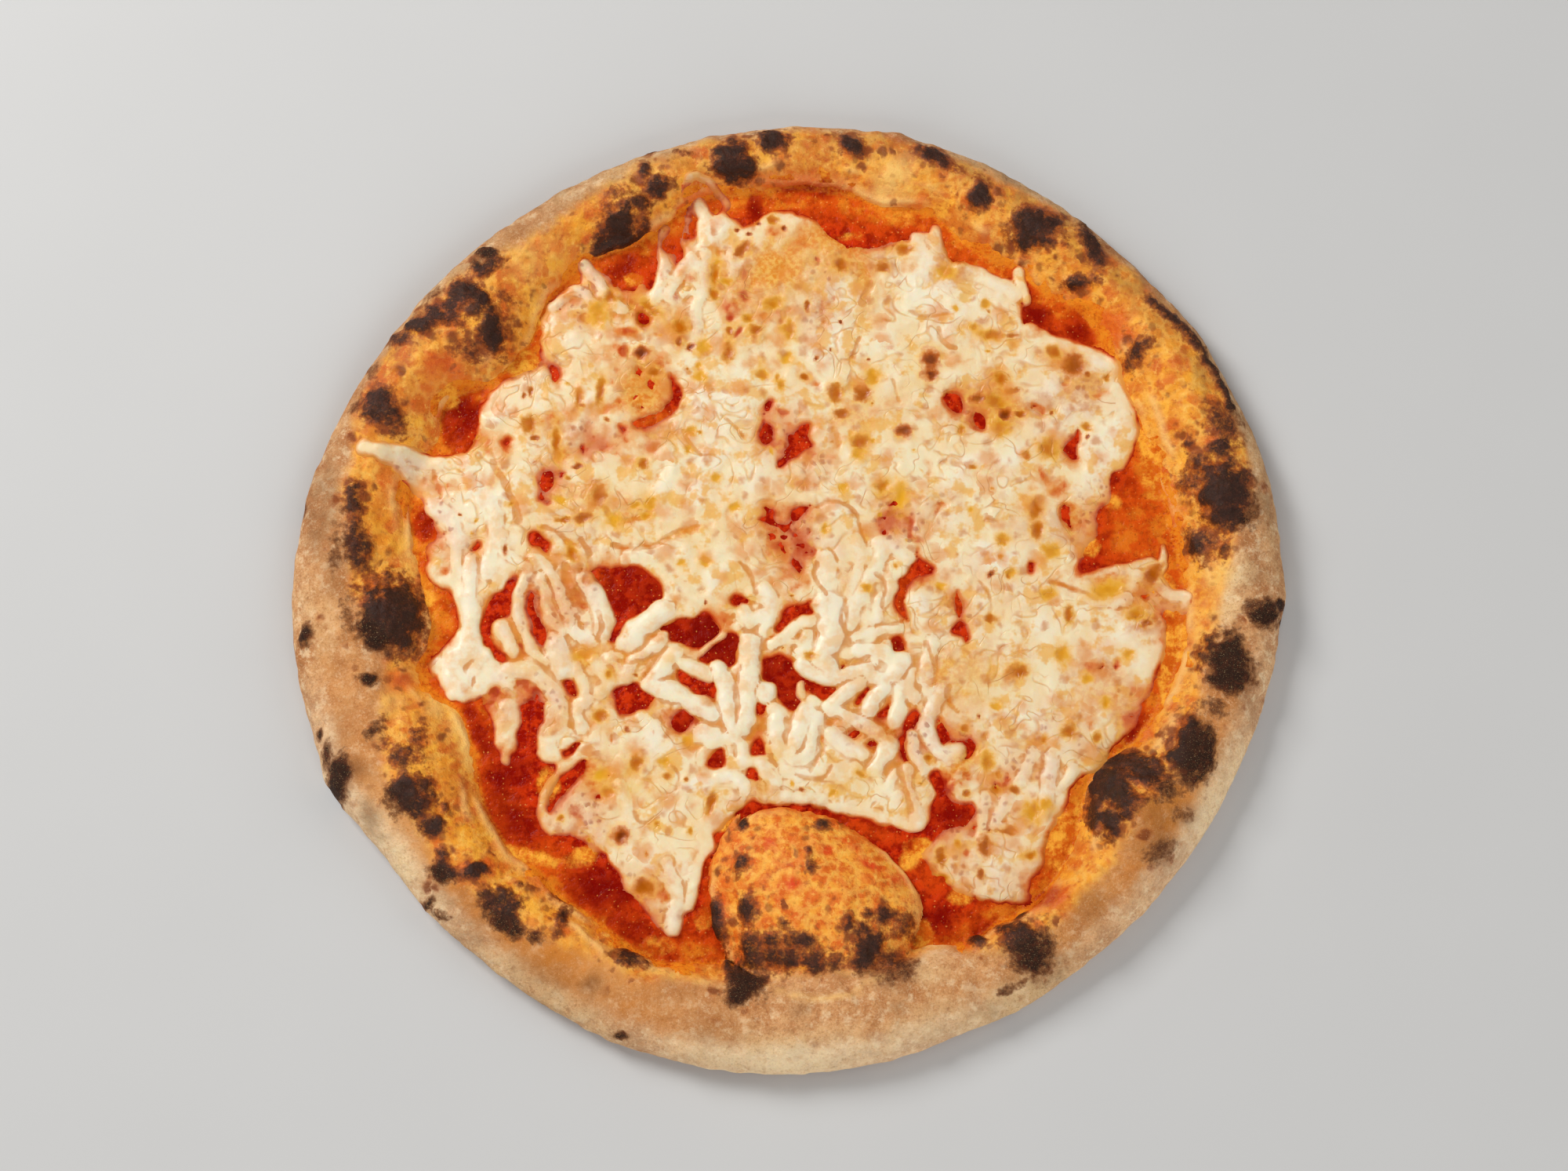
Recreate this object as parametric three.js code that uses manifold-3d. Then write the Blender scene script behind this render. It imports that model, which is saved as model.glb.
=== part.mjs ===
// Whole cheese pizza: one baked dough crust, one tomato sauce layer and one
// melted cheese layer. Millimetres, +Z up, resting on z = 0, centred on z.
// +X is the pizza's longest extent.
import * as THREE from 'three';
import { mergeVertices } from 'three/addons/utils/BufferGeometryUtils.js';
import Module from 'manifold-3d';

const wasm = await Module();
wasm.setup();

// ---------------------------------------------------------------- sizes (mm)
const MEAN_RADIUS = 156.2;      // outline, averaged round the edge
const SEGMENTS = 112;           // divisions round the pizza
const BASE_THICKNESS = 3.0;     // baked dough under the topping
const EDGE_HEIGHT = 4.8;        // height at which the outline is widest
const TUCK_UNDER = 9.0;         // how far the edge rolls in before it rests
const RIM_HEIGHT = 15.0;        // crest of the rim above the tray, on average
const RIM_WIDTH = 32.0;         // outline to the foot of the rim
const CREST_INSET = 15.5;       // outline to the crest, on average
const CREST_INSET_SWING = 5.0;  // crest nearer the edge at +Y, farther at -Y
const GAP = 0.3;                // clearance between layers
const SAUCE_THICKNESS = 1.0;
const SAUCE_MARGIN = 0.9;       // sauce stops this far short of the rim's foot
const CHEESE_THICKNESS = 2.2;
const CHEESE_RADIUS = 121.0;    // melted sheet, averaged round its edge
const CHEESE_MARGIN = 2.6;      // least distance of the cheese from the foot

const DEG = Math.PI / 180;
const clamp = (v, a, b) => Math.min(b, Math.max(a, v));
const turn = (a, b) => {        // signed angle from b to a, degrees
  let d = (a - b) % 360;
  if (d > 180) d -= 360;
  if (d < -180) d += 360;
  return d;
};
const swell = (deg, list) => {  // sum of rounded swells [angle, size, spread]
  let s = 0;
  for (const [a, size, spread] of list) {
    const d = turn(deg, a) / spread;
    s += size * Math.exp(-d * d);
  }
  return s;
};

// ------------------------------------------------------------------- outline
const OUTLINE_WAVES = [         // [lobes, amplitude, phase deg]
  [2, 2.68, 33], [3, 0.67, 153], [4, 1.59, 4], [6, 0.39, 83],
];
const OUTLINE_KNOBS = [         // small blisters standing out of the edge
  [204, 2.2, 4], [359, 1.4, 2.4], [77, 1.0, 2.2], [168, 0.9, 3], [32, 1.0, 4],
  [249, 0.8, 2.4], [290, -0.8, 5], [215, -1.2, 4],
];
function outline(deg) {
  let r = MEAN_RADIUS;
  for (const [n, amp, ph] of OUTLINE_WAVES) r += amp * Math.cos((n * deg - ph) * DEG);
  return r + swell(deg, OUTLINE_KNOBS);
}

// ------------------------------------------------------------------ the rim
// where the rim swells inward (+) or the topping runs outward (-)
const FOOT_SWELLS = [
  [15, 11, 9], [2, 5, 7], [29, 4, 5], [43, -10, 4], [66, -11, 8], [90, -10, 12],
  [140, 5, 6], [157, -7, 4.5], [173, 5, 5], [184, 13, 6], [200, 15, 5],
  [211, 7, 6], [231, 5, 7], [313, -6, 6], [328, 9, 5], [339, 4, 5],
];
const HEIGHT_SWELLS = [         // uneven rise of the crest
  [10, 1.5, 14], [50, -1.5, 12], [92, -2.0, 18], [140, 2.0, 14], [165, -1.0, 8],
  [186, 2.0, 9], [207, 2.5, 10], [238, -1.8, 12], [272, 2.2, 14], [300, -1.0, 8],
  [327, 2.5, 9], [345, 0.8, 8],
];
// one large bubble that rises from the rim and reaches in over the base; its
// inner end leans towards -X
const BUBBLE = {
  x: 9, y: -103, rx: 33, ry: 31, rise: 15, lean: 0.35,
  bearing: 273, halfAngle: 21, reach: 54,
};
// blisters on the rim: [x, y, radius x, radius y, rise]
const BLISTERS = [
  [110, -74, 17, 17, 5.5], [-127, -11, 14, 13, 4.5], [-117, -60, 15, 22, 2.5],
  [-98, 85, 16, 14, 3.5], [-121, 71, 10, 9, 1.8], [-52, 123, 12, 11, 3.0],
  [127, 60, 15, 20, 2.2], [140, 26, 11, 12, 2.2], [140, -27, 10, 11, 2.0],
  [129, -54, 10, 12, 2.2], [74, -117, 10, 10, 2.0], [90, 112, 13, 10, 2.4],
  [-18, 141, 8, 7, 1.6], [20, 146, 7, 6, 1.4], [-101, -98, 12, 8, 1.8],
  [-139, 16, 8, 17, 1.6],
];

const plainFoot = (deg) => outline(deg) - RIM_WIDTH - swell(deg, FOOT_SWELLS);
function foot(deg) {            // where the rim starts to rise from the base
  const d = Math.abs(turn(deg, BUBBLE.bearing)) / BUBBLE.halfAngle;
  return plainFoot(deg) - BUBBLE.reach * Math.exp(-(d ** 5));
}
const crestInset = (deg) => CREST_INSET - CREST_INSET_SWING * Math.sin(deg * DEG);
const crestHeight = (deg) => RIM_HEIGHT + swell(deg, HEIGHT_SWELLS)
  + 0.5 * Math.sin(7 * deg * DEG + 1) + 0.35 * Math.sin(13 * deg * DEG);

function rimTop(r, deg) {       // height of the dough's upper face
  const R = outline(deg), f = plainFoot(deg), c = R - crestInset(deg);
  const H = crestHeight(deg);
  const x = r * Math.cos(deg * DEG), y = r * Math.sin(deg * DEG);
  let z = BASE_THICKNESS;
  if (r > f) {
    if (r < c) {
      const s = (r - f) / (c - f);
      z = BASE_THICKNESS + (H - BASE_THICKNESS) * (1 - (1 - s) ** 2);
    } else {
      const t = clamp((r - c) / (R - c), 0, 1);
      z = EDGE_HEIGHT + (H - EDGE_HEIGHT) * Math.sqrt(1 - t * t);
    }
  }
  const u = x - BUBBLE.x + BUBBLE.lean * Math.max(0, y - BUBBLE.y);
  const e = (u / BUBBLE.rx) ** 2 + ((y - BUBBLE.y) / BUBBLE.ry) ** 2;
  if (e < 1) {                  // rounded union of bubble and rim
    const d = BUBBLE.rise * (1 - e) ** 0.62, p = z - BASE_THICKNESS;
    const k = 5, h = clamp(0.5 + (0.5 * (d - p)) / k, 0, 1);
    const soft = Math.min(1, d / 3);
    z = BASE_THICKNESS + p * (1 - h) + d * h + k * h * (1 - h) * soft;
  }
  const keep = 1 - clamp((r - c) / (R - c), 0, 1) ** 4;
  const start = clamp((r - foot(deg)) / 5, 0, 1);
  for (const [bx, by, rx, ry, rise] of BLISTERS) {
    const q = ((x - bx) / rx) ** 2 + ((y - by) / ry) ** 2;
    if (q < 1) z += rise * (1 - q) ** 2 * keep * start;
  }
  return z;
}

// ------------------------------------------------- closed skins from profiles
// rings: list of [divisions, deg -> [r, z]], from the top centre out, round
// the edge and back to the bottom centre; divisions double or halve from one
// ring to the next where the faces would otherwise be too narrow
function closedSkin(rings, topZ, bottomZ) {
  const pos = [0, 0, topZ], idx = [], starts = [];
  for (const [n, row] of rings) {
    starts.push(pos.length / 3);
    for (let i = 0; i < n; i++) {
      const deg = (360 * i) / n;
      const [r, z] = row(deg);
      pos.push(r * Math.cos(deg * DEG), r * Math.sin(deg * DEG), z);
    }
  }
  pos.push(0, 0, bottomZ);
  const last = pos.length / 3 - 1;
  const at = (k, i) => starts[k] + ((i + rings[k][0]) % rings[k][0]);
  for (let i = 0; i < rings[0][0]; i++) idx.push(0, at(0, i), at(0, i + 1));
  for (let k = 0; k + 1 < rings.length; k++) {
    const a = rings[k][0], b = rings[k + 1][0];
    if (a === b) {
      for (let i = 0; i < a; i++) {
        idx.push(at(k, i), at(k + 1, i), at(k + 1, i + 1));
        idx.push(at(k, i), at(k + 1, i + 1), at(k, i + 1));
      }
    } else if (b === 2 * a) {
      for (let i = 0; i < a; i++) {
        idx.push(at(k, i), at(k + 1, 2 * i), at(k + 1, 2 * i + 1));
        idx.push(at(k, i), at(k + 1, 2 * i + 1), at(k, i + 1));
        idx.push(at(k, i + 1), at(k + 1, 2 * i + 1), at(k + 1, 2 * i + 2));
      }
    } else {
      for (let i = 0; i < b; i++) {
        idx.push(at(k, 2 * i), at(k + 1, i), at(k, 2 * i + 1));
        idx.push(at(k, 2 * i + 1), at(k + 1, i), at(k + 1, i + 1));
        idx.push(at(k, 2 * i + 1), at(k + 1, i + 1), at(k, 2 * i + 2));
      }
    }
  }
  const e = rings.length - 1;
  for (let i = 0; i < rings[e][0]; i++) idx.push(last, at(e, i + 1), at(e, i));
  return { pos, idx };
}
function geometryOf({ pos, idx }) {
  const g = new THREE.BufferGeometry();
  g.setAttribute('position', new THREE.Float32BufferAttribute(pos, 3));
  g.setIndex(idx);
  g.computeVertexNormals();
  return g;
}
const toManifold = ({ pos, idx }) => new wasm.Manifold(new wasm.Mesh({
  numProp: 3, vertProperties: new Float32Array(pos), triVerts: new Uint32Array(idx),
}));
function fromManifold(m) {
  const mesh = m.getMesh();
  const pos = [];
  for (let i = 0; i < mesh.numVert; i++) {
    for (let k = 0; k < 3; k++) pos.push(mesh.vertProperties[i * mesh.numProp + k]);
  }
  return geometryOf({ pos, idx: Array.from(mesh.triVerts) });
}

// --------------------------------------------------------------------- crust
const N = SEGMENTS;
const floorRing = (s) => (deg) => [foot(deg) * s, BASE_THICKNESS];
const crustRings = [
  [N / 4, floorRing(0.4)], [N / 2, floorRing(0.75)], [N, floorRing(1)],
];
const shoulder = (deg) => foot(deg) + Math.max(plainFoot(deg) - foot(deg), 2.4);
for (const s of [0.3, 0.6, 1]) {        // across the bubble, where there is one
  crustRings.push([N, (deg) => {
    const r = foot(deg) + (shoulder(deg) - foot(deg)) * s;
    return [r, rimTop(r, deg)];
  }]);
}
for (const s of [0.15, 0.32, 0.5, 0.68, 0.84, 1]) {     // up to the crest
  crustRings.push([N, (deg) => {
    const f = shoulder(deg), c = outline(deg) - crestInset(deg), r = f + (c - f) * s;
    return [r, rimTop(r, deg)];
  }]);
}
for (const t of [0.3, 0.58, 0.8, 0.94, 1]) {
  crustRings.push([N, (deg) => {
    const R = outline(deg), c = R - crestInset(deg), r = c + (R - c) * t;
    return [r, rimTop(r, deg)];
  }]);
}
for (const phi of [35, 65, 90]) {
  crustRings.push([N, (deg) => [
    outline(deg) - TUCK_UNDER * (1 - Math.cos(phi * DEG)),
    EDGE_HEIGHT * (1 - Math.sin(phi * DEG)),
  ]]);
}
crustRings.push([N / 2, (deg) => [outline(deg) * 0.75, 0]]);
crustRings.push([N / 4, (deg) => [outline(deg) * 0.4, 0]]);
const crustGeometry = geometryOf(closedSkin(crustRings, BASE_THICKNESS, 0));

// --------------------------------------------------------------------- sauce
const SAUCE_Z = BASE_THICKNESS + GAP;
const sauceRadius = (deg) => foot(deg) - SAUCE_MARGIN;
const sauceGeometry = geometryOf(closedSkin([
  [N / 4, (deg) => [sauceRadius(deg) * 0.4, SAUCE_Z + SAUCE_THICKNESS]],
  [N / 2, (deg) => [sauceRadius(deg) * 0.75, SAUCE_Z + SAUCE_THICKNESS]],
  [N, (deg) => [sauceRadius(deg) - 1.2, SAUCE_Z + SAUCE_THICKNESS]],
  [N, (deg) => [sauceRadius(deg), SAUCE_Z + SAUCE_THICKNESS * 0.45]],
  [N, (deg) => [sauceRadius(deg) - 0.5, SAUCE_Z]],
  [N / 2, (deg) => [sauceRadius(deg) * 0.75, SAUCE_Z]],
  [N / 4, (deg) => [sauceRadius(deg) * 0.4, SAUCE_Z]],
], SAUCE_Z + SAUCE_THICKNESS, SAUCE_Z));

// -------------------------------------------------------------------- cheese
const CHEESE_Z = SAUCE_Z + SAUCE_THICKNESS + GAP;
const CHEESE_EDGE = [           // tongues (+) and bays (-) of the melted sheet
  [7, -20, 4], [15, -13, 4], [27, 6, 6], [48, -6, 3], [68, 9, 4], [91, 6, 5],
  [104, 17, 3], [119, -11, 3], [126, 4, 3], [138, -16, 4.5], [149, -8, 4],
  [162, 10, 3], [178, -17, 7], [190, -11, 5], [197, 3, 3], [208, -35, 6],
  [219, -10, 4], [237, -15, 4.5], [251, 2, 3], [308, 8, 5], [330, -8, 5], [350, 4, 5],
  [0, -8, 2.5],
];
function cheeseRadius(deg) {
  const lobes = 1.1 * Math.sin(17 * deg * DEG) + 0.9 * Math.sin(29 * deg * DEG + 1.3)
    + 0.6 * Math.sin(41 * deg * DEG + 0.4);
  return Math.min(CHEESE_RADIUS + swell(deg, CHEESE_EDGE) + lobes,
    foot(deg) - CHEESE_MARGIN + 0.5 * lobes);
}
const CHEESE_MOUNDS = [         // thick soft blobs [x, y, radius, rise]
  [58, 97, 15, 1.0], [103, 52, 11, 1.2], [-72, 87, 10, 0.9], [-102, 31, 11, 1.0],
  [-104, -21, 9, 0.9], [-25, 64, 17, 1.1], [-28, 17, 13, 0.8], [18, 99, 9, 0.8],
  [58, 40, 13, 0.7], [13, -3, 11, 1.2], [8, -48, 12, 1.0], [-50, -60, 14, 0.8],
  [75, -35, 16, 0.8], [-38, -90, 12, 0.7], [78, -85, 12, 0.7],
];
function cheeseTop(x, y) {      // uneven skin of melted shreds
  let z = CHEESE_THICKNESS;
  z += 0.30 * Math.sin(0.31 * x + 1.7 * Math.sin(0.11 * y)) * Math.cos(0.27 * y + 0.9);
  z += 0.22 * Math.sin(0.53 * y - 0.35 * x + 1.1);
  for (const [mx, my, mr, rise] of CHEESE_MOUNDS) {
    const q = ((x - mx) ** 2 + (y - my) ** 2) / (mr * mr);
    if (q < 1) z += rise * (1 - q) ** 2;
  }
  return z;
}
const cheeseRing = (s) => (deg) => {
  const r = cheeseRadius(deg) * s;
  return [r, CHEESE_Z + cheeseTop(r * Math.cos(deg * DEG), r * Math.sin(deg * DEG))];
};
const cheeseBlank = toManifold(closedSkin([
  [N / 8, cheeseRing(0.07)], [N / 4, cheeseRing(0.14)], [N / 4, cheeseRing(0.22)],
  [N / 2, cheeseRing(0.3)], [N / 2, cheeseRing(0.38)], [N / 2, cheeseRing(0.46)],
  [N, cheeseRing(0.55)], [N, cheeseRing(0.64)], [N, cheeseRing(0.73)],
  [N, cheeseRing(0.82)], [N, cheeseRing(0.9)], [N, cheeseRing(0.96)],
  [N, (deg) => [cheeseRadius(deg) - 0.7, CHEESE_Z + CHEESE_THICKNESS * 0.85]],
  [N, (deg) => [cheeseRadius(deg), CHEESE_Z + CHEESE_THICKNESS * 0.4]],
  [N, (deg) => [cheeseRadius(deg) - 0.5, CHEESE_Z]],
  [N / 2, (deg) => [cheeseRadius(deg) * 0.75, CHEESE_Z]],
  [N / 4, (deg) => [cheeseRadius(deg) * 0.4, CHEESE_Z]],
], CHEESE_Z + cheeseTop(0, 0), CHEESE_Z));

// openings where the sauce shows: [x, y, radius x, radius y, turn deg]
const POOLS = [
  [-52, 0, 12.0, 9.0, 20], [-31, -14, 9.0, 6.0, 10], [-18, -23, 4.8, 4.5, 0],
  [-50, -36, 7.3, 6.3, 0], [-27, -34, 7.0, 3.5, -40], [-34, -46, 4.3, 3.6, 0],
  [-21, -56, 4.0, 4.5, 0], [3, -32, 11.0, 5.5, -40], [0, 17, 7.5, 8.5, 0],
  [2, 49, 5.0, 8.0, 0], [-8, 54, 2.6, 8.0, 0], [-39, 58, 4.2, 7.4, 20],
  [39, -1, 3.6, 8.4, -25], [56, -11, 3.0, 7.6, 0], [49, -50, 3.2, 5.0, 0],
  [-91, -6, 6.0, 7.0, 0], [-80, 16, 4.0, 3.6, 0], [34, -27, 3.4, 3.0, 0],
  [47, -66, 2.8, 4.6, 0],
];
const POOL_SIDES = 14;
function poolCutter([x, y, rx, ry, rot], k) {
  const corners = [];
  for (let i = 0; i < POOL_SIDES; i++) {
    const a = (2 * Math.PI * i) / POOL_SIDES;
    const w = 1 + 0.12 * Math.sin(3 * a + k) + 0.08 * Math.cos(5 * a + 2 * k);
    const u = rx * w * Math.cos(a), v = ry * w * Math.sin(a);
    const c = Math.cos(rot * DEG), s = Math.sin(rot * DEG);
    corners.push(new THREE.Vector2(x + u * c - v * s, y + u * s + v * c));
  }
  const prism = new THREE.ExtrudeGeometry(new THREE.Shape(corners),
    { depth: CHEESE_THICKNESS * 3, bevelEnabled: false });
  prism.translate(0, 0, CHEESE_Z - CHEESE_THICKNESS);
  prism.deleteAttribute('normal');
  prism.deleteAttribute('uv');
  const whole = mergeVertices(prism);
  return toManifold({ pos: whole.attributes.position.array, idx: whole.index.array });
}
let cheese = cheeseBlank;
POOLS.forEach((p, k) => { cheese = cheese.subtract(poolCutter(p, k)); });
const cheeseGeometry = fromManifold(cheese);

// ------------------------------------------------------------------ assembly
const group = new THREE.Group();
group.name = 'cheese_pizza';
function addPart(name, geometry, color, roughness) {
  const mesh = new THREE.Mesh(geometry, new THREE.MeshStandardMaterial({ color, roughness }));
  mesh.name = name;
  group.add(mesh);
}
addPart('crust', crustGeometry, 0xc9914e, 0.85);
addPart('tomato_sauce', sauceGeometry, 0xa62a12, 0.35);
addPart('melted_cheese', cheeseGeometry, 0xf0dfae, 0.45);

// centre the pizza's own box on the origin, resting on z = 0
const box = new THREE.Box3().setFromObject(group);
group.position.set(-(box.min.x + box.max.x) / 2, -(box.min.y + box.max.y) / 2, -box.min.z);

export default group;
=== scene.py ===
"""Looks for the whole cheese pizza: crust, tomato sauce and melted cheese.
Lengths in the shape code are millimetres and are turned into metres when a
mesh is made. Every random choice is seeded."""
import bpy
import bmesh
import math
import time
import numpy as np
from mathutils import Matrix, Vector


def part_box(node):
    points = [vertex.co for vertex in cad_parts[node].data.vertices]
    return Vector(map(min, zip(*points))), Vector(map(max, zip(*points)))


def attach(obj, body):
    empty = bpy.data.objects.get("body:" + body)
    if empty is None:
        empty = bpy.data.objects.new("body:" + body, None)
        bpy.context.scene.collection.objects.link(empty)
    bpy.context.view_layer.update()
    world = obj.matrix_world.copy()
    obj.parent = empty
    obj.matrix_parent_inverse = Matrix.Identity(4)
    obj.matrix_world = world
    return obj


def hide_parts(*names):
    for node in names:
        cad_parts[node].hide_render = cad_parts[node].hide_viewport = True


T0 = time.time()
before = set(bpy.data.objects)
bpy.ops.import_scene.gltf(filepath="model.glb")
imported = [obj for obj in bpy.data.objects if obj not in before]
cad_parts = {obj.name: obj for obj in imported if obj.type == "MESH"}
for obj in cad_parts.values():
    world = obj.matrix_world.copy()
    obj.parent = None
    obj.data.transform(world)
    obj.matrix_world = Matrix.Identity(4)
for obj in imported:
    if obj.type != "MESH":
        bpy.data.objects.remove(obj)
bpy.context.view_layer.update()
crust_lo, crust_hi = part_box("crust")
CX = 500.0 * (crust_lo.x + crust_hi.x)          # the crust's middle, mm
CY = 500.0 * (crust_lo.y + crust_hi.y) + 0.2526
SIZE = (crust_hi.x - crust_lo.x) * 1000.0 / 321.34   # 1.0 at the size it was drawn
FLOOR_Z = crust_lo.z * 1000.0

# ---------------------------------------------------------------- noise
U = np.uint64


def _hash(ix, iy, seed):
    h = ix.astype(np.int64).astype(U) * U(0x9E3779B1) + iy.astype(np.int64).astype(U) * U(0x85EBCA77)
    h = h + U((seed * 0xC2B2AE3D27D4EB4F) & 0xFFFFFFFFFFFFFFFF)
    h ^= h >> U(29)
    h *= U(0xBF58476D1CE4E5B9)
    h ^= h >> U(32)
    h *= U(0x94D049BB133111EB)
    h ^= h >> U(29)
    return (h >> U(11)).astype(np.float64) / float(1 << 53)


def gnoise(x, y, seed):
    ix, iy = np.floor(x), np.floor(y)
    fx, fy = x - ix, y - iy
    u = fx * fx * fx * (fx * (fx * 6 - 15) + 10)
    v = fy * fy * fy * (fy * (fy * 6 - 15) + 10)
    out = 0
    for dx in (0, 1):
        for dy in (0, 1):
            a = 2 * np.pi * _hash(ix + dx, iy + dy, seed)
            g = np.cos(a) * (fx - dx) + np.sin(a) * (fy - dy)
            out = out + g * (u if dx else 1 - u) * (v if dy else 1 - v)
    return out * 1.5


def fbm(x, y, size, octaves, seed, gain=0.5):
    """Soft noise of about -1 to 1 with its coarsest lumps about size mm."""
    s, amp, tot = 0.0, 1.0, 0.0
    for k in range(octaves):
        f = 2.0 ** k / size
        s = s + amp * gnoise(x * f + 17.3 * k, y * f - 9.1 * k, seed + 101 * k)
        tot += amp
        amp *= gain
    return s / tot


def cells(x, y, size, seed, jitter=0.85):
    """Distance to the nearest and second nearest scattered point, in cell
    sizes, and a random value for the nearest."""
    x, y = x / size, y / size
    ix, iy = np.floor(x), np.floor(y)
    f1 = np.full(x.shape, 9.0)
    f2 = np.full(x.shape, 9.0)
    rid = np.zeros(x.shape)
    for dx in (-1, 0, 1):
        for dy in (-1, 0, 1):
            cx, cy = ix + dx, iy + dy
            px = cx + 0.5 + jitter * (_hash(cx, cy, seed) - 0.5)
            py = cy + 0.5 + jitter * (_hash(cx, cy, seed + 7) - 0.5)
            d = np.hypot(px - x, py - y)
            near = d < f1
            f2 = np.where(near, f1, np.minimum(f2, d))
            rid = np.where(near, _hash(cx, cy, seed + 13), rid)
            f1 = np.where(near, d, f1)
    return f1, f2, rid


def smooth(a, b, x):
    t = np.clip((x - a) / (b - a), 0, 1)
    return t * t * (3 - 2 * t)


def smax(a, b, k):
    h = np.clip(0.5 + 0.5 * (b - a) / k, 0, 1)
    return a * (1 - h) + b * h + k * h * (1 - h)


def blur(a, sigma):
    """Gaussian blur of a grid, sigma in cells, by separable sums."""
    n = max(1, int(3 * sigma + 0.5))
    w = np.exp(-0.5 * (np.arange(-n, n + 1) / sigma) ** 2)
    w /= w.sum()
    p = np.pad(a, ((n, n), (0, 0)), mode="edge")
    a = sum(w[i] * p[i:i + a.shape[0]] for i in range(2 * n + 1))
    p = np.pad(a, ((0, 0), (n, n)), mode="edge")
    return sum(w[i] * p[:, i:i + a.shape[1]] for i in range(2 * n + 1))


def ellipses(x, y, items, seed, rough=0.30, inner=0.55, outer=1.30, size=4.0):
    """Strongest of many soft ellipses [x, y, rx, ry, turn, strength] with
    ragged edges, 0 to 1."""
    out = np.zeros(x.shape)
    n1 = fbm(x, y, size, 3, seed, 0.6)
    n2 = fbm(x, y, size * 2.6, 2, seed + 5)
    for cx, cy, rx, ry, rot, k in items:
        reach = 2.0 * max(rx, ry) + 2
        m = (np.abs(x - cx) < reach) & (np.abs(y - cy) < reach)
        if not m.any():
            continue
        c, s = math.cos(math.radians(rot)), math.sin(math.radians(rot))
        u = (x[m] - cx) * c + (y[m] - cy) * s
        v = -(x[m] - cx) * s + (y[m] - cy) * c
        q = np.hypot(u / rx, v / ry)
        q = q + rough * (n1[m] + 0.6 * n2[m])
        out[m] = np.maximum(out[m], k * smooth(outer, inner, q))
    return out


def path_distance(x, y, pts):
    d = np.full(x.shape, 1e9)
    for (ax, ay), (bx, by) in zip(pts[:-1], pts[1:]):
        vx, vy = bx - ax, by - ay
        L = vx * vx + vy * vy + 1e-9
        t = np.clip(((x - ax) * vx + (y - ay) * vy) / L, 0, 1)
        d = np.minimum(d, np.hypot(x - ax - t * vx, y - ay - t * vy))
    return d


def rounded(pts, n=2):
    """Corner cutting: a smooth path through the named points."""
    pts = [tuple(p) for p in pts]
    for _ in range(n):
        if len(pts) < 3:
            return pts
        out = [pts[0]]
        for (ax, ay), (bx, by) in zip(pts[:-1], pts[1:]):
            out += [(0.75 * ax + 0.25 * bx, 0.75 * ay + 0.25 * by),
                    (0.25 * ax + 0.75 * bx, 0.25 * ay + 0.75 * by)]
        out.append(pts[-1])
        pts = out
    return pts


# ---------------------------------------------------------------- named sizes (mm)
MEAN_RADIUS, BASE, EDGE_Z, TUCK = 156.2, 3.0, 4.8, 9.0
RIM_HEIGHT, RIM_WIDTH, CREST_INSET, CREST_SWING = 15.0, 32.0, 15.5, 5.0
OUTLINE_WAVES = [(2, 2.68, 33), (3, 0.67, 153), (4, 1.59, 4), (6, 0.39, 83)]
OUTLINE_KNOBS = [(204, 2.2, 4), (359, 1.4, 2.4), (77, 1.0, 2.2), (168, 0.9, 3), (32, 1.0, 4),
                 (249, 0.8, 2.4), (290, -0.8, 5), (215, -1.2, 4)]
FOOT_SWELLS = [(15, 11, 9), (2, 5, 7), (29, 4, 5), (43, -10, 4), (66, -11, 8), (90, -10, 12),
               (140, 5, 6), (157, -7, 4.5), (173, 5, 5), (184, 13, 6), (200, 15, 5),
               (211, 7, 6), (231, 5, 7), (313, -6, 6), (328, 9, 5), (339, 4, 5)]
HEIGHT_SWELLS = [(10, 1.5, 14), (50, -1.5, 12), (92, -2.0, 18), (140, 2.0, 14), (165, -1.0, 8),
                 (186, 2.0, 9), (207, 2.5, 10), (238, -1.8, 12), (272, 2.2, 14), (300, -1.0, 8),
                 (327, 2.5, 9), (345, 0.8, 8)]
BUBBLE = dict(x=9.0, y=-103.0, rx=33.0, ry=31.0, rise=15.0, lean=0.35, bearing=273, half=21, reach=54)
BLISTERS = [(110, -74, 17, 17, 5.5), (-127, -11, 14, 13, 4.5), (-117, -60, 15, 22, 2.5),
            (-98, 85, 16, 14, 3.5), (-121, 71, 10, 9, 1.8), (-52, 123, 12, 11, 3.0),
            (127, 60, 15, 20, 2.2), (140, 26, 11, 12, 2.2), (140, -27, 10, 11, 2.0),
            (129, -54, 10, 12, 2.2), (74, -117, 10, 10, 2.0), (90, 112, 13, 10, 2.4),
            (-18, 141, 8, 7, 1.6), (20, 146, 7, 6, 1.4), (-101, -98, 12, 8, 1.8),
            (-139, 16, 8, 17, 1.6)]
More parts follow.
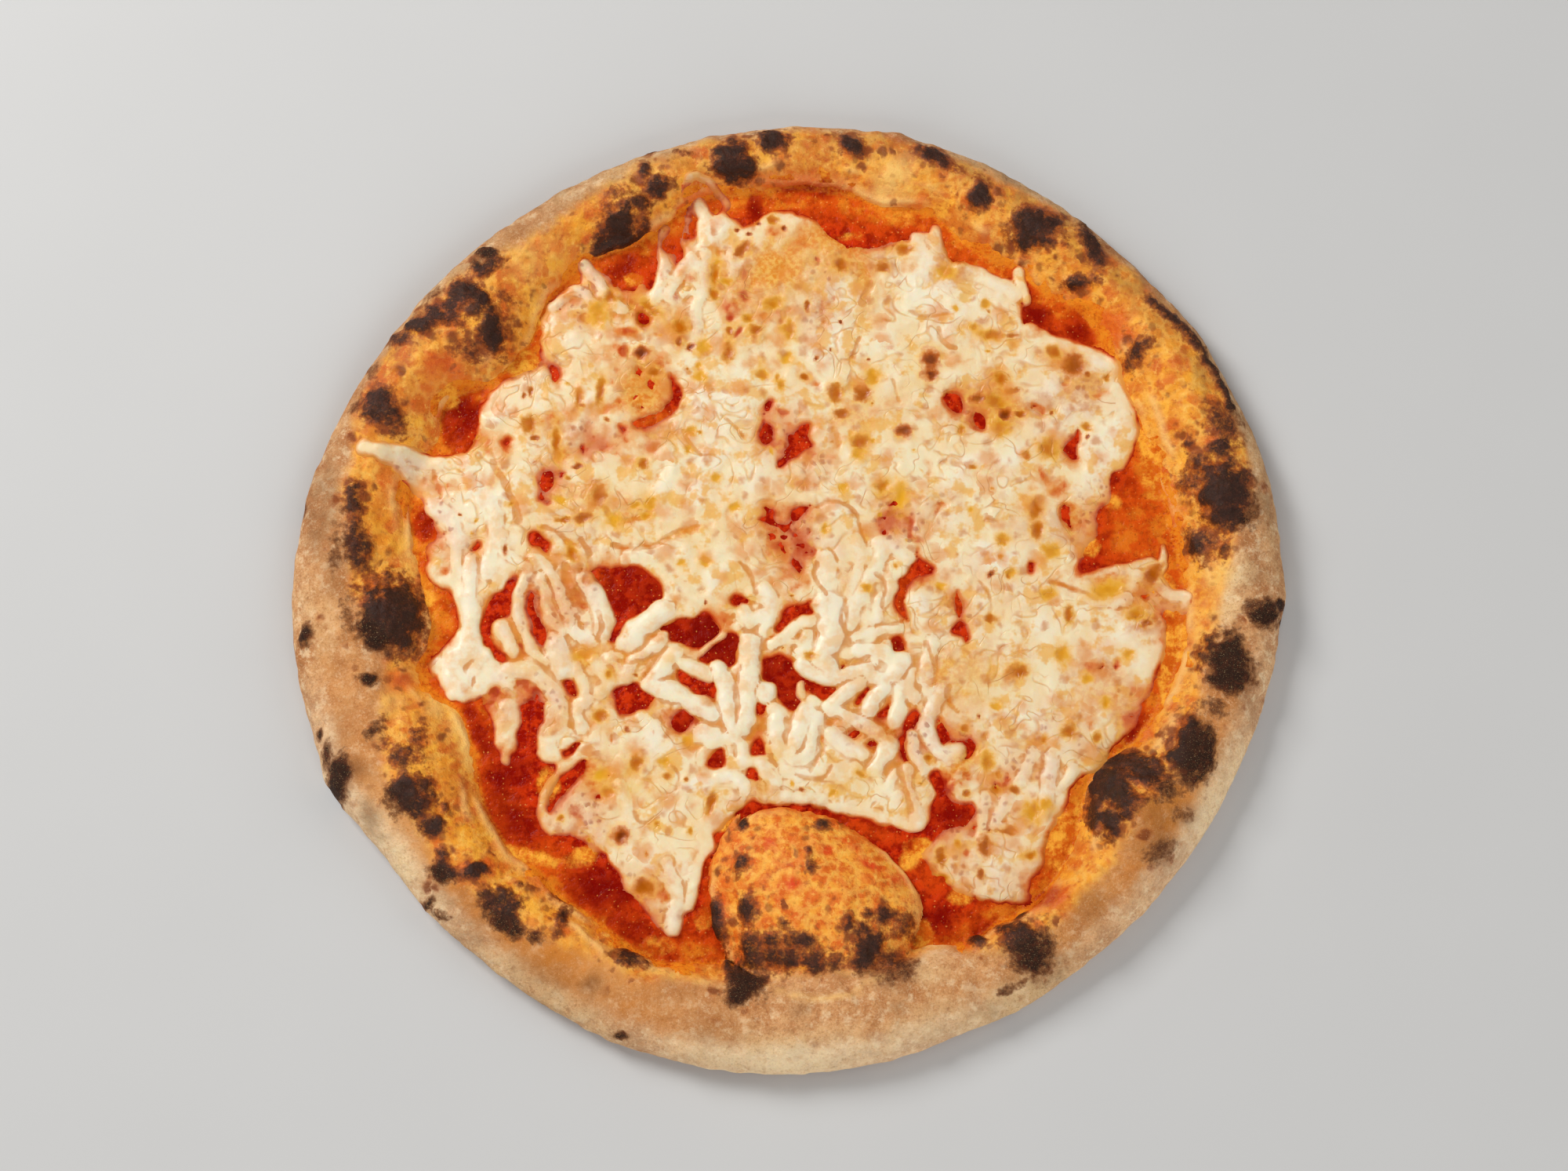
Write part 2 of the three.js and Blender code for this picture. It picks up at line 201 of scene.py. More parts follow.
# where the dough begins to rise, and how far the sauce has crept up it: (deg, radius mm)
FOOT_AT = [(0, 127), (5, 125), (10, 124), (15, 124), (20, 124.5), (25, 126), (30, 126), (35, 127),
           (40, 131), (43, 132.5), (46, 131), (50, 128), (55, 129.5), (60, 127), (65, 129), (68, 133),
           (72, 133), (76, 130), (80, 132), (85, 133), (90, 133.5), (95, 132.5), (98, 131.5),
           (101, 133), (105, 131), (110, 126), (115, 125), (120, 126.5), (125, 126), (130, 123),
           (133, 120), (135, 117), (140, 116), (145, 117.5), (148, 122), (151, 127), (153, 127),
           (155, 124), (157, 122.5), (160, 125), (165, 125.5), (168, 125), (172, 122), (175, 120),
           (178, 118), (181, 116), (184, 114.5), (187, 114.5), (190, 117), (193, 120.5), (195, 120.5),
           (197, 117), (199, 114), (201, 112), (205, 112), (209, 114), (213, 117), (217, 120),
           (221, 121.5), (225, 122), (229, 120), (233, 122.5), (237, 122), (241, 123), (245, 124.5),
           (248, 126), (251, 127), (253, 126), (255, 124), (258, 123), (264, 122), (275, 122),
           (286, 122), (291, 123.5), (294, 126), (298, 127.5), (301, 125.5), (304, 127.5), (308, 128),
           (311, 126.5), (314, 125), (317, 123), (320, 119.5), (323, 116), (326, 114), (329, 113.5),
           (332, 116), (335, 120), (338, 122), (342, 124), (346, 126), (350, 127), (354, 126.5),
           (357, 127)]
CREEP_TO = [(0, 129.5), (4, 129), (12, 129), (16, 130), (20, 131), (22, 129), (26, 128), (30, 129),
            (34, 130), (37, 134), (40, 137), (43, 137.5), (46, 134), (49, 131), (52, 132), (55, 134),
            (57, 134), (60, 131), (64, 130), (67, 134), (69, 138), (72, 136), (75, 131), (78, 131.5),
            (80, 137), (85, 138.5), (90, 139), (95, 137), (98, 136), (101, 138), (105, 138), (108, 130),
            (112, 128), (117, 129), (120, 130), (125, 130), (129, 127), (132, 123), (135, 118.5),
            (140, 117.5), (145, 119.5), (148, 128), (150, 133), (152, 133), (154, 128), (156, 124.5),
            (158, 124), (160, 127), (164, 129), (166, 132), (168, 130), (171, 126), (174, 122.5),
            (178, 120), (182, 117.5), (186, 116.5), (190, 121), (193, 124), (196, 126), (198, 118),
            (201, 114), (205, 113.5), (209, 116.5), (213, 120), (217, 122.5), (221, 124.5),
            (225, 125), (228, 123), (231, 127.5), (234, 126.5), (237, 124.5), (241, 125.5), (245, 127.5),
            (248, 129), (251, 130), (253, 129.5), (255, 127), (258, 124), (275, 123), (291, 125),
            (293, 127), (295, 129), (298, 130), (301, 128), (304, 130), (308, 132.5), (311, 129),
            (314, 127), (317, 125), (320, 121), (323, 118), (326, 115.5), (329, 115), (332, 118),
            (335, 122.5), (338, 124), (342, 128), (346, 130.5), (350, 131), (354, 131), (357, 129)]
# how far in from the outline the oily golden part of the rim ends: (deg, mm)
GOLD_EDGE = [(0, 20), (7, 15), (12, 7), (20, 5), (30, 4), (40, 3), (50, 3.5), (60, 4.5), (75, 2.5),
             (90, 2.5), (110, 5), (120, 9), (128, 10), (136, 6), (145, 3.5), (155, 4), (162, 9),
             (168, 12.7), (175, 19), (182, 20), (188, 33), (195, 25), (205, 19), (218, 11),
             (230, 16), (240, 19), (252, 23), (262, 27), (270, 30), (277, 31), (285, 25),
             (292, 29), (300, 17), (310, 16), (318, 18), (327, 22), (335, 18), (343, 21), (352, 21)]

# ---------------------------------------------------------------- what is where on the dough (mm)
# dark baked spots: [x, y, half width, half height, turn, strength]
CHAR = [
    (4.0,-115.5,5.0,3.2,0,0.85), (-6.0,-115.0,4.0,2.6,0,0.7),
    (103.5,-68.0,6.0,8.5,25,1.0), (102.0,-77.0,2.6,5.0,10,1.0), (113.5,-62.5,4.5,4.5,0,0.9), (107.0,-57.2,7.5,3.4,-5,0.9),
    (97.6,-66.0,2.4,4.6,0,0.9), (118.0,-67.0,4.0,3.0,0,0.7), (-109.0,92.5,4.4,7.0,-25,0.9), (-120.5,84.8,4.6,3.4,20,0.95),
    (-115.5,88.5,3.6,4.4,0,0.8), (-98.0,84.5,3.0,6.5,-10,1.0), (-99.8,93.0,2.8,3.0,0,1.0), (-104.5,96.5,4.6,3.6,0,0.9),
    (-98.2,109.5,3.0,2.2,0,0.9), (-102.0,104.0,2.0,3.0,0,0.85),
    (-18.4,141.2,6.5,5.5,-20,1.0), (-5.5,149.0,5.5,4.0,0,1.0), (20.3,147.1,4.5,4.2,0,1.0),
    (47.5,142.5,7.5,2.7,-31,0.9), (62.8,129.1,3.2,5.0,0,1.0), (80.7,117.6,8.5,5.5,-5,1.0),
    (99.1,112.5,3.0,7.0,30,0.9), (95.3,100.5,5.5,2.5,0,0.75), (91.8,91.0,2.5,2.2,0,0.9),
    (113.8,77.2,3.0,5.0,-40,0.75), (140.7,29.4,7.5,9.0,20,1.0), (142.5,21.2,6.5,4.5,-20,1.0),
    (138.8,44.0,3.0,3.5,0,0.85), (133.4,13.4,5.0,5.5,0,0.6), (131.6,12.4,2.7,3.2,0,0.85),
    (122.9,15.2,1.7,1.7,0,0.7), (140.2,52.3,5.5,7.5,10,0.6), (132.8,40.6,4.0,3.5,0,0.6),
    (129.7,45.8,2.0,3.0,0,0.6), (130.1,34.1,4.0,5.0,-30,0.55), (139.7,9.6,1.5,3.0,-20,0.6),
    (153.0,-10.1,5.0,4.2,0,0.9), (140.5,-26.2,6.7,8.5,0,1.0), (128.0,-53.9,6.5,10.5,-10,1.0),
    (134.6,-41.3,3.5,3.5,0,0.5), (74.8,-116.0,6.5,8.5,20,0.95), (73.2,-106.2,2.7,2.7,0,0.75),
    (59.5,-115.0,2.7,2.2,0,0.95), (-14.6,-77.7,1.5,1.5,0,0.8), (-15.3,-90.8,2.2,3.5,-15,0.8),
    (-13.5,-104.9,3.0,4.5,0,0.85), (-21.9,-109.1,2.0,6.5,8,0.95), (10.3,-77.7,2.7,1.7,-10,0.75),
    (6.5,-91.8,1.5,2.0,0,0.7), (6.0,-86.6,1.2,1.5,0,0.7), (30.5,-106.2,3.0,3.2,0,0.9),
    (35.4,-109.9,5.0,4.2,0,0.6), (-1.6,-109.4,2.0,1.5,0,0.7), (18.1,-109.4,2.5,3.0,0,0.65),
    (-5.3,-119.2,7.5,4.5,0,0.7), (-11.5,-118.5,4.0,6.0,0,0.75), (0.8,-120.2,4.0,5.0,0,0.85),
    (7.0,-120.9,6.0,4.0,0,0.75), (13.1,-120.9,4.0,3.0,0,0.6), (-13.9,-128.2,5.5,5.5,30,1.0),
    (-15.7,-131.9,5.0,3.0,0,1.0), (-19.6,-123.4,1.7,6.0,8,0.8), (24.2,-117.7,4.2,6.5,-10,0.95),
    (31.6,-121.6,6.5,5.0,0,0.6), (25.5,-106.2,2.0,2.0,0,0.6), (-50.9,-119.7,4.5,2.5,-20,0.8),
    (-72.0,-106.7,2.0,4.5,-15,0.85), (-72.7,-112.3,2.0,2.0,0,0.6), (-91.1,-102.5,5.0,5.0,-40,0.95),
    (-88.1,-108.6,4.0,3.5,0,0.9), (-95.1,-100.0,3.0,2.5,0,0.8), (-108.6,-93.1,4.5,2.7,-15,0.9),
    (-99.2,-93.1,3.0,3.0,0,0.95), (-79.6,-113.5,2.5,2.0,0,0.6), (-85.8,-96.5,1.5,1.2,0,0.6),
    (-109.5,-87.6,2.5,2.7,0,0.7), (-112.1,-78.9,3.5,3.2,0,0.95), (-109.0,-72.7,1.2,2.0,0,0.7),
    (-119.8,-68.2,6.0,6.5,0,1.0), (-122.5,-56.4,4.5,5.0,0,0.65), (-118.9,-51.4,3.0,5.0,-20,0.5),
    (-131.5,-47.6,2.0,4.5,-40,0.55), (-128.9,-52.7,3.0,2.5,0,0.4), (-134.4,-31.7,3.0,2.2,0,0.95),
    (-154.8,-17.3,2.2,3.7,-10,0.85), (-139.2,13.4,3.7,11.2,10,0.75), (-140.8,26.3,3.2,6.5,0,0.8),
    (-146.0,10.9,2.5,7.5,0,0.4), (-132.5,57.3,5.5,6.0,0,0.95), (-128.7,51.0,5.0,3.0,0,0.5),
    (-126.4,80.7,4.5,3.0,20,0.7), (-135.6,70.7,2.5,3.0,0,0.4), (-110.4,89.6,7.5,6.5,0,0.65),
    (-116.0,86.5,4.0,4.0,0,0.6), (-106.7,95.7,6.0,4.0,0,0.55), (-97.0,82.8,5.0,6.5,-15,1.0),
    (-101.5,89.1,4.0,3.5,0,0.75), (-103.8,77.2,5.0,3.5,0,0.55), (-99.2,103.7,5.5,3.0,30,0.75),
    (-93.9,94.4,3.5,2.5,0,0.4), (-54.9,120.2,6.5,7.0,-40,1.0), (-59.5,115.7,4.0,5.5,-30,0.8),
    (-44.2,132.3,5.0,3.0,30,0.85), (-49.3,126.9,4.5,3.0,40,0.7), (-47.6,137.4,2.0,2.5,0,0.8),
    (-57.1,129.1,3.0,2.5,0,0.55), (-33.9,143.9,3.5,1.2,-10,0.5), (-45.6,145.7,2.5,1.0,20,0.6),
    (-127.8,-10.1,10.5,10.0,0,1.0), (-132.3,-14.7,6.0,6.5,0,0.95), (-123.6,-7.1,6.0,5.5,0,0.9),
    (102.4,-65.2,6.0,10.5,25,0.95), (109.2,-58.9,9.0,4.0,-10,0.85), (97.8,-73.9,2.7,6.0,5,0.85),
    (116.6,-65.2,5.5,4.5,-40,0.6), (117.4,-86.4,5.0,3.7,20,0.5), (125.1,-75.2,3.5,2.5,0,0.35),
    (-114.1,-102.5,1.2,3.5,-40,0.7), (-109.8,-106.2,3.0,1.0,-20,0.6),
]
CHAR_STROKES = [
    [[[117.6,93.9],[126.4,86.7],[135.1,76.2],[141.2,65.7],[143.1,57.8]],1.4,0.8],
    [[[-46.0,-122.1],[-53.4,-120.8]],1.0,0.6], [[[-75.9,-99.9],[-69.7,-102.4]],0.8,0.4],
]
SCORCH = [
    (-150.8,24.4,6.0,20.0,0,0.8), (-153.1,42.6,3.5,7.5,0,0.5), (-145.7,2.4,5.0,10.0,0,0.5),
    (-137.8,-61.1,5.5,4.5,0,0.8), (-132.4,-76.1,3.5,6.5,20,0.9), (-144.2,-54.8,3.5,5.0,0,0.4),
    (-141.9,-47.2,5.0,7.5,0,0.4), (-61.6,-128.1,4.5,3.5,0,0.9), (3.3,-136.6,4.0,3.0,0,0.5),
    (34.1,-135.4,4.5,2.5,0,0.5), (64.4,-136.6,4.0,3.0,0,0.5), (32.9,-124.4,8.0,6.5,0,0.8),
    (79.9,-121.9,7.5,6.5,0,0.6), (-25.0,-139.1,10.0,6.5,0,0.35), (-36.2,-131.8,10.0,5.0,0,0.3),
    (117.7,-86.1,6.5,5.0,0,0.75), (112.9,-77.4,7.5,6.5,0,0.4), (125.4,-74.9,5.0,4.0,0,0.6),
    (95.0,-104.7,7.5,4.0,30,0.4), (145.7,-64.9,3.0,7.5,-20,0.4), (153.7,27.0,3.5,7.5,0,0.5),
    (150.0,1.2,6.5,6.5,0,0.35), (146.4,-37.1,4.0,7.5,0,0.4), (-99.7,119.3,10.0,3.5,35,0.4),
    (-79.2,130.0,10.0,3.0,30,0.4), (-116.2,103.2,7.5,4.0,40,0.5), (-100.6,-112.1,7.5,6.5,-40,0.5),
    (-110.8,-99.7,7.5,3.0,-35,0.4), (-75.7,-124.4,9.0,4.0,-20,0.3), (-132.6,89.9,4.0,6.0,30,0.4),
    (73.4,136.8,7.5,2.5,-30,0.3),
]
EDGE_CHAR = [
    (-143.9,-64.3,4.0,9.1,-22,1.0), (-147.4,-55.4,2.0,5.0,0,0.7), (-150.1,-49.1,1.3,2.5,0,0.8),
    (158.1,-6.9,2.0,2.0,0,1), (159.2,-12.1,1.5,1.5,0,0.9), (-157.7,25.4,1.3,3.0,0,0.5),
    (-52.8,-143.8,2.5,1.3,0,0.8), (70.3,-129.0,6.0,1.5,25,0.5),
]
WASH = [
    (110.4,27.6,11.3,15.1,0,0.9), (120.9,40.7,6.3,7.5,0,0.7), (114.7,48.5,4.0,6.5,0,0.6),
    (13.9,135.0,30.2,8.0,-4,0.9), (37.2,125.6,15.1,7.5,0,0.9), (-12.0,135.0,15.1,6.5,10,0.8),
    (-35.3,128.3,10.1,7.5,0,0.7), (-54.6,109.5,12.6,7.5,0,0.9), (-68.8,105.4,10.1,5.5,30,0.8),
    (73.2,105.4,10.1,7.5,-30,0.8), (85.9,92.1,10.1,6.5,-20,0.8), (103.8,82.8,9.0,7.5,0,0.8),
    (111.6,88.1,6.5,5.0,0,0.5), (-107.9,59.0,10.1,12.6,0,0.9), (-115.8,69.6,10.1,7.5,20,0.6),
    (-114.7,77.5,6.5,5.0,0,0.6), (-121.3,25.0,8.5,10.1,-20,0.8), (-109.8,-13.7,5.0,12.6,0,0.9),
    (-122.6,-27.8,11.3,6.5,-25,0.9), (-132.8,-23.4,6.5,3.5,0,0.7), (-102.1,-46.8,4.0,15.1,10,0.6),
    (-101.7,-69.5,5.0,12.6,0,0.6), (-91.5,-84.6,10.1,5.0,-15,0.7), (-66.4,-92.0,17.6,6.0,-20,0.9),
    (-51.3,-106.9,15.1,10.1,-35,0.9), (-38.8,-118.1,10.1,5.0,0,0.9), (-25.3,-102.0,3.5,15.1,0,0.9),
    (-21.6,-79.6,5.0,7.5,-20,0.6), (18.3,-77.1,22.6,5.0,-14,0.9), (40.7,-89.5,7.5,10.1,0,0.8),
    (53.0,-106.9,12.6,6.5,-10,0.9), (50.6,-97.0,5.0,7.5,0,0.8), (83.0,-99.5,5.0,7.5,0,0.8),
    (90.8,-79.6,4.0,10.1,0,0.7), (98.6,-62.0,6.5,7.5,20,0.6), (115.2,-45.6,7.5,6.5,20,0.9),
    (121.9,-26.5,5.0,12.6,0,0.8), (121.1,-8.6,5.0,7.5,0,0.7), (30.8,-85.8,10.1,6.5,-20,0.5),
]
GOLD = [
    (128.8,68.8,12.5,15.0,0,0.9), (118.3,58.3,7.5,15.0,0,0.7), (125.3,27.0,6.5,15.0,0,0.8),
    (134.9,3.7,7.5,6.5,0,0.8), (110.9,68.8,4.0,10.0,0,0.9), (37.2,136.8,15.0,5.0,-10,0.6),
    (101.2,100.6,12.5,7.5,-30,0.5), (-83.7,82.0,7.5,12.5,20,0.9), (-89.2,108.6,10.0,7.5,30,0.6),
    (-67.4,116.6,5.0,10.0,0,0.9), (-50.9,139.4,10.0,7.5,20,0.6), (-37.9,142.2,7.5,4.0,0,0.7),
    (-117.0,-39.6,12.5,7.5,0,0.8), (-111.5,-64.9,7.5,17.5,0,0.5), (-103.7,-79.9,10.0,10.0,-20,0.9),
    (-88.6,-92.3,12.5,6.5,-20,0.6), (-58.5,-117.0,15.0,6.5,-15,0.9),
    (-76.0,-102.2,12.5,6.5,-30,0.6), (-123.9,47.8,10.0,6.5,0,0.6), (-133.4,16.6,7.5,15.0,0,0.6),
    (-118.9,47.8,7.5,5.0,0,0.6), (92.8,-87.3,7.5,12.5,20,0.8), (80.0,-112.1,7.5,5.0,0,0.7),
    (65.1,-115.8,10.0,4.5,0,0.8), (92.6,-99.7,6.5,6.5,0,0.6), (135.7,-11.7,7.5,15.0,0,0.4),
    (126.4,-34.6,6.5,12.5,0,0.6), (-4.2,146.2,22.6,3.5,0,0.4), (40.4,-112.1,7.5,7.5,0,0.7),
    (20.6,-112.1,12.5,6.0,0,0.6), (-1.6,-89.8,17.5,17.5,0,0.3),
]

# ---------------------------------------------------------------- what is where in the cheese (mm)
SHEET_EDGE = [
    (124.5,0.5), (120.5,4.0), (122.5,9.5), (117.5,10.0), (110.0,7.6), (104.0,5.2), (98.5,3.0), (94.0,5.0), (96.3,12.4), (100.7,17.6),
    (99.9,25.4), (106.8,28.0), (101.9,37.2), (110.8,38.5), (115.7,52.9), (111.4,64.8), (107.7,76.7),
    (100.1,80.7), (92.4,83.3), (78.3,86.5), (77.1,92.6), (75.9,100.7), (63.0,104.7), (51.4,110.0),
    (48.9,120.8), (41.1,118.1), (32.0,115.4), (24.3,112.7), (13.9,118.1), (7.4,124.8), (-1.6,128.4),
    (-10.7,122.1), (-18.5,124.8), (-20.5,128.0), (-25.5,126.0), (-27.5,130.0), (-31.5,130.5), (-34.0,126.5), (-35.5,121.5), (-37.9,116.0),
    (-43.0,106.0), (-53.3,98.0), (-59.8,104.7), (-67.6,108.7), (-70.1,98.0), (-79.1,94.0),
    (-82.5,80.7), (-80.5,73.5), (-90.0,71.0), (-100.5,62.1), (-102.1,52.9), (-104.0,45.0),
    (-114.2,43.7), (-124.5,45.8), (-138.6,46.3), (-139.3,42.4), (-129.5,38.5), (-121.6,30.6),
    (-116.5,23.5), (-114.5,17.5), (-119.0,12.5), (-117.5,4.0), (-110.0,-1.0), (-107.3,-8.0), (-107.3,-14.5),
    (-110.0,-19.5), (-116.5,-24.0), (-116.0,-28.5), (-111.5,-34.0), (-103.0,-36.5), (-98.5,-38.5), (-95.8,-44.0), (-93.5,-51.0), (-91.0,-59.0), (-88.5,-51.0), (-86.3,-44.0),
    (-86.0,-39.0), (-83.0,-36.0), (-79.0,-37.0), (-77.0,-42.0), (-78.5,-46.0), (-82.0,-50.0), (-81.0,-54.8), (-77.0,-57.5),
    (-73.0,-55.5), (-70.5,-51.0), (-67.5,-50.0), (-65.5,-53.0), (-65.0,-57.5), (-68.0,-62.0), (-72.0,-67.0), (-76.0,-71.5),
    (-78.0,-74.5), (-78.5,-78.0), (-76.0,-80.5), (-67.9,-81.0), (-60.4,-85.6), (-54.1,-91.9), (-51.5,-99.3), (-44.0,-106.8), (-37.7,-113.7),
    (-31.5,-104.3), (-27.9,-89.4), (-22.9,-79.4), (-14.2,-69.3), (-5.4,-69.3), (8.4,-71.3),
    (23.4,-75.6), (36.0,-78.3), (41.5,-77.5), (44.5,-74.0), (45.0,-67.3), (50.5,-67.5), (52.0,-71.0), (58.0,-69.8), (60.0,-73.3), (57.3,-77.3),
    (50.5,-78.0), (46.0,-81.0), (42.0,-84.5), (42.5,-88.0), (46.0,-92.5), (53.2,-99.3), (65.6,-101.8), (76.5,-103.6), (77.0,-95.5), (81.0,-91.5),
    (82.5,-82.5), (87.5,-73.5), (91.5,-64.3), (104.0,-52.9), (113.0,-44.0), (114.9,-36.4),
    (119.1,-28.7), (122.8,-18.5), (121.5,-9.5), (124.5,-7.5), (129.5,-9.0), (129.5,-3.0),
]
POOLS = [
    (-81.5,-36.0,0.6,1.5,0), (-59.0,-48.6,1.2,1.9,0), (-2.4,10.8,1.3,1.4,0), (-100.8,-36.4,2.3,1.8,0),
    (-79.1,35.3,2.4,3.6,0), (-77.5,71.5,1.6,3.3,20), (-48.0,90.0,1.5,2.0,30), (-31.5,122.7,1.5,3.8,0),
    (-24.5,128.4,1.8,2.0,0), (-13.3,124.8,2.5,3.5,-30), (-37.0,114.0,1.8,6.5,10), (-45.6,103.0,2.2,2.6,0),
    (79.0,7.2,1.2,2.0,-20), (122.2,-9.0,2.0,1.4,0), (125.5,-1.5,1.8,2.0,0), (101.5,-26.0,2.6,1.0,10),
    (-91.5,48.0,1.4,1.0,0), (-81.0,30.0,1.0,1.6,0), (-68.5,15.2,2.2,0.9,0), (81.0,59.5,1.4,1.8,0),
]
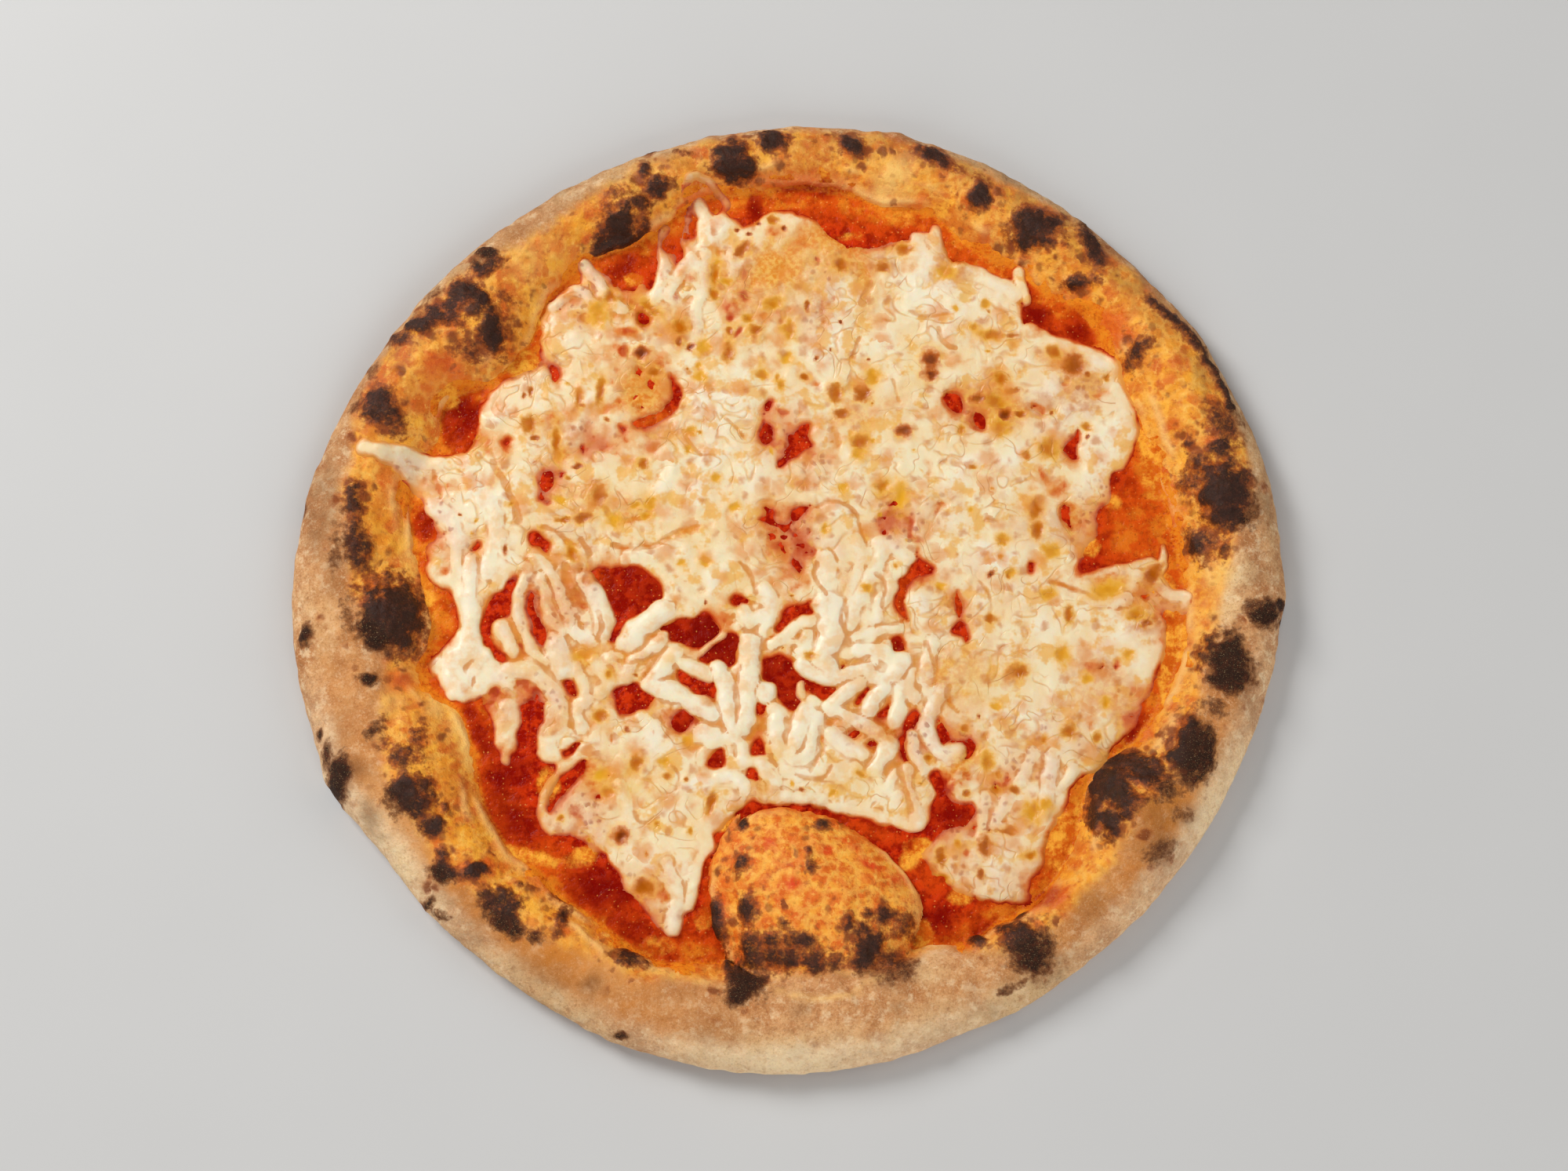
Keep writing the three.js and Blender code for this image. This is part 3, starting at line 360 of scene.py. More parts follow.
# shapes of bare sauce inside the sheet, drawn point by point
BARE = [
    [(-68,6.5),(-65,7.5),(-60,6),(-55,6.5),(-49,7),(-45,4),(-42,1),(-39,-3),(-43,-5.5),(-46,-7.5),(-50,-9),(-52,-12),
     (-53,-15.5),(-55.5,-18.5),(-59,-17.5),(-57,-13.5),(-56.5,-9.5),(-58,-5),(-60,-1),(-63,2)],
    [(-41.5,-12),(-38,-10),(-31,-9.5),(-26.5,-7.5),(-24.5,-11),(-21.5,-14.5),(-26,-18),(-29,-20.5),(-33,-21),
     (-37,-19.5),(-39.5,-16),(-42,-17.5),(-43.5,-18),(-43,-14.5)],
    [(-20,-15),(-18,-15),(-15,-18),(-17,-21),(-17.5,-25),(-19,-26.5),(-21,-25),(-24,-23.5),(-27,-25),(-29,-23.5),
     (-30.5,-22),(-26,-19.5),(-23,-17)],
    [(-35.5,-26.5),(-34,-26.5),(-31,-29),(-28,-30.5),(-25,-30),(-22,-31.5),(-23.5,-35),(-24.5,-39.5),(-26,-38),
     (-29,-35),(-32,-32.5),(-35,-32),(-36,-29)],
    [(-57,-33.5),(-54,-31),(-50,-31),(-47,-33),(-43,-35.5),(-44.5,-39),(-49,-40.5),(-54,-42),(-55,-41),(-56,-37)],
    [(-37,-42),(-35,-40),(-32,-40),(-30,-43),(-32,-45),(-34,-47.5),(-36,-47.5),(-38,-46),(-37.5,-43.5)],
    [(-20,-50),(-21.5,-51),(-24,-53.5),(-27,-57.5),(-25,-59),(-22,-58.5),(-19.5,-58),(-19,-54)],
    [(-9.5,-49),(-8,-52),(-7,-54),(-9,-54.5),(-11,-55),(-11.5,-59),(-10,-61),(-10,-65),(-12,-66.5),(-13.5,-63),
     (-14.5,-61),(-12.5,-58),(-12,-52),(-11,-50)],
    [(-8.3,-24),(-5,-23),(-3,-21.5),(-0.5,-23.5),(3,-26.5),(6,-30),(9,-31.5),(13,-33),(16,-32.5),(15,-35),(11,-37),
     (8,-36),(7.5,-33.5),(5,-34),(4,-37),(5,-39.5),(3,-41),(0.5,-39.5),(-2,-38),(-4,-35.5),(-4.5,-33),(-5.5,-31.5),(-8,-31)],
    [(-10.5,-37.5),(-8,-37.5),(-5.5,-39),(-8,-41.5),(-11,-42),(-11.5,-39)],
    [(-19,-4),(-17.5,-2),(-16,-0.5),(-14.5,-1.5),(-12,-3.5),(-10.5,-4),(-12,-4.8),(-15,-6),(-18.5,-5.5)],
    [(9,-4),(6,-6),(0,-6.3),(-2,-8),(-5,-13),(-5.5,-15.5),(-3,-14.5),(0,-11.5),(3,-9),(6,-9),(9,-11),(10.5,-12),(9,-8)],
    [(6.5,-15),(5,-17),(4,-20),(6,-19),(8,-16)], [(14.5,-27.5),(17,-25.5),(19.5,-26),(17,-28)],
    [(25.5,-32.5),(23,-35),(21,-38),(22.8,-38),(25,-35),(26.8,-33)],
    [(32.5,-37.5),(30.5,-40),(28,-42),(30,-42.5),(32.5,-42.5),(33,-40)],
    [(42,-39.5),(39,-41),(36.5,-45),(37,-48),(34.5,-49),(35.5,-53),(36.5,-57),(39,-58.5),(37,-53),(37.5,-49),
     (39,-48),(40.5,-46),(41,-42)],
    [(21,-46),(23.5,-47.5),(21,-49.5),(18,-50),(18.5,-48)], [(24.5,-51.5),(26,-49.5),(30,-49.3),(34,-49.4),(31,-51),(27,-52.3)],
    [(35,-15.5),(32.5,-17.5),(33.5,-21),(35,-22.5),(37.5,-21.5),(37,-17)],
    [(42,13),(41,10.5),(43.5,8.8),(48,6),(46,4.5),(42,4),(39,2),(37.5,-2),(37,-6),(39,-11.5),(36,-8.5),(34,-4),
     (34.5,0),(36,3.5),(38,6),(41,8.2),(40.8,11)],
    [(54.5,-1),(53.5,-4),(54,-9),(53,-13),(50.5,-11),(51,-13),(53,-15.5),(55,-18),(58.5,-18),(57,-12),(56,-8),(56,-4)],
    [(48.5,-43.5),(47,-47),(47.5,-50),(50,-51.7),(53,-51.3),(57,-51.6),(57,-54),(56,-57),(59,-55),(60.3,-51.3),
     (57,-50),(52,-50),(51.5,-48),(50,-45)],
    [(45,-61),(47,-60),(50,-60.5),(49.5,-65),(50,-68),(45,-68),(46,-64.5)],
    [(-105,13),(-103,15.6),(-100.5,15.5),(-100,13.5),(-102.5,11.5)],
    [(-85.5,17.5),(-83,18.5),(-79.5,18),(-77.5,15),(-78.5,11.5),(-80,12),(-81,14),(-84,13.5)],
    [(-93,0),(-91.5,3),(-88,2.5),(-86.5,5.5),(-85,4.5),(-88,0.5),(-89.5,-4),(-90,-8),(-92,-10),(-96,-12),(-97,-15),
     (-95.5,-19),(-93,-21.5),(-90.5,-23.5),(-93,-25),(-96,-22.5),(-99,-18),(-100.5,-14),(-99,-10),(-98,-5.5),(-96,-3)],
    [(-84,-1.5),(-82.5,-2),(-83,-5),(-81,-10),(-79,-13),(-78,-17),(-79.5,-19.7),(-82,-17),(-83,-12),(-85.5,-6)],
    [(-71.5,-29),(-70,-30),(-69,-33),(-68,-36),(-70,-35.5),(-73,-31.5)],
    [(-68,-52),(-65.5,-56),(-67,-60),(-71,-65),(-76,-71),(-76.5,-68),(-72,-62),(-69,-57)],
    [(-10,61),(-8,62.5),(-4.5,62.5),(-6,60),(-7,57),(-6,54),(-5,51),(-6,48.5),(-7.5,47.2),(-9.7,49.5),(-10,51),
     (-8.5,54),(-8.5,58)],
    [(-1,51),(1.5,51),(3,53),(6,55.3),(7,54),(6,50),(7.8,47),(5,46),(2,43.5),(-1,41.5),(-3,39.3),(-5,41),(-3,42.5),
     (-0.5,44),(0.5,47)],
    [(-39,71),(-37,68),(-35,65),(-35.5,61),(-38,58.5),(-41,56),(-44,54),(-49,53),(-52,54),(-50,56),(-45,57.5),
     (-41,59),(-38.5,61.5),(-38,65)],
    [(-55.5,54),(-53.5,51),(-53,48.3),(-51.8,50),(-53,53)],
    [(-10,22.5),(-7,24.5),(-9,27.3),(-7,27.3),(-5,26),(-5.5,23),(-3.5,21),(-1,20.5),(1,22),(1,25),(3,27),(7,27.7),
     (6,25.3),(3.5,24),(1,21.5),(-0.5,18.5),(-2,18),(-3,20),(-5,20.5),(-8,21.5)],
    [(0.5,9.7),(2,9.5),(4.2,7),(4,4.4),(2.3,5.8),(0.8,7.8)], [(6.2,18.5),(7.3,19),(7.2,15.5),(6.4,15.8)],
    [(50,65),(53,64.6),(56,64.3),(57,61),(56.5,58),(54,58.5),(52,61.5),(50.5,63)],
    [(60.5,59),(63,58),(65,55),(64,52),(61.5,53.5),(60,56)],
    [(94.8,52.5),(93,50),(91,48),(89.3,46),(91,43.3),(94,42.4),(96,44),(94.6,47),(95.2,50)],
    [(89.5,27.5),(91,26),(91.5,22),(92.5,19.5),(91,20),(88.5,23),(88,26)],
    [(-118,27),(-115,23.5),(-116,20),(-113.5,18),(-115,16.2),(-119,16),(-121,19),(-118.5,22.5),(-121,27)],
]
BLOBS = [
    (59.0,95.3,17.1,9.1,-8,1.3), (39.7,104.7,8.1,8.6,0,0.9), (51.5,112.7,5.0,10.1,0,0.8),
    (105.4,49.0,10.1,11.1,0,1.3), (-72.5,82.8,7.1,10.1,20,1.1), (-102.4,28.0,9.6,11.1,10,1.2),
    (-103.7,-26.2,8.6,11.1,0,1.3), (-26.0,62.1,11.6,20.1,-10,1.0), (-27.1,12.4,11.6,6.5,0,0.9),
    (20.3,98.0,8.6,7.1,0,1.0), (59.7,35.9,11.6,9.1,0,0.7), (-78.7,66.1,10.1,5.5,0,0.9),
    (8.7,80.7,9.1,6.5,0,0.7), (31.8,80.7,7.6,6.5,0,0.6), (-14.5,91.3,6.0,12.6,-20,0.7),
    (-40.4,99.3,6.0,10.1,-10,0.7), (-58.3,80.7,6.5,6.5,0,0.5), (-88.8,54.2,9.1,10.1,0,0.8),
    (-114.2,41.1,15.1,4.0,5,0.9), (-132.1,43.7,7.1,3.0,-10,0.8), (-93.6,35.9,9.1,7.6,0,0.8),
    (-93.2,12.4,7.6,10.1,0,0.7), (77.8,49.0,10.1,7.6,0,0.6), (75.0,38.5,10.1,6.0,0,0.7),
    (98.1,38.5,5.0,4.0,0,0.8), (84.8,7.3,9.1,6.5,0,0.5), (71.8,-13.4,12.6,10.1,0,0.6),
    (99.7,-10.8,10.1,7.6,0,0.8), (109.6,-21.1,7.6,6.5,0,0.7), (81.5,-38.9,12.6,10.1,0,0.5),
    (61.4,-33.8,11.1,8.6,0,0.5), (68.7,-54.2,10.1,10.1,0,0.5), (80.9,-79.4,5.0,12.6,-10,0.7),
    (65.8,-89.4,12.6,7.6,0,0.7), (50.8,-86.9,7.6,5.5,0,0.6), (13.4,-64.3,20.1,6.5,0,0.9),
    (30.9,-69.3,9.1,6.5,0,0.9), (-1.6,-51.6,6.5,10.1,0,0.8), (-44.4,-49.1,11.1,7.6,0,0.8),
    (-31.7,-66.8,12.6,10.1,0,0.5), (-51.7,-74.3,7.6,9.1,0,0.7), (-36.6,-84.4,9.1,10.1,0,0.7),
    (-36.5,-104.3,5.0,8.6,-15,0.8), (-62.1,-38.9,6.5,5.0,0,0.6), (-77.8,2.1,7.6,7.6,0,0.4),
    (23.7,-8.2,9.1,12.6,10,0.8), (13.6,4.7,4.5,15.1,0,0.9), (-1.6,-13.4,5.0,3.0,30,0.4),
    (44.3,28.0,6.5,5.5,0,0.3), (23.9,38.5,11.6,9.1,0,0.5), (-11.9,35.9,9.1,7.6,0,0.6),
    (-37.4,28.0,10.1,7.6,0,0.5), (-57.8,28.0,8.6,6.5,0,0.4), (-65.5,38.5,7.6,5.0,0,0.5),
    (-1.6,64.8,7.6,7.6,0,0.5), (39.3,49.0,10.1,7.6,0,0.5), (59.4,12.4,10.1,7.6,0,0.5),
    (46.3,-28.7,10.1,6.0,0,0.6), (-10.7,118.1,7.6,7.6,0,0.5), (1.0,123.5,7.6,4.5,0,0.7),
    (-26.3,118.1,5.0,10.1,0,0.8), (-32.8,128.9,3.0,7.6,0,0.6), (97.4,72.7,6.5,6.0,0,0.8),
    (88.2,64.8,7.6,5.0,0,0.6), (-68.4,64.8,7.6,5.0,0,0.6),
]
STRANDS = [
    [[[-36.5,129.5],[-35.2,134.0],[-31.5,137.6],[-27.0,135.8],[-22.8,132.4],[-20.6,129.0]],1.7,1.1],
    [[[-42.0,111.0],[-43.6,116.0],[-41.5,120.5]],1.9,1.1],
    [[[-29.5,129.0],[-28.5,123.0],[-28.0,117.0]],2.2,0.8],
    [[[-12.5,-18.5],[-12.5,-25.0],[-13.5,-31.0],[-13.2,-38.0],[-15.5,-46.0]],3.2,1.9],
    [[[-20.6,-31.5],[-20.0,-37.0],[-19.0,-43.5],[-17.5,-48.0]],3.0,1.8],
    [[[-8.0,-34.6],[-7.6,-34.7]],3.3,1.9],
    [[[-23.0,-26.5],[-22.5,-28.5]],2.6,1.8],
    [[[-40.5,-7.5],[-45.0,-11.0],[-49.5,-15.0],[-52.0,-18.0]],3.7,1.9],
    [[[-40.5,-16.5],[-45.5,-21.0],[-50.5,-24.0],[-53.0,-28.5]],2.4,1.5],
    [[[-37.0,-21.5],[-40.0,-26.0],[-45.0,-31.0]],2.9,1.6],
    [[[-44.0,-31.5],[-38.0,-34.5],[-31.0,-37.5],[-24.5,-42.0]],3.2,1.8],
    [[[-34.5,-24.5],[-30.0,-26.5],[-26.5,-29.0]],2.3,1.3],
    [[[-21.5,-15.5],[-25.0,-18.5],[-29.0,-22.0]],1.1,0.8],
    [[[12.0,8.0],[11.5,0.0],[12.0,-6.0],[14.5,-12.0]],3.6,1.2],
    [[[12.5,-6.0],[14.0,-12.0],[13.0,-18.0],[10.5,-22.0],[12.5,-26.5]],4.6,2.0],
    [[[6.0,-16.0],[4.5,-21.0],[5.0,-25.5]],3.0,1.3],
    [[[-5.5,-18.5],[-1.0,-15.5],[4.0,-11.5],[7.5,-11.0]],2.2,1.2],
    [[[-3.0,-18.0],[3.5,-18.0]],1.6,0.9],
    [[[4.0,-25.5],[9.0,-29.0],[15.0,-30.0],[20.0,-28.0],[25.5,-27.0]],2.6,1.8],
    [[[24.0,-27.5],[29.0,-31.0],[34.0,-28.5],[36.5,-25.0]],2.6,1.7],
    [[[33.5,-29.0],[35.5,-25.5]],3.6,1.9],
    [[[31.5,-31.5],[28.5,-36.0],[25.5,-40.0]],2.7,1.7],
    [[[22.5,-30.5],[18.0,-34.5],[14.0,-39.0]],2.6,1.7],
    [[[13.0,-39.5],[18.5,-41.5],[24.0,-45.0],[29.0,-48.0]],2.3,1.5],
    [[[20.0,-17.5],[27.0,-14.5],[35.0,-13.0]],1.9,1.2],
    [[[22.0,-20.5],[28.0,-20.5],[33.0,-24.0]],2.8,1.5],
    [[[36.5,-32.0],[35.0,-38.0],[33.8,-43.5]],2.8,1.5],
    [[[40.5,-36.5],[37.5,-33.0],[39.0,-28.0]],2.6,1.3],
    [[[5.5,-41.5],[3.0,-48.0],[0.5,-54.0]],3.6,1.7],
    [[[-4.0,-43.0],[-4.0,-50.0],[0.0,-56.5],[5.0,-56.0],[7.5,-49.0],[8.5,-43.0]],2.8,1.6],
    [[[3.5,-31.5],[3.8,-35.5]],1.6,0.9],
    [[[8.0,-37.0],[5.0,-41.0]],2.2,1.1],
    [[[-5.5,-39.5],[-3.0,-41.5]],2.4,1.2],
    [[[46.0,-18.5],[45.5,-22.5],[44.0,-27.0]],2.6,1.5],
    [[[39.2,-48.5],[40.0,-53.0],[43.0,-58.5]],1.9,1.3],
    [[[50.0,-34.0],[46.5,-38.5],[44.5,-44.0],[45.0,-50.0],[48.5,-55.0],[54.5,-54.0]],2.6,1.6],
    [[[31.5,-51.0],[30.5,-55.0],[27.5,-59.0]],3.2,1.5],
    [[[37.5,-59.5],[34.0,-61.5],[31.0,-66.0]],2.4,1.3],
    [[[14.0,-48.0],[19.0,-53.0],[23.0,-55.0]],3.0,1.3],
    [[[58.0,-58.0],[53.0,-62.0],[54.5,-67.5]],1.8,1.1],
    [[[-20.5,-48.5],[-15.5,-50.0],[-15.0,-57.0]],2.2,1.3],
    [[[-28.5,-47.5],[-24.0,-48.5]],3.4,1.4],
    [[[-8.5,-57.0],[-7.0,-62.0],[-4.5,-67.0]],2.2,1.4],
    [[[-22.0,-61.5],[-17.0,-61.0],[-14.0,-66.0]],2.3,1.3],
    [[[-14.5,-9.5],[-12.0,-11.0],[-8.5,-9.5]],3.4,1.4],
    [[[-8.0,-1.0],[-6.0,-7.0],[-7.5,-14.0]],2.8,1.3],
    [[[-101.0,-33.5],[-96.0,-29.5],[-90.0,-27.0],[-83.5,-27.5],[-77.5,-32.0],[-73.8,-39.0],[-73.5,-46.0]],2.9,1.3],
    [[[-77.0,-48.5],[-76.5,-53.5]],4.0,1.3],
    [[[-91.0,-39.0],[-91.0,-46.0],[-91.0,-50.0]],3.2,1.2],
    [[[-91.0,-49.0],[-91.0,-56.5]],1.6,1.0],
    [[[-68.5,-55.0],[-73.0,-59.0],[-78.5,-66.0],[-79.5,-71.5],[-77.5,-77.5]],2.1,1.3],
    [[[-67.1,-45.4],[-68.4,-40.3],[-64.7,-36.5]],2.2,1.3],
    [[[-83.0,7.5],[-87.2,0.0],[-88.2,-8.0],[-85.6,-15.0],[-83.0,-20.5],[-78.0,-24.5]],2.0,1.2],
    [[[-80.5,3.5],[-79.0,-2.0],[-77.5,-9.0],[-73.5,-15.0]],2.6,1.1],
    [[[-93.5,-13.0],[-91.3,-16.5],[-89.3,-20.5]],2.5,1.2],
    [[[-66.0,3.0],[-62.5,-3.0],[-60.0,-9.0],[-60.5,-14.5]],3.3,1.5],
    [[[-75.0,-19.0],[-73.5,-26.5]],4.2,1.8],
    [[[-83.0,9.0],[-77.5,6.0],[-75.0,0.0],[-72.0,-8.0]],2.0,1.2],
    [[[-69.0,-26.0],[-66.0,-32.0],[-65.5,-38.0]],2.0,1.3],
    [[[-62.5,-24.5],[-57.5,-30.5],[-61.0,-35.0]],2.4,1.2],
    [[[-57.5,-23.0],[-54.5,-27.5]],2.2,1.1],
    [[[-103.0,9.0],[-103.5,0.0],[-103.0,-8.0],[-103.0,-16.0]],3.1,1.6],
    [[[-108.0,12.0],[-107.0,3.0],[-105.5,-6.0]],2.2,1.1],
    [[[-104.0,-20.0],[-108.0,-26.0],[-106.0,-32.0]],5.0,1.9],
    [[[-96.0,-26.0],[-101.0,-26.5]],3.0,1.3],
    [[[-115.0,26.0],[-109.0,22.0],[-108.0,15.0]],3.4,1.5],
    [[[-98.0,30.0],[-95.0,22.0],[-96.0,13.0],[-98.0,5.0]],3.2,1.4],
    [[[-89.5,16.5],[-93.5,11.0],[-94.0,5.0]],3.2,1.1],
    [[[-67.6,108.6],[-62.4,100.5],[-55.3,93.3]],2.0,1.3],
    [[[-77.5,94.4],[-70.1,101.3],[-63.6,93.8],[-60.9,89.8]],2.0,1.3],
    [[[75.9,106.4],[76.7,101.9],[78.9,95.2]],1.7,1.4],
    [[[75.9,106.4],[76.2,106.1]],2.3,1.5],
    [[[-138.5,44.1],[-129.5,43.1],[-114.1,41.0]],2.2,1.0],
    [[[-137.2,46.2],[-139.2,43.6]],1.8,1.2],
    [[[22.5,14.9],[23.5,9.0],[21.2,2.0],[17.4,-5.7]],2.6,1.0],
    [[[30.5,12.0],[27.0,5.0],[22.0,-4.5],[20.0,-12.5]],3.0,1.2],
    [[[28.9,14.9],[34.5,12.9],[39.0,9.5]],2.4,1.2],
    [[[33.0,0.0],[29.5,-5.0],[27.5,-11.0]],2.8,1.2],
    [[[-97.7,-22.4],[-105.1,-31.4],[-108.8,-35.2]],2.5,1.5],
    [[[62.5,-68.0],[61.5,-76.9],[61.8,-86.9]],1.8,1.0],
    [[[84.0,-55.0],[83.0,-64.3],[81.2,-74.4]],2.6,1.5],
    [[[78.8,-54.2],[73.6,-64.3]],2.2,1.1],
    [[[71.1,-66.8],[65.9,-76.9]],2.2,1.1],
    [[[91.2,-59.3],[86.1,-66.8]],1.8,1.1],
    [[[96.0,3.0],[104.0,6.3],[112.0,7.8],[118.0,9.0]],1.6,0.9],
    [[[121.5,14.0],[122.0,9.5],[121.5,5.5]],1.7,1.2],
    [[[129.2,-3.0],[124.0,-2.5],[118.0,2.0],[112.5,4.0]],1.8,1.1],
    [[[129.0,-8.0],[128.0,-4.0]],1.4,1.0],
    [[[96.0,-2.5],[103.0,-5.5],[110.0,-4.0]],2.0,1.1],
    [[[107.0,66.0],[109.3,60.7],[110.7,54.7]],2.0,1.0],
    [[[85.9,82.0],[96.2,78.2],[104.4,74.2]],2.2,1.2],
    [[[56.6,107.0],[65.6,103.5],[74.0,97.8]],3.2,1.5],
    [[[48.9,120.6],[48.9,115.3],[50.7,109.9]],2.5,1.3],
    [[[42.4,117.5],[44.9,107.2]],2.3,1.2],
    [[[-32.7,109.9],[-37.8,101.9],[-39.2,97.5]],2.4,1.3],
    [[[-28.0,112.0],[-27.5,102.0],[-31.0,92.0],[-30.0,86.0]],2.3,1.1],
    [[[-19.0,112.6],[-18.5,105.5]],1.8,1.2],
    [[[-41.0,108.0],[-41.5,102.0],[-43.5,98.0]],2.2,1.2],
    [[[-1.6,-60.0],[13.4,-61.8],[21.5,-59.0]],2.7,1.3],
    [[[36.0,-60.5],[39.7,-69.4],[41.4,-77.1]],2.4,1.4],
    [[[-9.2,-66.8],[-1.6,-68.0],[10.9,-68.9]],2.0,1.3],
    [[[13.4,-70.9],[25.9,-73.4],[38.6,-77.9]],1.8,1.2],
    [[[-54.3,-64.3],[-51.7,-74.4],[-52.1,-84.4]],2.0,1.1],
    [[[-26.4,-84.4],[-30.1,-94.4],[-31.8,-102.9]],1.9,1.4],
    [[[-39.1,-89.4],[-35.0,-99.4],[-37.4,-110.5]],2.6,1.4],
    [[[-65.5,-71.9],[-61.7,-79.4],[-56.1,-83.7]],2.0,1.0],
]
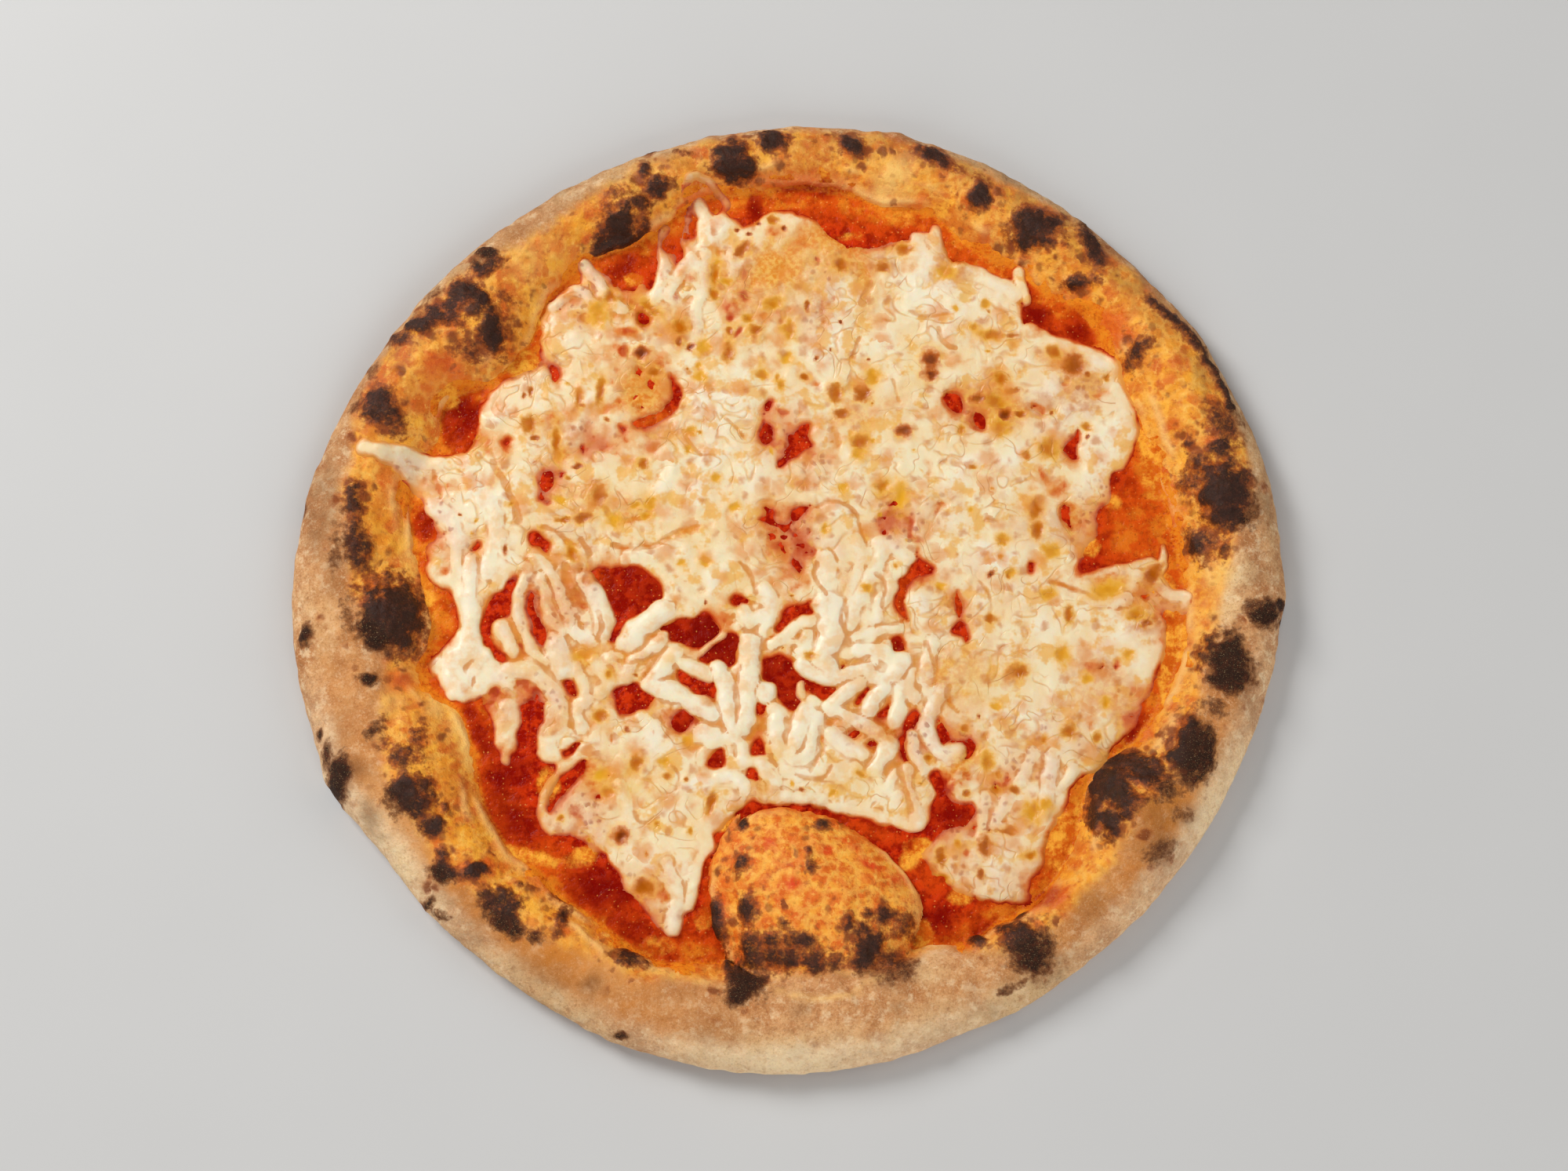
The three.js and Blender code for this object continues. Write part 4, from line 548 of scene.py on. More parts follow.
PITS = [
    (46.6,76,2.4,3.0,0,1.6), (46.2,71,1.9,1.7,0,1.8), (24,64.6,2.2,2.6,0,1.2), (15.3,64.6,1.8,3.0,0,0.9),
    (27.4,70.2,1.9,2.4,0,0.4), (23,48.3,2.3,1.9,0,0.9), (22.9,44.2,1.9,1.9,0,0.3), (11.9,19.5,1.2,1.6,0,0.3),
    (17.5,33,1.5,1.5,0,0.0), (30.5,33.6,2.2,1.7,30,0.7), (36.5,30,1.7,3.8,0,0.2), (25,0,1.4,1.4,0,0.4),
    (69.6,15.5,1.8,2.1,0,0.5), (80.2,26,1.8,3.0,-10,1.0), (80.8,19,1.7,2.8,0,1.0), (85,12,2.4,2.2,0,0.4),
    (65.2,4.2,1.3,0.8,30,1.7), (71.8,4.6,1.6,1.4,0,0.4), (84,-2.2,2.1,1.5,0,0.4), (69.8,69.6,2.0,2.0,0,0.9),
    (73.5,65.5,2.2,1.0,10,1.2), (62,63,2.3,1.4,10,1.7), (70.6,57.6,2.0,1.8,0,1.6), (67.6,62.2,3.4,2.0,-20,0.7),
    (69.4,53.2,2.6,2.8,0,0.5), (75.6,57.5,1.6,1.0,0,1.2), (56.4,52.6,1.4,1.5,0,0.7), (37.6,52,2.1,1.9,0,1.5),
    (17.4,57.8,2.3,1.4,0,1.1), (-0.8,76.6,1.8,1.7,0,0.1), (0.2,86.2,2.1,3.0,0,0.6), (-20,78.4,1.6,3.2,0,0.9),
    (-48.2,90,1.9,3.0,30,1.8), (-48.6,78.4,2.2,1.6,0,1.8), (-44.2,71.7,2.1,1.4,-10,1.1), (-5.4,95,3.0,1.6,20,0.6),
    (-59,97,2.0,2.2,0,0.8), (-63,91,2.6,3.6,20,0.4), (-45.8,93.5,4.0,1.3,-38,0.7), (-36,87,2.2,2.2,0,0.9),
    (-36.2,82.2,0.9,1.9,0,1.2), (-24.6,105,1.3,3.8,0,0.8), (-24.7,98.2,1.2,2.1,0,0.8), (-15.6,113.4,1.6,2.8,-40,1.2),
    (-61.8,65.6,1.2,4.4,-8,0.8), (17.2,108.2,1.8,2.0,0,1.1), (38.2,113.6,2.4,1.7,0,0.9), (31,107.2,2.2,1.3,-10,1.1),
    (56.2,113,2.4,3.2,0,1.5), (55.2,120.6,1.9,2.4,0,1.7), (51.6,105.8,2.6,1.8,0,0.3), (64.8,94.6,1.4,1.4,0,0.4),
    (55,93.2,0.9,0.9,0,0.0), (61,87,1.3,1.2,0,0.5), (67,84.2,3.6,1.4,-8,0.7), (73.4,84.2,1.8,0.8,0,1.1),
    (87,78.6,1.9,1.8,0,0.9), (93,74,3.1,3.2,0,1.3), (5,70,1.4,0.9,-15,1.1), (26,76,0.5,0.5,0,1.9),
    (13.6,79.2,0.5,0.5,0,1.9), (65,-10.4,1.8,1.1,0,1.0), (88,-22,1.8,2.8,0,0.4), (90.2,-9,1.4,2.4,0,0.8),
    (74,-27.6,2.8,1.7,0,1.0), (103,-1,4.0,2.2,20,0.4), (118,4.2,2.0,3.2,-35,1.2), (112.4,-9,2.8,1.8,10,0.6),
    (115.4,-12,1.8,0.9,0,1.2), (99,-49,1.4,1.4,0,0.7), (89.8,-47,1.9,1.9,0,0.9), (82,-50,1.0,1.0,0,0.8),
    (63.4,-57,1.8,2.8,0,0.6), (62.6,-84,1.9,2.8,0,1.2), (48.6,-87.4,1.3,2.6,0,1.1), (70,-79.2,2.8,1.0,0,1.1),
    (78,-73,2.6,2.8,0,0.4), (82,-71,1.8,1.8,0,0.3), (77,-87,2.0,1.1,0,0.7), (54,-83,0.9,1.4,0,0.6),
    (61,-93,0.9,1.5,0,1.2), (48.4,-94.4,1.8,1.3,0,0.9), (56.4,-46,1.2,1.1,0,1.0), (44.6,-55.8,1.2,1.1,0,0.8),
    (56.6,-67,1.3,1.1,0,0.9), (49.2,0,1.4,1.4,0,0.0), (66.4,-39,1.4,1.3,0,0.1), (-48.8,-57.2,1.9,2.2,-20,0.9),
    (-39,-61.6,1.2,1.1,0,0.8), (-40,-56.8,1.8,1.2,0,0.3), (-58.2,-66.6,1.5,1.5,0,0.8), (-60,-61,2.2,1.6,0,0.2),
    (-54,-80.6,2.2,2.2,0,1.7), (-60.8,-42,1.9,1.7,0,0.8), (-58.2,-28.5,1.0,1.2,0,0.6), (-66,-22.2,2.8,1.4,15,0.5),
    (-33,-50.4,1.6,1.6,0,0.3), (-52,-46.6,0.9,0.9,0,1.4), (-25,-70,1.1,3.2,-20,0.9), (-33,-62.6,0.8,0.8,0,1.0),
    (-46.4,-97,2.6,2.2,0,1.2), (-42,-77,1.0,0.9,0,0.6), (6.8,-22.4,1.7,1.1,0,0.6), (-27,8.4,1.7,1.6,0,0.0),
    (-34.8,8,1.1,1.0,0,0.1), (-17.4,26.4,1.5,1.5,0,0.1), (-24,36,1.3,1.4,0,0.2), (-62,30.4,2.4,3.6,-10,1.0),
    (-67,23,2.6,1.3,10,1.1), (-73.6,22.4,2.3,0.9,0,0.9), (-57,22,1.9,1.8,0,0.2), (-45,28,1.8,1.7,0,0.4),
    (-46,23.6,1.8,1.0,0,0.5), (-85,54,2.3,2.7,0,0.9), (-83,49.6,1.4,0.9,0,1.2), (-69,40,1.8,0.8,0,1.4),
    (-32,52,1.8,1.3,0,0.2), (-33,46,1.3,1.3,0,0.3), (-47.4,41,1.7,1.7,0,0.9), (-70.2,11,1.4,2.6,20,0.8),
    (-84.6,64.8,0.9,1.4,0,1.2), (-87,64,0.7,1.1,0,1.2), (-69,63,1.2,3.2,0,0.9), (-76,48,1.1,5.0,5,0.9),
    (-107,24,0.5,0.5,0,1.9), (-92,12.4,0.8,1.5,0,1.4), (-50,27,1.2,1.0,0,0.4), (-11,86.2,2.0,1.4,0,0.9),
    (84.6,46,2.6,2.8,0,0.7), (77.6,43.6,1.2,1.4,0,0.9), (60,40,1.0,0.8,0,0.8), (104,70,1.2,1.0,0,0.8),
    (98,71,0.9,0.9,0,1.2), (-2.6,67.4,1.1,1.5,0,0.5), (-9,71,1.8,1.5,0,0.4), (-4,70,0.8,1.2,0,0.5),
    (-28,80,2.0,2.2,0,0.15), (-29,70,2.0,1.6,0,0.1), (97.5,50,0.7,0.7,0,1.5), (86,58,0.7,0.7,0,1.3),
    (102,-38,1.2,1.8,0,0.4), (96,-30,1.4,1.2,0,0.3), (110,-22,1.6,1.4,0,0.3), (66,-66,1.5,1.0,0,1.0),
    (72,-66,1.6,0.9,0,1.1), (67,-61,1.0,1.0,0,0.9), (4,-66,0.9,0.7,0,1.3), (14,-67,1.2,1.4,0,0.3),
    (23,-61,1.6,1.0,-20,0.5), (6,94,1.0,1.6,0,1.2), (-13.6,90,1.6,1.2,0,0.6), (-1.6,120.8,0.8,0.8,0,1.9),
    (-13.3,118.9,0.7,0.7,0,1.8), (-17.2,120.0,0.7,0.7,0,1.8), (-9.9,122.4,0.7,0.7,0,1.9), (-5.5,123.6,1.6,1.4,0,0.8),
]
# red and rust coloured stains where the sauce shows through [x, y, rx, ry, turn, strength]
RUST = [
    (54,61.5,3.4,3.6,0,0.9), (62.5,55.5,2.6,3.4,0,0.9), (90.2,24,1.6,4.0,-10,0.9), (-15,98,2.6,3.4,0,0.9),
    (-15,105,2.6,3.4,10,0.7), (-19.2,90,1.6,1.6,0,1.0), (-17,85,1.2,3.4,-38,1.0), (33,21,4.6,3.6,0,0.7),
    (39.6,20,1.4,4.4,-8,0.8), (42,15.6,2.2,1.6,0,0.7), (48,25,2.6,1.0,45,0.7), (31,24,2.0,2.0,0,0.5),
    (-3,13,3.6,4.6,0,0.8), (4,13,4.4,5.6,0,0.8), (4,34,4.4,1.8,-20,0.6), (9,33,2.4,1.8,-10,0.6),
    (-79,36,3.4,4.0,0,0.7), (-62,49,3.4,4.0,0,0.5), (-52,42,3.0,2.4,0,0.5), (-66,52,2.4,6.0,0,0.5),
    (-46,46,5.0,4.0,0,0.45), (-54,79,1.6,3.0,0,0.7), (-53,86,1.6,1.2,0,0.6), (-68,-73,3.2,4.0,-20,0.7),
    (-62,-85,3.0,1.4,-30,0.5), (70,-66,4.4,1.8,0,0.7), (78,-62,2.4,1.4,0,0.4), (84,37,1.8,3.6,20,0.6),
    (86,31,2.0,1.4,0,0.6), (66,45,1.6,4.4,0,0.4), (11,94,1.4,5.0,0,0.6), (14.6,97,1.6,2.0,0,0.8),
    (33,80,3.0,1.6,0,0.5), (-42,105,2.0,3.0,0,0.5), (-11,84,2.2,2.2,0,0.7), (100,-40,3.0,1.4,45,0.4),
    (109,-44,4.0,2.0,40,0.6), (94,-42,1.6,3.6,0,0.5), (120,0,3.4,2.6,0,0.5), (-86,-12,1.4,8.0,-8,0.3),
    (-76,-8,1.6,6.0,30,0.6), (-116,33,4.6,2.6,0,0.4), (-117,9,2.0,4.0,0,0.4), (54,-76,4.0,1.0,0,0.4),
    (50,-86,2.0,3.0,0,0.5), (74,-94,3.0,2.0,0,0.5), (-108,2,1.2,4.0,0,0.3), (-64,13,3.4,2.4,0,0.5),
    (-37,97,1.6,2.6,0,0.7), (-33,104,3.6,1.4,-35,0.6), (62,-48,2.0,1.6,0,0.3), (68,60,6.0,3.0,0,0.3),
    (82,58,2.4,3.0,0,0.5), (91,66,2.6,2.4,0,0.5), (102,65,2.0,1.6,0,0.5), (-41,-99,3.0,3.0,0,0.3),
]
# where the strands still stand up separately
PLUMP = [
    (-5,-32,58,30,0,1.0), (-84,-22,26,40,0,0.9), (30,-10,22,16,0,0.7), (-55,98,22,12,-20,0.8),
    (-70,10,24,14,0,0.5), (62,-62,26,18,0,0.35), (40,-60,20,12,0,0.8), (-30,112,10,26,0,0.6),
    (118,0,14,14,0,0.8), (76,100,6,8,0,1.0), (-125,43,18,8,0,0.6), (-40,-100,10,16,0,0.5),
]
YELLOW = [
    (8.7,110.0,12.6,9.1,0,0.9), (-1.6,104.7,10.1,7.6,-20,0.9), (22.9,99.3,5.0,8.6,20,0.8),
    (-48.4,66.9,9.6,10.1,0,0.8), (57.6,-35.1,9.1,5.0,0,0.6), (67.6,59.5,8.6,6.0,0,0.8),
    (24.0,64.8,10.1,6.5,0,0.5), (55.2,96.7,6.0,4.0,0,0.35), (-62.9,28.0,6.0,6.5,0,0.8),
    (-45.0,28.0,7.6,5.0,0,0.5), (-51.8,-64.3,10.1,10.1,0,0.6), (-34.2,-79.4,7.6,7.6,0,0.4),
    (13.4,-64.3,12.6,4.0,0,0.5), (23.5,-60.5,6.0,4.0,0,0.7), (-1.6,28.0,7.6,5.0,0,0.3),
    (102.9,-0.5,6.5,3.5,20,0.7), (81.0,-73.1,5.0,4.0,0,0.8), (-62.3,91.3,5.0,4.5,0,0.6),
    (-12.0,86.0,7.6,6.0,0,0.5), (-80.0,-23.6,6.0,6.5,0,0.5), (42.1,72.7,7.6,7.6,0,0.4),
    (-32.2,15.0,12.6,7.6,0,0.3), (64.0,-31.3,11.1,7.6,0,0.5), (31.6,35.9,7.6,6.0,0,0.3),
    (-1.6,-56.7,5.0,6.5,0,0.4), (58.7,-54.2,6.5,4.0,0,0.6), (91.4,-54.2,6.0,5.0,0,0.3),
    (115.1,-3.1,6.0,5.0,0,0.5), (-18.1,-0.5,6.5,10.1,0,0.3), (-59.7,-31.3,6.5,7.6,0,0.4),
    (-68.5,-36.4,4.0,7.6,0,0.5), (-39.6,-23.6,4.0,3.0,0,0.3),
]
THIN = [
    (36.6,20.7,9.6,8.6,0,0.95), (49.4,25.4,7.6,6.5,0,0.7), (-64.4,49.0,9.6,6.5,0,0.9),
    (-44.0,59.5,7.6,10.1,0,0.6), (-47.9,67.4,9.6,9.6,0,0.75), (0.9,15.0,11.1,12.1,0,0.8),
    (-1.6,49.0,10.1,12.6,0,0.6), (8.6,41.1,6.5,7.6,0,0.6), (-78.3,35.9,6.0,9.1,0,0.8),
    (-58.6,110.0,15.1,10.1,20,0.8), (-45.7,110.0,10.1,10.1,0,0.8), (-35.4,120.8,7.6,15.1,0,0.8),
    (-27.6,128.9,10.1,7.6,0,0.5), (-17.2,104.7,10.1,10.1,0,0.6), (-9.4,91.3,10.1,9.1,0,0.6),
    (6.1,91.3,10.1,7.6,0,0.5), (29.5,118.1,15.1,6.5,0,0.8), (13.9,107.4,12.6,7.6,0,0.7),
    (-68.7,91.3,10.1,7.6,0,0.7), (-63.7,99.3,10.1,6.0,0,0.7), (93.4,64.8,12.6,9.1,0,0.55),
    (90.6,49.0,10.1,6.5,0,0.7), (65.1,59.5,12.6,7.6,0,0.6), (95.2,22.8,6.5,10.1,0,0.7),
    (105.6,33.3,7.6,6.0,0,0.7), (110.0,-3.1,12.6,7.6,0,0.6), (117.5,-8.2,10.1,12.6,0,0.6),
    (99.4,-26.2,10.1,10.1,0,0.5), (109.3,-36.4,10.1,7.6,0,0.6), (88.9,-49.1,10.1,10.1,0,0.6),
    (73.6,-64.3,12.6,12.6,0,0.6), (58.4,-79.4,12.6,12.6,0,0.7), (60.8,-91.9,15.1,8.6,0,0.6),
    (56.3,-44.0,10.1,10.1,0,0.6), (43.7,-49.1,10.1,10.1,0,0.6), (23.5,-46.6,10.1,5.0,0,0.6),
    (56.7,-3.1,10.1,12.6,0,0.5), (74.5,-0.5,10.1,7.6,0,0.4), (-77.7,-8.2,12.6,15.1,0,0.75),
    (-67.7,2.1,10.1,10.1,0,0.6), (-82.3,-38.9,12.6,10.1,0,0.6), (-62.1,-38.9,10.1,10.1,0,0.4),
    (-66.8,-74.3,10.1,10.1,0,0.8), (-59.3,-66.8,6.0,10.1,0,0.6), (-46.5,-96.8,7.6,10.1,0,0.8),
    (-39.0,-106.8,7.6,6.5,0,0.6), (-113.8,22.8,7.6,12.6,0,0.6), (-103.4,12.4,6.0,6.0,0,0.5),
    (-94.2,70.1,10.1,6.0,0,0.5), (-81.4,72.7,7.6,5.0,0,0.6), (-121.8,38.5,10.1,3.5,0,0.7),
    (46.6,-3.1,7.6,10.1,0,0.4), (-27.2,38.5,7.6,7.6,0,0.3), (-34.4,-44.0,7.6,5.0,0,0.6),
    (-92.6,-28.7,6.5,4.0,0,0.3),
]

# ---------------------------------------------------------------- stains by bearing
# [deg, radius, half width along the rim, half width across, strength]
STAINS = [
    (15, 124, 16, 6, 1.0), (39, 136, 9, 6, 0.9), (45, 132, 6, 5, 0.8), (71, 134, 5, 5, 0.8),
    (88, 135, 20, 4.5, 1.0), (102, 133, 9, 6, 0.9), (118, 126, 20, 4, 1.0), (149, 131, 8, 8, 0.9),
    (166, 130, 4, 5, 0.8), (190.5, 134, 4, 5, 0.9), (194, 129, 4, 5, 0.9), (231, 124, 7, 5, 0.9),
    (251, 126, 9, 4, 1.0), (255, 110, 4, 16, 0.9), (297, 118, 8, 11, 1.0), (301, 125, 5, 5, 0.9),
    (309, 130, 8, 3.5, 1.0), (338, 123, 8, 3, 0.9), (349, 128, 17, 3, 0.9), (327, 113, 12, 2.5, 0.9),
    (186, 112, 10, 2.5, 0.9), (54, 129, 7, 4, 1.0),
]
# the darkest red: sauce that lies thick
DEEP = [
    (42, 129, 6, 4, 1.0), (48, 121, 6, 5, 1.0), (52, 126, 5, 3, 0.7), (86, 135, 14, 3, 0.8),
    (95, 128, 3, 4, 0.8), (117, 121, 8, 4, 0.7), (152, 121, 8, 6, 1.0), (170, 120, 5, 4, 0.8),
    (194, 127, 2, 3, 0.7), (206, 110, 14, 3, 0.9), (214, 110, 8, 9, 1.0), (222, 116, 9, 6, 0.9),
    (239, 114, 12, 8, 1.0), (246, 121, 10, 4, 0.9), (251, 124, 6, 3, 0.6), (294, 118, 6, 6, 1.0),
    (299, 127, 4, 4, 0.7), (309, 130, 6, 2.5, 0.9), (338, 120, 6, 2.5, 0.9), (354, 124, 4, 3, 0.6),
    (20, 111, 5, 4, 0.9), (5, 98, 5, 5, 0.5),
]
# toasted orange brown, half cheese and half dough
TOAST = [
    (63, 124, 7, 11, 1.0), (62, 130, 6, 5, 0.8), (74, 113, 6, 3, 0.8), (81, 110, 4, 3, 0.6),
    (315, 121, 9, 6, 0.9), (355, 115, 7, 6, 0.9), (7, 125, 3, 3, 0.9), (1, 117, 4, 4, 0.8),
    (345, 105, 4, 4, 0.8), (35, 119, 5, 5, 0.7), (38, 120, 5, 4, 0.8), (229, 115, 8, 5, 0.7),
    (232, 110, 8, 4, 0.5), (243, 132, 10, 5, 0.5), (199, 125, 6, 5, 0.4),
]
# pale cream dough
PALE = [
    (215, 149, 24, 7, 1.0), (240, 151, 26, 7, 0.8), (268, 151, 28, 8, 1.0), (298, 151, 22, 7, 0.9),
    (333, 151, 18, 7, 1.0), (186, 150, 16, 6, 0.6),
    (76, 139, 7, 10, 1.0), (292, 118, 4, 16, 0.9), (1, 141, 6, 8, 1.0), (357, 140, 7, 6, 0.9),
    (197, 133, 6, 6, 0.7), (129, 138, 9, 6, 0.5), (199, 119, 6, 5, 0.8), (205, 116, 12, 3, 0.9),
    (250, 130, 16, 2.5, 0.8), (186, 117, 12, 2.5, 0.9), (244, 140, 12, 8, 0.6), (237, 147, 16, 5, 0.7),
    (272, 148, 26, 6, 0.6), (288, 147, 20, 6, 0.6), (327, 115, 16, 2, 0.9), (300, 133, 5, 4, 0.4),
    (172, 124, 12, 3, 0.6), (112, 148, 30, 5, 0.6), (137, 150, 26, 4, 0.6), (62, 154, 30, 4, 0.6),
    (20, 157, 30, 3, 0.5), (350, 132, 10, 4, 0.4), (290, 130, 8, 6, 0.8), (10, 156, 20, 3, 0.4),
]
# where the sauce is thin and orange, and where it is deep [x, y, rx, ry, turn, strength]
SAUCE_ORANGE = [
    (112, 18, 12, 22, 0, 0.8), (95, -75, 9, 16, 0, 0.9), (45, -92, 8, 8, 0, 0.4), (88, -84, 8, 14, 0, 1.0),
    (104, -58, 8, 10, 0, 0.9), (125, -28, 7, 22, 0, 1.0), (68, 118, 16, 9, -35, 1.0), (120, 42, 8, 16, 0, 0.9),
    (-60, 106, 10, 7, 0, 0.8), (-113, 62, 6, 9, 0, 0.8), (0, 134, 26, 5, 0, 0.6), (-78, -90, 16, 8, -25, 0.8),
    (-116, -8, 5, 12, 0, 0.6), (-38, -112, 9, 8, 0, 0.6), (122, 4, 8, 10, 0, 0.8), (-43, 56, 12, 4, 15, 0.75), (-61, -4, 4, 12, 0, 0.6),
    (37, 0, 4, 12, 0, 0.5), (55, -4, 3, 8, 0, 0.3), (-24, -98, 4, 16, 0, 0.7), (25, -79, 14, 3, -15, 0.4), (-94, -84, 8, 4, 0, 0.6),
]
SAUCE_DEEP = [
    (-50, 0, 12, 10, 0, 0.7), (-32, -14, 14, 8, 0, 1.0), (-1, -31, 12, 8, -48, 1.0), (-34, -44, 6, 5, 0, 0.7),
    (50, -74, 8, 5, 0, 0.9), (-20, -20, 8, 8, 0, 1.0), (-23, -54, 6, 6, 0, 0.8), (35, -18, 4, 5, 0, 0.8),
    (-93, -76, 8, 14, 0, 0.5), (-4, 50, 6, 8, 0, 0.6),
]
# toasted places in the cheese
TOASTED = [
    (-37, 86, 10, 6, 0, 0.5), (10, 95, 14, 8, 0, 0.4), (-46, 70, 8, 7, 0, 0.4), (88, 60, 12, 6, 0, 0.5),
    (84, 20, 14, 8, 0, 0.4), (60, 60, 12, 8, 0, 0.4), (-72, 50, 12, 10, 0, 0.3), (-70, 20, 10, 8, 0, 0.3),
]
# golden oily places in the cheese [x, y, rx, ry, turn, strength]
AMBER = [
    (-48, 66, 9, 10, 0, 1.0), (-4, 107, 13, 9, 0, 1.0), (15, 116, 14, 6, -10, 0.8), (20, 110, 10, 6, 0, 0.6),
    (-62, 92, 4, 4, 0, 0.9), (-42, 92, 4, 3, 0, 0.7), (-15, 100, 5, 8, 0, 0.7), (-24, 105, 4, 7, 0, 0.6),
    (25, 104, 3, 10, 20, 0.7), (26, 92, 3, 8, 10, 0.5), (-52, 26, 7, 5, 0, 0.6), (-95, 38, 2, 8, -28, 0.7),
    (55, 88, 6, 3, 0, 0.5), (66, 84, 5, 3, -20, 0.7), (88, 78, 7, 4, 0, 0.8), (70, 60, 9, 8, 0, 0.8),
    (24, 46, 4, 5, 0, 0.8), (20, 56, 10, 3, 0, 0.6), (36, 32, 8, 4, 0, 0.6), (80, 26, 4, 7, 0, 0.6),
    (92, 24, 4, 7, 0, 0.7), (65, 38, 8, 3, 0, 0.5), (50, -28, 10, 8, 0, 0.6), (62, -24, 8, 8, 0, 0.5),
    (55, -38, 10, 6, 0, 0.5), (73, -28, 4, 4, 0, 0.7), (103, -35, 9, 7, 0, 0.6), (112, -10, 6, 6, 0, 0.7),
    (103, 0, 7, 3, 20, 0.8), (57, -57, 8, 4, 30, 0.8), (28, -48, 8, 4, 0, 0.5), (78, -73, 6, 5, 0, 0.6),
    (86, -84, 5, 6, 0, 0.8), (-58, -62, 8, 10, 0, 0.6), (-50, -56, 6, 5, 0, 0.5), (-40, -92, 5, 8, 0, 0.4),
    (-66, -22, 8, 6, 0, 0.5), (-52, -24, 8, 6, 0, 0.5), (-72, 30, 6, 4, 0, 0.6), (-68, 24, 5, 4, 0, 0.7),
    (-75, 46, 3, 7, 25, 0.8), (-34, 18, 9, 1.5, 18, 0.8), (38, -66, 4, 10, 0, 0.5), (18, 2, 2, 8, 0, 0.4),
    (-96, -14, 4, 6, 0, 0.3), (-75, -8, 6, 12, 0, 0.4), (-5, 14, 6, 8, 0, 0.5), (-37, 85, 3, 7, 0, 0.8),
    (-20, 82, 2.5, 7, 0, 0.9), (110, 105, 1, 1, 0, 0.1), (85, 46, 5, 4, 0, 0.6), (35, 60, 6, 6, 0, 0.3),
]
# oily folds between the strands [points, half width, strength]
CREASES = [
    [[(-57, 14), (-50, 12), (-43, 14), (-37, 18), (-30, 20)], 0.9, 1.0], [[(-97, 41), (-92, 34), (-88, 22)], 1.2, 0.9],
    [[(-73, 7), (-71, 0), (-67, -7)], 1.6, 1.0], [[(-62, -8), (-60, -13), (-62, -17)], 0.8, 0.9],
    [[(-55, -24), (-48, -25), (-44, -22)], 0.8, 0.9], [[(-35, 52), (-32, 47), (-29, 44)], 0.8, 0.7],
    [[(-68, 16), (-64, 10), (-66, 2)], 1.0, 0.8], [[(-80, 20), (-74, 18), (-70, 12)], 0.9, 0.7],
    [[(-60, 26), (-56, 22), (-50, 22), (-44, 26)], 1.0, 0.8], [[(-22, 57), (-18, 54), (-15, 50)], 0.7, 0.6],
    [[(24, 108), (27, 101), (24, 95)], 1.4, 1.0], [[(23, 83), (21, 77)], 0.8, 0.7], [[(34, 69), (36, 62)], 0.7, 0.6],
    [[(49, 86), (51, 81), (55, 80)], 1.0, 0.9], [[(9, 27), (14, 29), (20, 27), (22, 23)], 0.7, 0.8],
    [[(22, 22), (25, 15)], 0.7, 0.7], [[(13, 13), (16, 9)], 0.6, 0.7], [[(9, 8), (8, 3), (12, -2)], 0.8, 0.9],
    [[(14, -58), (10, -63), (2, -61)], 0.7, 0.7], [[(10, -46), (11, -53), (7, -60)], 0.8, 0.9],
    [[(18, -4), (16, -12), (20, -18)], 0.8, 0.8], [[(28, -13), (38, -11)], 0.7, 0.7],
    [[(25, -58), (28, -54), (27, -50)], 0.8, 0.7], [[(35, -58), (37, -66), (39, -73)], 1.0, 0.9],
    [[(44, -18), (47, -24), (47, -32)], 0.8, 0.7], [[(52, -32), (50, -36), (54, -41)], 0.8, 0.8],
    [[(-26, -73), (-24, -68)], 1.1, 0.9], [[(-50, -73), (-47, -77), (-42, -75)], 0.8, 0.6],
    [[(-40, -56), (-35, -60), (-36, -66)], 0.7, 0.6], [[(-16, 8), (-12, 4), (-11, -2)], 0.8, 0.7],
    [[(66, 95), (72, 92), (74, 88)], 0.7, 0.4], [[(40, 92), (46, 90), (52, 92)], 0.8, 0.5],
    [[(84, 2), (92, 0), (100, -4)], 0.9, 0.6], [[(62, 2), (66, -4), (64, -10)], 0.8, 0.5],
    [[(-30, 74), (-28, 68), (-32, 64)], 0.8, 0.5], [[(28, 5), (32, 2), (30, -6)], 0.8, 0.7],
]
# red blotches on the bubble [x, y, rx, ry, turn, strength]
BUBBLE_RED = [
    (1, -97, 3.5, 3, 0, 1.0), (12, -86, 3, 2, 0, 0.9), (25, -90, 5, 2, -30, 1.0), (35, -95, 4, 2, 0, 0.9),
    (20, -84, 5, 1.5, -30, 0.7), (36, -84, 4, 4, 0, 1.0), (-8, -104, 2, 3, 0, 0.5), (28, -104, 3, 2, 20, 0.5),
]
